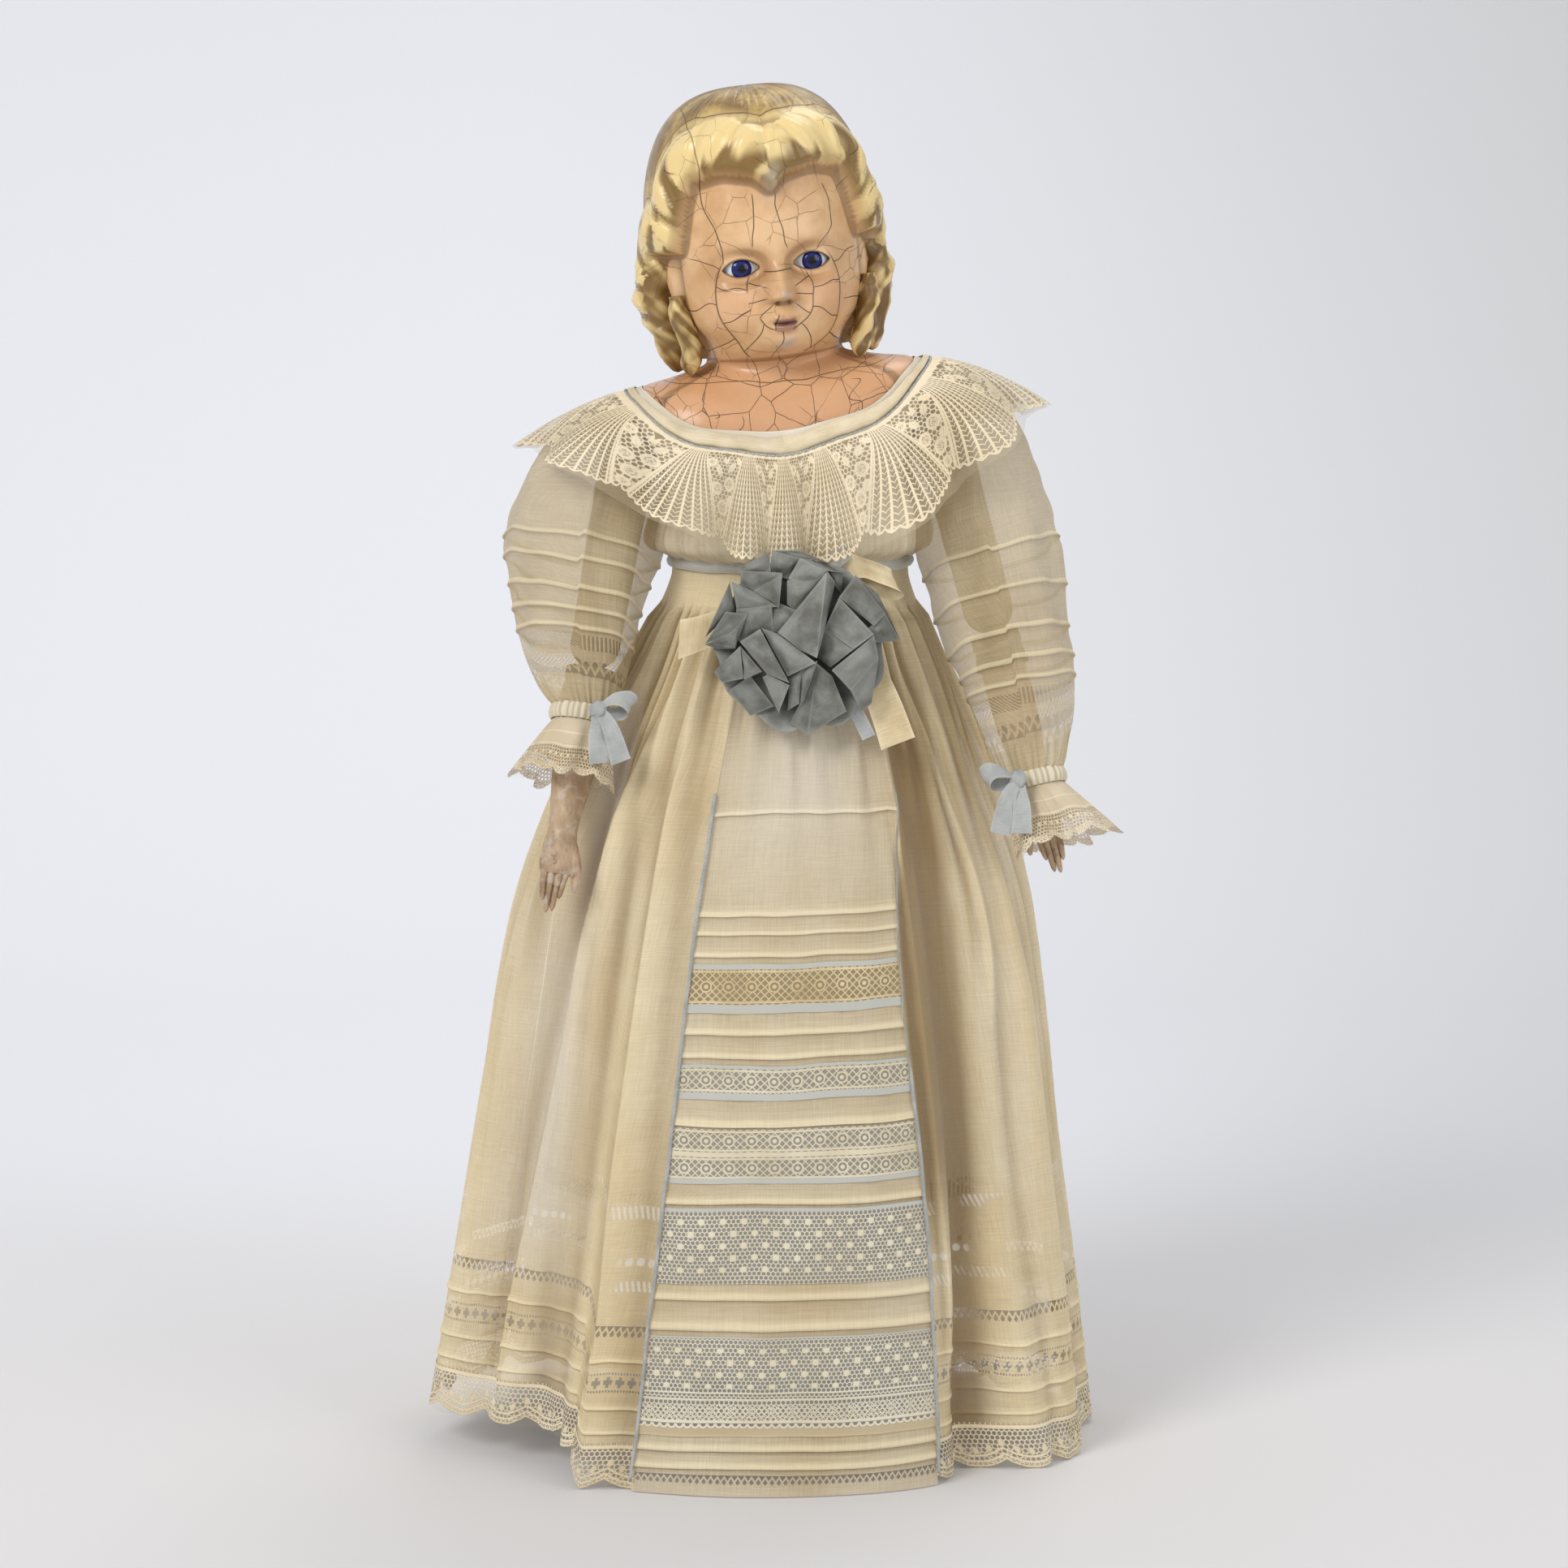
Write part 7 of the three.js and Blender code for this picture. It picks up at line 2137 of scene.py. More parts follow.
# Planes of the folded silk: corners as right, up and forward from the middle
SILK_PLANES = [
    [(10.6, 29.6, 17), (-10.4, 3.9, 13), (-1.0, -3.5, 17), (6.2, -7.2, 20)],
    [(10.6, 29.6, 17), (6.2, -7.2, 20), (9.5, 5.0, 9), (14.0, 25.5, 10)],
    [(-17.1, 5.8, 14), (-10.6, 3.6, 13), (5.8, -9.2, 20), (-6.2, -14.6, 11)],
    [(-26.4, 0.2, 10), (-17.8, 5.4, 15), (-5.4, -17.5, 14), (-14.8, -13.6, 8)],
    [(-16.8, -14.8, 8), (-14.6, -13.6, 9), (-5.4, -18.4, 14), (-10.0, -29.8, 6)],
    [(-5.6, -15.0, 9), (0.0, -12.0, 13), (-1.4, -26.0, 8), (-6.2, -28.8, 4)],
    [(0.0, -12.0, 13), (6.4, -8.2, 18), (1.2, -24.0, 8), (-1.6, -28.0, 5)],
    [(15.6, 18.7, 16), (30.4, 3.2, 12), (21.8, -3.2, 14), (9.4, 5.6, 9)],
    [(9.4, 5.6, 9), (21.8, -3.2, 13), (12.0, -10.6, 10), (6.6, -6.6, 7)],
    [(12.4, -12.0, 15), (30.4, 2.8, 12), (32.4, -6.6, 8), (20.6, -20.6, 9)],
    [(20.6, -20.6, 9), (32.4, -6.6, 8), (29.4, -26.0, 4), (25.0, -29.0, 5)],
    [(15.6, 18.9, 14), (22.6, 28.6, 7), (35.4, 12.2, 8), (30.4, 6.8, 10)],
    [(35.4, 12.2, 8), (41.6, 1.0, 3), (31.4, 0.0, 6), (27.8, 5.8, 9)],
    [(22.6, 28.6, 7), (32.4, 20.8, 4), (41.6, 1.6, 2), (35.6, 12.2, 8)],
    [(-6.0, 26.6, 13), (-0.8, 35.6, 14), (10.4, 29.8, 16), (4.8, 24.6, 14)],
    [(-6.4, 26.0, 13), (10.2, 29.0, 16), (-2.2, 12.4, 8), (-6.4, 16.2, 9)],
    [(-0.8, 35.8, 13), (11.0, 32.6, 11), (17.2, 29.6, 7), (10.6, 29.9, 15)],
    [(10.6, 32.8, 10), (17.4, 29.8, 6), (16.6, 21.0, 4), (14.0, 24.0, 8)],
    [(-14.2, 30.0, 6), (-12.4, 38.8, 8), (-0.8, 36.0, 9), (-6.2, 26.8, 7)],
    [(-12.4, 39.0, 7), (-1.4, 39.2, 4), (11.4, 34.0, 5), (-0.8, 36.2, 9)],
    [(-26.0, 32.0, 7), (-14.2, 38.6, 5), (-13.2, 30.0, 8), (-25.4, 29.6, 9)],
    [(-26.0, 30.2, 12), (-8.4, 29.2, 13), (-20.6, 21.8, 9), (-26.2, 25.2, 10)],
    [(-8.4, 29.0, 13), (-9.8, 14.4, 11), (-12.2, 16.4, 8), (-20.6, 21.8, 9)],
    [(-30.0, 25.6, 12), (-20.6, 21.6, 9), (-10.6, 15.0, 11), (-27.6, 13.2, 8)],
    [(-41.2, 2.2, 5), (-30.6, 25.6, 10), (-28.4, 13.4, 6), (-36.8, 6.4, 5)],
    [(-41.2, -0.6, 6), (-32.4, 12.8, 12), (-23.0, 11.8, 12), (-31.0, 3.4, 9)],
    [(-41.2, -0.8, 6), (-31.0, 3.4, 9), (-28.4, -2.6, 7), (-36.0, -2.6, 4)],
    [(-31.0, 3.4, 9), (-23.0, 11.8, 12), (-27.4, 0.4, 8), (-28.4, -2.6, 7)],
    [(-37.4, -12.4, 7), (-26.2, -1.6, 10), (-25.0, -15.4, 8), (-34.0, -17.0, 6)],
    [(-26.2, -1.6, 10), (-17.0, -12.4, 8), (-24.6, -15.8, 9), (-25.8, -8.4, 5)],
    [(6.2, -9.0, 13), (12.6, -14.4, 12), (18.8, -29.2, 6), (2.2, -39.2, 3)],
    [(6.2, -9.0, 13), (2.2, -39.2, 3), (-5.2, -34.2, 3), (-1.2, -26.2, 6)],
    [(-28.0, 14.0, 9), (-13.0, 16.0, 11), (-12.0, 4.5, 9), (-27.0, 0.5, 7)],
    [(-13.0, 18.0, 8), (-1.0, 13.0, 10), (-3.0, 2.0, 8), (-13.5, 5.0, 9)],
    [(-22.0, -14.0, 5), (-12.0, -27.0, 5), (-22.0, -31.0, 3), (-31.0, -20.0, 3)],
]


def from_rosette(p):
    """From right, up and forward of the rosette's middle into the doll's frame."""
    c = math.cos(ROSETTE_TILT)
    s = math.sin(ROSETTE_TILT)
    right, up, out = np.moveaxis(p, -1, 0)
    return pack(right, -out * c + up * s, out * s + up * c) + ROSETTE_AT


def silk_plane(corners, seed):
    """One folded plane with a soft swell, and the turned-back cloth behind its edges."""
    a, b, c, d = [np.array(corner, float) for corner in corners]
    n = 15
    u, v = np.meshgrid(np.linspace(0, 1, n), np.linspace(0, 1, n), indexing="ij")
    u3 = u[..., None]
    v3 = v[..., None]
    top = (a * (1 - u3) + b * u3) * (1 - v3) + (d * (1 - u3) + c * u3) * v3
    size = np.linalg.norm(a - c) + np.linalg.norm(b - d)
    swell = 16 * u * (1 - u) * v * (1 - v)
    depth = (a + b + c + d)[2] / 4
    rolled = 0.05 * size * (4 * v * (1 - v) if seed % 2 else 4 * u * (1 - u)) * (1 if seed % 3 else -0.6)
    crumple = 0.8 * noise(u * 3, v * 3, seed) + 0.4 * noise(u * 7, v * 7, seed + 60)
    top[..., 2] += swell * size * 0.02 + (rolled + crumple) * np.sqrt(swell)
    edge = np.clip(bell(np.minimum.reduce([u, 1 - u, v, 1 - v]) * size, 1.6), 0, 1)
    border = np.concatenate([top[:-1, 0], top[-1, :-1], top[:0:-1, -1], top[0, :0:-1]])
    middle = border.mean(axis=0)
    walls = []
    for share, back in ((0.0, 0.0), (0.06, 1.8), (0.3, 5.0), (0.45, 8.0)):
        ring = border + (middle - border) * share
        ring[:, 2] = np.maximum(ring[:, 2] - back, 0.6)
        walls.append(ring)
    wall = np.stack(walls)
    wall = np.concatenate([wall, wall[:, :1]], axis=1)
    deep = np.array([0.1, 0.55, 0.9, 1.0])[:, None]
    flat = pair(u * size / 2, v * size / 2)
    wall_uv = pair(np.arange(wall.shape[1])[None, :] * 1.5, np.arange(len(walls))[:, None] * 3.0)
    shade = np.clip(0.18 * (1 - swell) + 0.05 * (12 - depth), 0, 0.5)
    return (top, flat, {"edge": edge, "shade": shade}), (wall, wall_uv, {"edge": 0.0, "shade": deep})


def build_rosette(looks):
    """Rosette: the folded planes, a pleated round behind them and a stalk that draws in at the back."""
    strips = []
    for n, corners in enumerate(SILK_PLANES):
        strips += silk_plane(corners, 200 + n)
    a = circle(144)
    r = np.linspace(0.05, 1, 24)[:, None]
    rim = 36.5 + 1.6 * np.cos(9 * a + 1) + 1.5 * noise(a * 3, 0 * a, 210)
    rim = rim - 2.0 * np.maximum(np.sin(a + 0.9), 0)
    fold = 1.1 * np.abs(np.cos(7 * a + 0.4)) * r + 0.5
    base = pack(r * rim * np.sin(a), r * rim * np.cos(a), fold + 1.2 * r ** 3)
    base = np.concatenate([base, base[:, :1]], axis=1)
    strips.append((base, base[..., :2], {"edge": r ** 20, "shade": 0.85 * (1 - r ** 6)}))
    back = np.linspace(0, 1, 14)[:, None]
    stalk = mix(rim, 10.0, back ** 0.8) * (1 + 0.05 * np.cos(24 * a) * np.sin(math.pi * back))
    under = pack(stalk * np.sin(a), stalk * np.cos(a), 1.7 - 21.0 * back ** 1.6)[::-1]
    under = np.concatenate([under, under[:, :1]], axis=1)
    strips.append((under, under[..., :2] * 1.3, {"edge": 0.0, "shade": 0.25}))
    piece = ribbon_piece("silk_rosette", moved(strips, from_rosette), looks["rosette"])
    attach(piece, "torso")
    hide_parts("rosette")
    cut_sheet(piece)
    build_rosette_bow(looks)


def build_rosette_bow(looks):
    """Cream bow and blue ribbon ends behind the rosette: places as right, up and forward of its middle."""
    loop = [(13, 27, -1.5), (22, 33, 0.5), (31, 30.5, 2.5), (38, 27.5, 3.2), (40.2, 25, 0.5),
            (36, 23.5, -3.0), (26, 25.5, -4.0), (16, 22, -4.0)]
    right_tail = [(26, -6, -2.0), (31, -16, -3.2), (36, -28, -4.6), (41, -42.5, -6.0)]
    left_tail = [(-26, 8, -2.5), (-36, 7, -4.0), (-45, 4, -5.5), (-52.5, 2, -7.0)]
    blue_end = [(20, -24, -2.5), (24, -31, -3.5), (28.5, -40, -4.5)]
    end_top = [(10, 31, 1.5), (15, 36, 2.0), (19.5, 39.5, 1.0)]
    right_width = np.linspace(12, 15.5, RIBBON_ROWS)
    left_width = np.linspace(13, 17, RIBBON_ROWS)
    strips = [ribbon_grid(loop, np.array([-0.45, 0.87, 0.1]), 11.5, cup=0.9, seed=21),
              ribbon_grid(right_tail, np.array([0.93, 0.36, 0.05]), right_width, cup=1.2, seed=22),
              ribbon_grid(left_tail, np.array([0.05, 0.98, 0.1]), left_width, cup=1.0, seed=23)]
    cream = ribbon_piece("cream_bow", moved(strips, from_rosette), looks["cream_ribbon"])
    strips = [ribbon_grid(blue_end, np.array([0.9, 0.4, 0.0]), 6.0, cup=0.5, seed=24),
              ribbon_grid(end_top, np.array([0.7, -0.7, 0.0]), 7.0, cup=0.5, seed=25)]
    blue = ribbon_piece("blue_ribbon_ends", moved(strips, from_rosette), looks["bow"])
    for piece in (cream, blue):
        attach(piece, "torso")
    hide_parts("rosette_bow")
    cut_sheet(cream)


# All the looks of the doll

def edged(pattern, height, low, high):
    """A lace pattern with blue ribbon laid along its lower and upper edge."""
    def ribbon(v):
        """One where a ribbon lies, nought between them."""
        below = v.below(low, 0.2) if low else None
        above = v.above(height - high, 0.2) if high else None
        return below.most(above) if below and above else below or above

    def whole(look, u, v):
        return pattern(look, u, v).most(ribbon(v) * 0.95)

    def tone(look, shade, v):
        """Ribbon tone over the lace."""
        return look.blend(shade, BLUE_EDGE, ribbon(v) * 0.9)

    return whole, tone


def insertion_looks():
    """The five bands of lace of the panel: pattern, ribbon edges, two thread tones and the tone of the holes,
    painted as the shaded cloth seen through them.
    """
    looks = {}
    heights = [top - low + 2 * LACE_OVER for top, low in PANEL_LACES]
    # The last tone of each plan is painted shade: the grey of the shaded cloth seen through the holes.
    plans = [(flower_band(9.6, heights[0], 3.4, 3.0), 3.0, 3.0, srgb(222, 204, 164), srgb(196, 172, 128),
              srgb(184, 164, 124)),
             (flower_band(9.6, heights[1], 3.4, 2.2), 2.2, 2.2, srgb(224, 214, 190), srgb(206, 192, 160),
              srgb(180, 178, 168)),
             (flower_band(9.6, heights[2] / 2, 3.2, 1.0), 1.4, 0.0, srgb(224, 214, 190), srgb(206, 194, 164),
              srgb(184, 180, 166)),
             (dotted_net(9.0, 3.0, 2.0, 4.0, 27.5), 0.0, 2.4, srgb(226, 217, 194), srgb(212, 200, 172),
              srgb(172, 172, 166)),
             (dotted_net(9.0, 3.0, 2.0, 20.0, 37.0), 0.0, 1.6, srgb(226, 217, 194), srgb(212, 200, 172),
              srgb(172, 172, 166))]
    for n, (pattern, low, high, light, deep, hole) in enumerate(plans):
        if n == 2:
            pattern = doubled(pattern, heights[2] / 2)
        whole, tone = edged(pattern, heights[n], low, high)
        tone = netted(tone, hole, 3.4 if n == 4 else 0.0)
        if n == 4:
            whole = bordered(whole)
        looks[f"insertion_{n + 1}"] = lace_look(f"insertion_lace_{n + 1}", whole, light, deep, 0.72, tone)
    return looks


def doubled(pattern, half):
    """Two narrow bands side by side, joined by a closed line."""
    def both(look, u, v):
        folded = (v - half).size()
        return pattern(look, u, folded).most(folded.below(1.1, 0.25))
    return both


def netted(tone, hole, cloth_below):
    """The ground between the threads, painted as the shaded cloth seen through the holes, or the cloth beyond
    the edge, with the ribbon edges over it.
    """
    def tint(look, shade, v, threads):
        ground = look.blend(hole, srgb(254, 232, 190), v.below(cloth_below, 0.4)) if cloth_below else hole
        return tone(look, look.blend(ground, shade, threads.span(0.15, 0.8)), v)
    return tint


def bordered(pattern):
    """Two closed lines with a closer net between them, and small points along the lower edge."""
    def whole(look, u, v):
        lines = ((v - 18.0).near(0.4, 0.25)).most((v - 15.2).near(0.4, 0.25))
        closed = (v - 5.6).near(0.7, 0.3)
        slanted = ((u + v).repeat(2.6).size()).least((u - v).repeat(2.6).size()).below(0.34, 0.2)
        points = (reach(u.repeat(3.4), v - 4.6) - 1.5).near(0.5, 0.25) * v.below(4.8, 0.2)
        above = pattern(look, u, v) * v.above(4.9, 0.3)
        return above.most(lines).most(closed).most(points).most(slanted * v.within(5.6, 13.0, 0.2))
    return whole


def sleeve_holes(ladders):
    """A row of hemstitch and a zigzag row above the cuff, more than half closed."""
    def holes(u, v):
        cover = ladder_row(u, v, *ladders[0], 1.9)
        return (cover * zigzag_row(u, v, *ladders[1], 4.2)) * 0.6 + 0.4
    return holes


def petticoat_rows(look, u, v):
    """The white openwork of the petticoat that shows through the gown in places."""
    dashes = (u + v * 0.35).repeat(2.5).near(0.62, 0.25)
    rounds = reach(u.repeat(5.0), v - 98.5).below(1.7, 0.4)
    rows = dashes * v.within(117.0, 122.5, 0.3).most(v.within(86.0, 90.5, 0.3)) + rounds
    return rows.least(1.0) * look.mottle(45).span(0.5, 0.56) * 0.6


def side_holes(u, v):
    """Openwork of the side breadths: a zigzag row over a row of crosses."""
    cover = zigzag_row(u, v, *SIDE_ZIGZAG, 3.0)
    return cover * cross_row(u, v, *SIDE_CROSS, 5.2)


def panel_holes(u, v):
    """Drawn-thread row along the foot of the panel."""
    return zigzag_row(u, v, PANEL_DRAWN[1] + 0.8, PANEL_DRAWN[0] - 0.8, 2.9)


def linen_holes(u, v):
    """Hemstitch of the petticoat with a row of eyelets below it."""
    eyelets = reach(u.repeat(6.0), v - 100.0).below(1.3, 0.25) * -0.9 + 1.0
    return ladder_row(u, v, 118.0, 126.0, 2.4) * eyelets


def cotton_look():
    """Unbleached cotton: cloudy tone and a plain weave."""
    look = Look("body_cotton", Roughness=0.92, Specular_IOR_Level=0.15)
    u, v = look.cloth()
    where = look.place()
    tone = look.blend(srgb(160, 138, 106), srgb(128, 108, 82), look.mottle(20, where, 4.0).span(0.3, 0.7))
    look.set(Base_Color=tone)
    look.bump(u.wave(0.7) * v.wave(0.7) + look.mottle(3, where), 0.15, 0.6)
    return look.material


def wood_look():
    """Painted wood: cloudy paint worn away in patches, more towards the fingers, over a fine grain."""
    look = Look("carved_wood", Specular_IOR_Level=0.35)
    where = look.place()
    x, y, z = look.axes(where)
    grain = look.mottle(1.0, look.vector(x * 0.7, y * 0.7, z * 0.05), 4.0, 0.6)
    tone = look.blend(srgb(190, 164, 134), srgb(152, 124, 94), look.mottle(11, where, 4.0).span(0.35, 0.7))
    tone = look.blend(tone, srgb(204, 194, 180), look.mottle(6, where, 5.0, 0.6).span(0.5, 0.66) * 0.5)
    patches = look.mottle(5, look.shifted(where, 7, 6.0), 5.0, 0.65).span(0.56, 0.66)
    bare = patches * look.value("worn").span(0, 1, 0.4, 1)
    tone = look.blend(tone, srgb(120, 106, 92), bare * 0.7)
    tone = look.tint(tone, grain.span(0.2, 0.8, 0.86, 1.08))
    look.set(Base_Color=tone, Roughness=bare.span(0, 1, 0.46, 0.74))
    look.bump(grain - bare * 1.2, 0.3, 0.7)
    return look.material


def boot_look():
    """Painted shins: skin above, a dark boot below and a blue garter between, chipped in places."""
    look = Look("painted_leg", Specular_IOR_Level=0.4)
    where = look.place()
    z = look.axes(where)[2]
    skin = look.blend(srgb(206, 180, 150), srgb(176, 144, 112), look.mottle(9, where, 4.0).span(0.35, 0.7))
    boot = look.blend(srgb(58, 44, 38), srgb(96, 74, 58), look.mottle(5, where, 5.0).span(0.4, 0.75))
    garter = z.within(46.0, 50.0, 0.4)
    tone = look.blend(skin, boot, z.below(46.0, 0.3))
    tone = look.blend(tone, srgb(128, 146, 162), garter)
    chips = look.mottle(4, where, 5.0, 0.65).span(0.62, 0.7)
    tone = look.blend(tone, srgb(190, 164, 130), chips * 0.8)
    look.set(Base_Color=tone, Roughness=chips.span(0, 1, 0.38, 0.75))
    look.bump(look.mottle(2.5, where, 4.0) - chips, 0.25, 0.6)
    return look.material


def thread_look(name, light, deep):
    """Twisted thread: light and dark by a slanting wave."""
    look = Look(name, Roughness=0.7, Specular_IOR_Level=0.25, Sheen_Weight=0.15)
    u, v = look.cloth()
    twist = (u + v * 0.8).wave(1.3)
    where = look.place()
    tone = look.blend(light, deep, look.mottle(8, where, 4.0).span(0.3, 0.7))
    look.set(Base_Color=look.tint(tone, twist.span(-1, 1, 0.82, 1.08)))
    look.bump(twist, 0.25, 0.8)
    return look.material


SLEEVE_TONE = srgb(218, 201, 166)
SLEEVE_DEEP = srgb(200, 178, 136)


def make_looks():
    """Every look of the clothes and the body, by its name."""
    looks = {
        "panel": muslin_look("panel_muslin", alpha=0.66, light=srgb(233, 217, 184), deep=srgb(216, 194, 150),
                             holes=panel_holes),
        "breadth": muslin_look("skirt_muslin", alpha=0.72, holes=side_holes, behind=petticoat_rows),
        "bodice": muslin_look("bodice_muslin", alpha=0.84),
        "sleeve_left": muslin_look("left_sleeve_muslin", alpha=0.64, light=SLEEVE_TONE, deep=SLEEVE_DEEP,
                                   holes=sleeve_holes(ARMS["left"]["ladders"])),
        "sleeve_right": muslin_look("right_sleeve_muslin", alpha=0.64, light=SLEEVE_TONE, deep=SLEEVE_DEEP,
                                    holes=sleeve_holes(ARMS["right"]["ladders"])),
        "casing": muslin_look("casing_muslin", alpha=0.97, light=srgb(220, 218, 210),
                              deep=srgb(190, 192, 190)),
        "linen": muslin_look("white_linen", alpha=0.98, light=srgb(240, 234, 222), deep=srgb(222, 210, 188),
                             stain=0.15, holes=linen_holes),
        "binding": silk_look("neck_binding_silk", srgb(240, 225, 194), srgb(222, 204, 166), 0.12, 0.2, 0.6),
        "collar": lace_look("collar_lace_threads", collar_pattern, srgb(241, 226, 196),
                            srgb(228, 210, 174), 0.26),
        "frill": lace_look("frill_lace_threads", frill_pattern, srgb(232, 218, 192),
                           srgb(206, 186, 150), 0.05),
        "hem_lace": lace_look("hem_lace_threads", hem_pattern, srgb(234, 220, 190),
                              srgb(216, 198, 160), 0.12),
        "cord": thread_look("blue_cord_thread", srgb(206, 208, 206), srgb(178, 182, 182)),
        "stitch": thread_look("chain_stitch_thread", srgb(232, 232, 226), srgb(196, 200, 200)),
        "thread": thread_look("binding_thread", srgb(208, 196, 170), srgb(170, 152, 122)),
        "rosette": silk_look("blue_grey_silk", chosen("silk_tone"), srgb(98, 98, 90), 0.6, 0.25, 0.5),
        "cream_ribbon": silk_look("cream_silk_ribbon", srgb(232, 214, 176), srgb(208, 186, 142), 0.3, 0.25,
                                  0.5),
        "bow": silk_look("pale_blue_ribbon", chosen("ribbon_tone"), srgb(152, 154, 150), 0.05, 0.25, 0.45),
        "waist": silk_look("waist_blue_ribbon", srgb(208, 208, 202), srgb(190, 188, 178), 0.1, 0.25, 0.5),
        "cotton": cotton_look(),
        "wood": wood_look(),
        "boot": boot_look(),
    }
    looks.update(insertion_looks())
    return looks


# Stage: floor, light and camera

CAMERA_AT = (0.002, -2.0, 0.61)
CAMERA_DOWN = math.radians(9.0)
CAMERA_VIEW = math.radians(19.42)
SKY_COLOUR = (0.95, 0.97, 1.0, 1.0)
SKY_STRENGTH = 0.55
KEY_COLOUR = (1.0, 0.985, 0.96)
FILL_POWER = 14
BACK_POWER = 12
# Floor in millimetres, and the shares of its length at which it starts and stops to bend
FLOOR_HALF = 7000
FLOOR_BACK = 900
FLOOR_BEND = 700.0
WALL_RISE = 2400
BEND_START = 0.45
BEND_SHARE = 0.25


def stage_floor():
    """A floor that curves up into a backdrop, its paper painted darker to the right and on the floor and
    paler higher up, as painted light and shade.
    """
    s = np.linspace(0, 1, 60)
    bend = np.clip((s - BEND_START) / BEND_SHARE, 0, 1) * math.pi / 2
    level = s < BEND_START
    y = np.where(level, mix(-FLOOR_HALF, FLOOR_BACK, s / BEND_START), FLOOR_BACK + FLOOR_BEND * np.sin(bend))
    z = np.where(level, 0.0, FLOOR_BEND * (1 - np.cos(bend))) + np.maximum(s - 0.7, 0) / 0.3 * WALL_RISE
    x = np.linspace(-FLOOR_HALF, FLOOR_HALF, 24)
    grid = pack(x[None, :], y[:, None], z[:, None])
    look = Look("studio_paper", Roughness=0.95, Specular_IOR_Level=0.1)
    x, y, z = look.axes()
    # Painted light and shade on the paper: darker towards the right, paler higher up, and darker on the floor
    # than on the wall.
    wall = look.blend(srgb(236, 237, 241), srgb(210, 210, 211), x.span(-250, 900))
    wall = look.blend(wall, srgb(230, 230, 233), z.span(500, 1500) * 0.6)
    look.set(Base_Color=look.blend(srgb(224, 222, 222), wall, y.span(-50, 650)))
    behind = look.node("NewGeometry")
    clear = look.node("BsdfTransparent")
    either = look.node("MixShader")
    look.tree.links.new(behind.outputs["Backfacing"], either.inputs[0])
    look.tree.links.new(look.shader.outputs[0], either.inputs[1])
    look.tree.links.new(clear.outputs[0], either.inputs[2])
    look.tree.links.new(either.outputs[0], look.tree.nodes["Material Output"].inputs["Surface"])
    floor = grid_piece("studio_floor", grid[::-1], look.material)


def area_light(name, at, target, size, power, colour=(1, 1, 1)):
    """A round lamp at a place, turned towards a target."""
    lamp = bpy.data.lights.new(name, "AREA")
    lamp.shape = "DISK"
    lamp.size = size
    lamp.energy = power
    lamp.color = colour
    holder = bpy.data.objects.new(name, lamp)
    holder.location = at
    way = np.array(target, float) - np.array(at, float)
    flat = math.hypot(way[0], way[1])
    holder.rotation_euler = (math.atan2(flat, -way[2]), 0.0, math.atan2(way[1], way[0]) - math.pi / 2)
    bpy.context.scene.collection.objects.link(holder)


def show_pale_sky(tree):
    """Behind the floor the sky is as pale as the paper, without adding light to the doll."""
    path = tree.nodes.new("ShaderNodeLightPath")
    seen = tree.nodes["Background"].outputs[0]
    pale = tree.nodes.new("ShaderNodeBackground")
    pale.inputs["Color"].default_value = srgb(226, 227, 231)
    either = tree.nodes.new("ShaderNodeMixShader")
    total = path.outputs["Is Camera Ray"]
    for ray in ("Is Glossy Ray", "Is Transmission Ray"):
        step = tree.nodes.new("ShaderNodeMath")
        step.operation = "MAXIMUM"
        tree.links.new(total, step.inputs[0])
        tree.links.new(path.outputs[ray], step.inputs[1])
        total = step.outputs[0]
    tree.links.new(total, either.inputs[0])
    tree.links.new(seen, either.inputs[1])
    tree.links.new(pale.outputs[0], either.inputs[2])
    tree.links.new(either.outputs[0], tree.nodes["World Output"].inputs["Surface"])


LOOKS = {}


def shared_looks():
    """Materials of the clothes and the body, made once."""
    if not LOOKS:
        LOOKS.update(make_looks())
    return LOOKS


def build_stage():
    """Floor, sky, three lamps and the camera of the photograph."""
    stage_floor()
    world = bpy.data.worlds.new("studio")
    world.use_nodes = True
    sky = world.node_tree.nodes["Background"]
    sky.inputs["Color"].default_value = SKY_COLOUR
    sky.inputs["Strength"].default_value = SKY_STRENGTH
    show_pale_sky(world.node_tree)
    bpy.context.scene.world = world
    area_light("key", (-1.5, -1.9, 2.1), (0, 0, 0.32), 1.3, bpy.context.scene.doll.key_power,
               KEY_COLOUR)
    area_light("fill", (1.9, -1.7, 1.2), (0, 0, 0.3), 1.6, FILL_POWER)
    area_light("back", (0.6, 1.2, 2.2), (0, 0.2, 0.3), 1.4, BACK_POWER)
    lens = bpy.data.cameras.new("photo_view")
    lens.sensor_fit = "HORIZONTAL"
    lens.angle = CAMERA_VIEW
    lens.clip_end = 50.0
    camera = bpy.data.objects.new("photo_view", lens)
    camera.location = CAMERA_AT
    camera.rotation_euler = (math.pi / 2 - CAMERA_DOWN, 0.0, 0.0)
    bpy.context.scene.collection.objects.link(camera)
    bpy.context.scene.camera = camera
    bpy.context.scene.view_settings.view_transform = "Standard"


# The add-on: what can be changed, and one step for each group of pieces

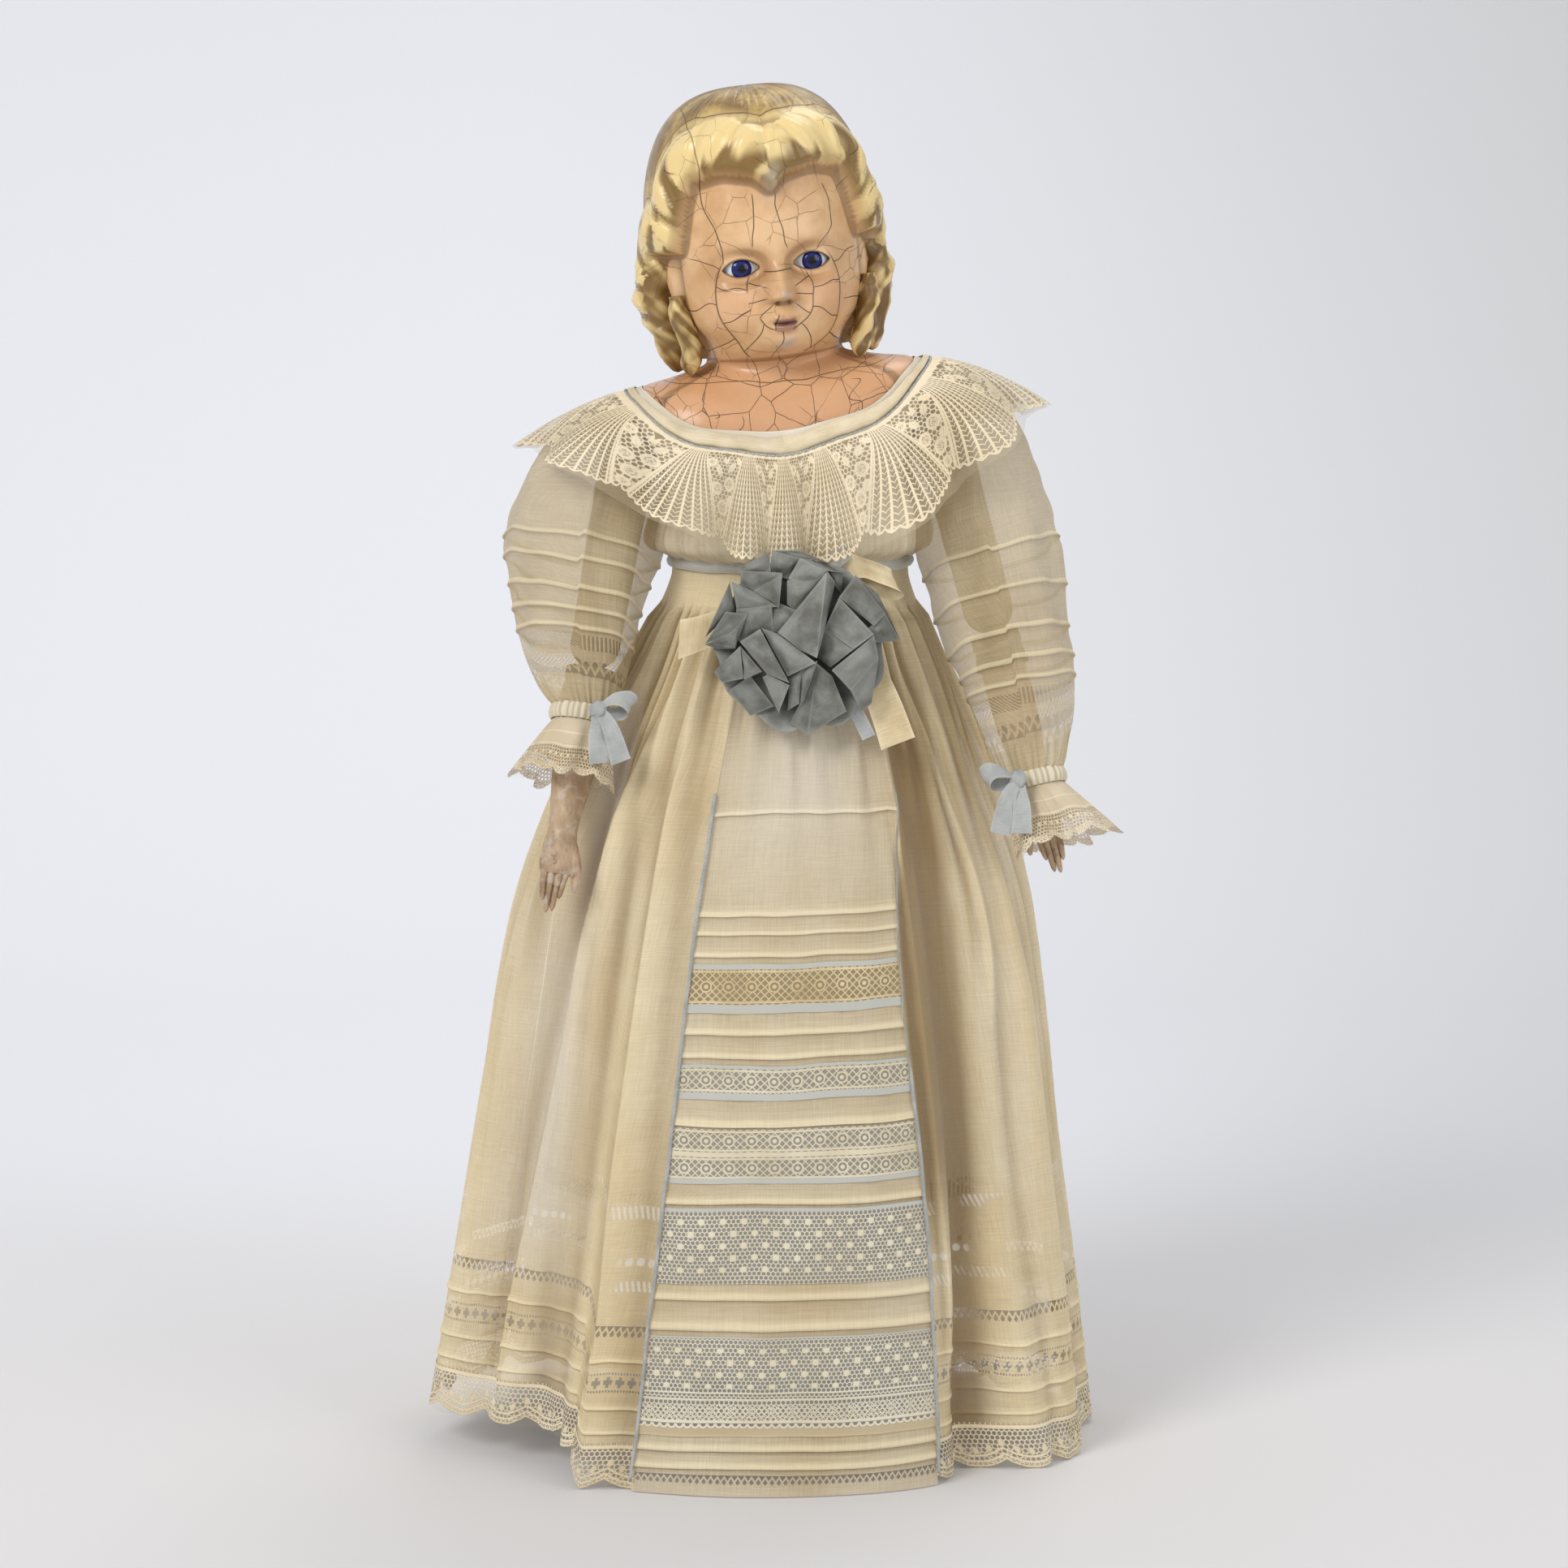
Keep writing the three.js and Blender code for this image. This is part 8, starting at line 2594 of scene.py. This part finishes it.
class DollSettings(bpy.types.PropertyGroup):
    """Colours and sizes that can be changed before the steps are run"""
    cloth_tone: bpy.props.FloatVectorProperty(
        name="Muslin", description="Lightest tone of the gown's cloth", subtype="COLOR", size=4,
        min=0.0, max=1.0, default=CREAM)
    cloth_deep: bpy.props.FloatVectorProperty(
        name="Yellowed muslin", description="Tone of the gown's cloth where it has yellowed",
        subtype="COLOR", size=4, min=0.0, max=1.0, default=CREAM_DEEP)
    silk_tone: bpy.props.FloatVectorProperty(
        name="Rosette silk", description="Lightest tone of the rosette", subtype="COLOR", size=4,
        min=0.0, max=1.0, default=srgb(152, 153, 146))
    ribbon_tone: bpy.props.FloatVectorProperty(
        name="Cuff ribbon", description="Lightest tone of the bows on the cuffs", subtype="COLOR", size=4,
        min=0.0, max=1.0, default=srgb(184, 186, 184))
    skin_tone: bpy.props.FloatVectorProperty(
        name="Wax", description="Lightest tone of the face", subtype="COLOR", size=4,
        min=0.0, max=1.0, default=srgb(232, 193, 147))
    hair_tone: bpy.props.FloatVectorProperty(
        name="Hair", description="Lightest tone of the moulded hair", subtype="COLOR", size=4,
        min=0.0, max=1.0, default=srgb(238, 211, 148))
    iris_tone: bpy.props.FloatVectorProperty(
        name="Iris", description="Lightest tone of the glass eyes", subtype="COLOR", size=4,
        min=0.0, max=1.0, default=srgb(20, 36, 124))
    crack_width: bpy.props.FloatProperty(
        name="Crack", description="Half the width of the long cracks in the wax", unit="LENGTH",
        min=0.0, precision=5, default=0.19 * MM)
    sleeve_tuck: bpy.props.FloatProperty(
        name="Sleeve tuck", description="Depth of each tuck sewn round a sleeve", unit="LENGTH",
        min=0.001, precision=5, default=2.3 * MM)
    collar_repeat: bpy.props.FloatProperty(
        name="Collar repeat", description="Width of one repeat of the lace collar", unit="LENGTH",
        min=0.01, precision=5, default=33.0 * MM)
    key_power: bpy.props.FloatProperty(
        name="Key light", description="Power of the main light", unit="POWER", min=0.0, default=42.0)


class DOLL_OT_stage(bpy.types.Operator):
    """Floor, light and camera"""
    bl_idname = "doll.stage"
    bl_label = "Stage"

    def execute(self, context):
        build_stage()
        return {"FINISHED"}


class DOLL_OT_head(bpy.types.Operator):
    """Wax head, ringlets and glass eyes"""
    bl_idname = "doll.head"
    bl_label = "Head"

    def execute(self, context):
        build_head()
        build_eyes()
        return {"FINISHED"}


class DOLL_OT_body(bpy.types.Operator):
    """Stuffed body, arms and legs"""
    bl_idname = "doll.body"
    bl_label = "Body"

    def execute(self, context):
        looks = shared_looks()
        build_torso(looks)
        build_arms(looks)
        build_legs(looks)
        return {"FINISHED"}


class DOLL_OT_skirt(bpy.types.Operator):
    """Petticoat, tucked panel, breadths and hem lace"""
    bl_idname = "doll.skirt"
    bl_label = "Skirt"

    def execute(self, context):
        looks = shared_looks()
        build_petticoat(looks)
        build_panel(looks)
        build_breadths(looks)
        return {"FINISHED"}


class DOLL_OT_bodice(bpy.types.Operator):
    """Bodice, lace collar and sleeves"""
    bl_idname = "doll.bodice"
    bl_label = "Bodice"

    def execute(self, context):
        looks = shared_looks()
        build_bodice(looks)
        build_collar(looks)
        build_sleeves(looks)
        return {"FINISHED"}


class DOLL_OT_trim(bpy.types.Operator):
    """Ribbons, bows and rosette"""
    bl_idname = "doll.trim"
    bl_label = "Trim"

    def execute(self, context):
        looks = shared_looks()
        build_waist(looks)
        build_cuff_bows(looks)
        build_rosette(looks)
        return {"FINISHED"}


STEPS = (DOLL_OT_stage, DOLL_OT_head, DOLL_OT_body, DOLL_OT_skirt, DOLL_OT_bodice, DOLL_OT_trim)


class DOLL_PT_panel(bpy.types.Panel):
    """Steps of the doll in the sidebar"""
    bl_idname = "DOLL_PT_panel"
    bl_label = "Doll"
    bl_space_type = "VIEW_3D"
    bl_region_type = "UI"
    bl_category = "Doll"

    def draw(self, context):
        """One row for each setting and one button for each step."""
        for setting in DollSettings.__annotations__:
            self.layout.prop(context.scene.doll, setting)
        for step in STEPS:
            self.layout.operator(step.bl_idname)


def register():
    """Adds the settings, the steps and the panel."""
    for kind in (DollSettings, *STEPS, DOLL_PT_panel):
        bpy.utils.register_class(kind)
    bpy.types.Scene.doll = bpy.props.PointerProperty(type=DollSettings)


def unregister():
    """Takes the settings, the steps and the panel away again."""
    del bpy.types.Scene.doll
    for kind in (DOLL_PT_panel, *STEPS[::-1], DollSettings):
        bpy.utils.unregister_class(kind)


def main():
    """Runs every step in order."""
    register()
    bpy.ops.doll.stage()
    bpy.ops.doll.head()
    bpy.ops.doll.body()
    bpy.ops.doll.skirt()
    bpy.ops.doll.bodice()
    bpy.ops.doll.trim()


if __name__ == "__main__":
    main()
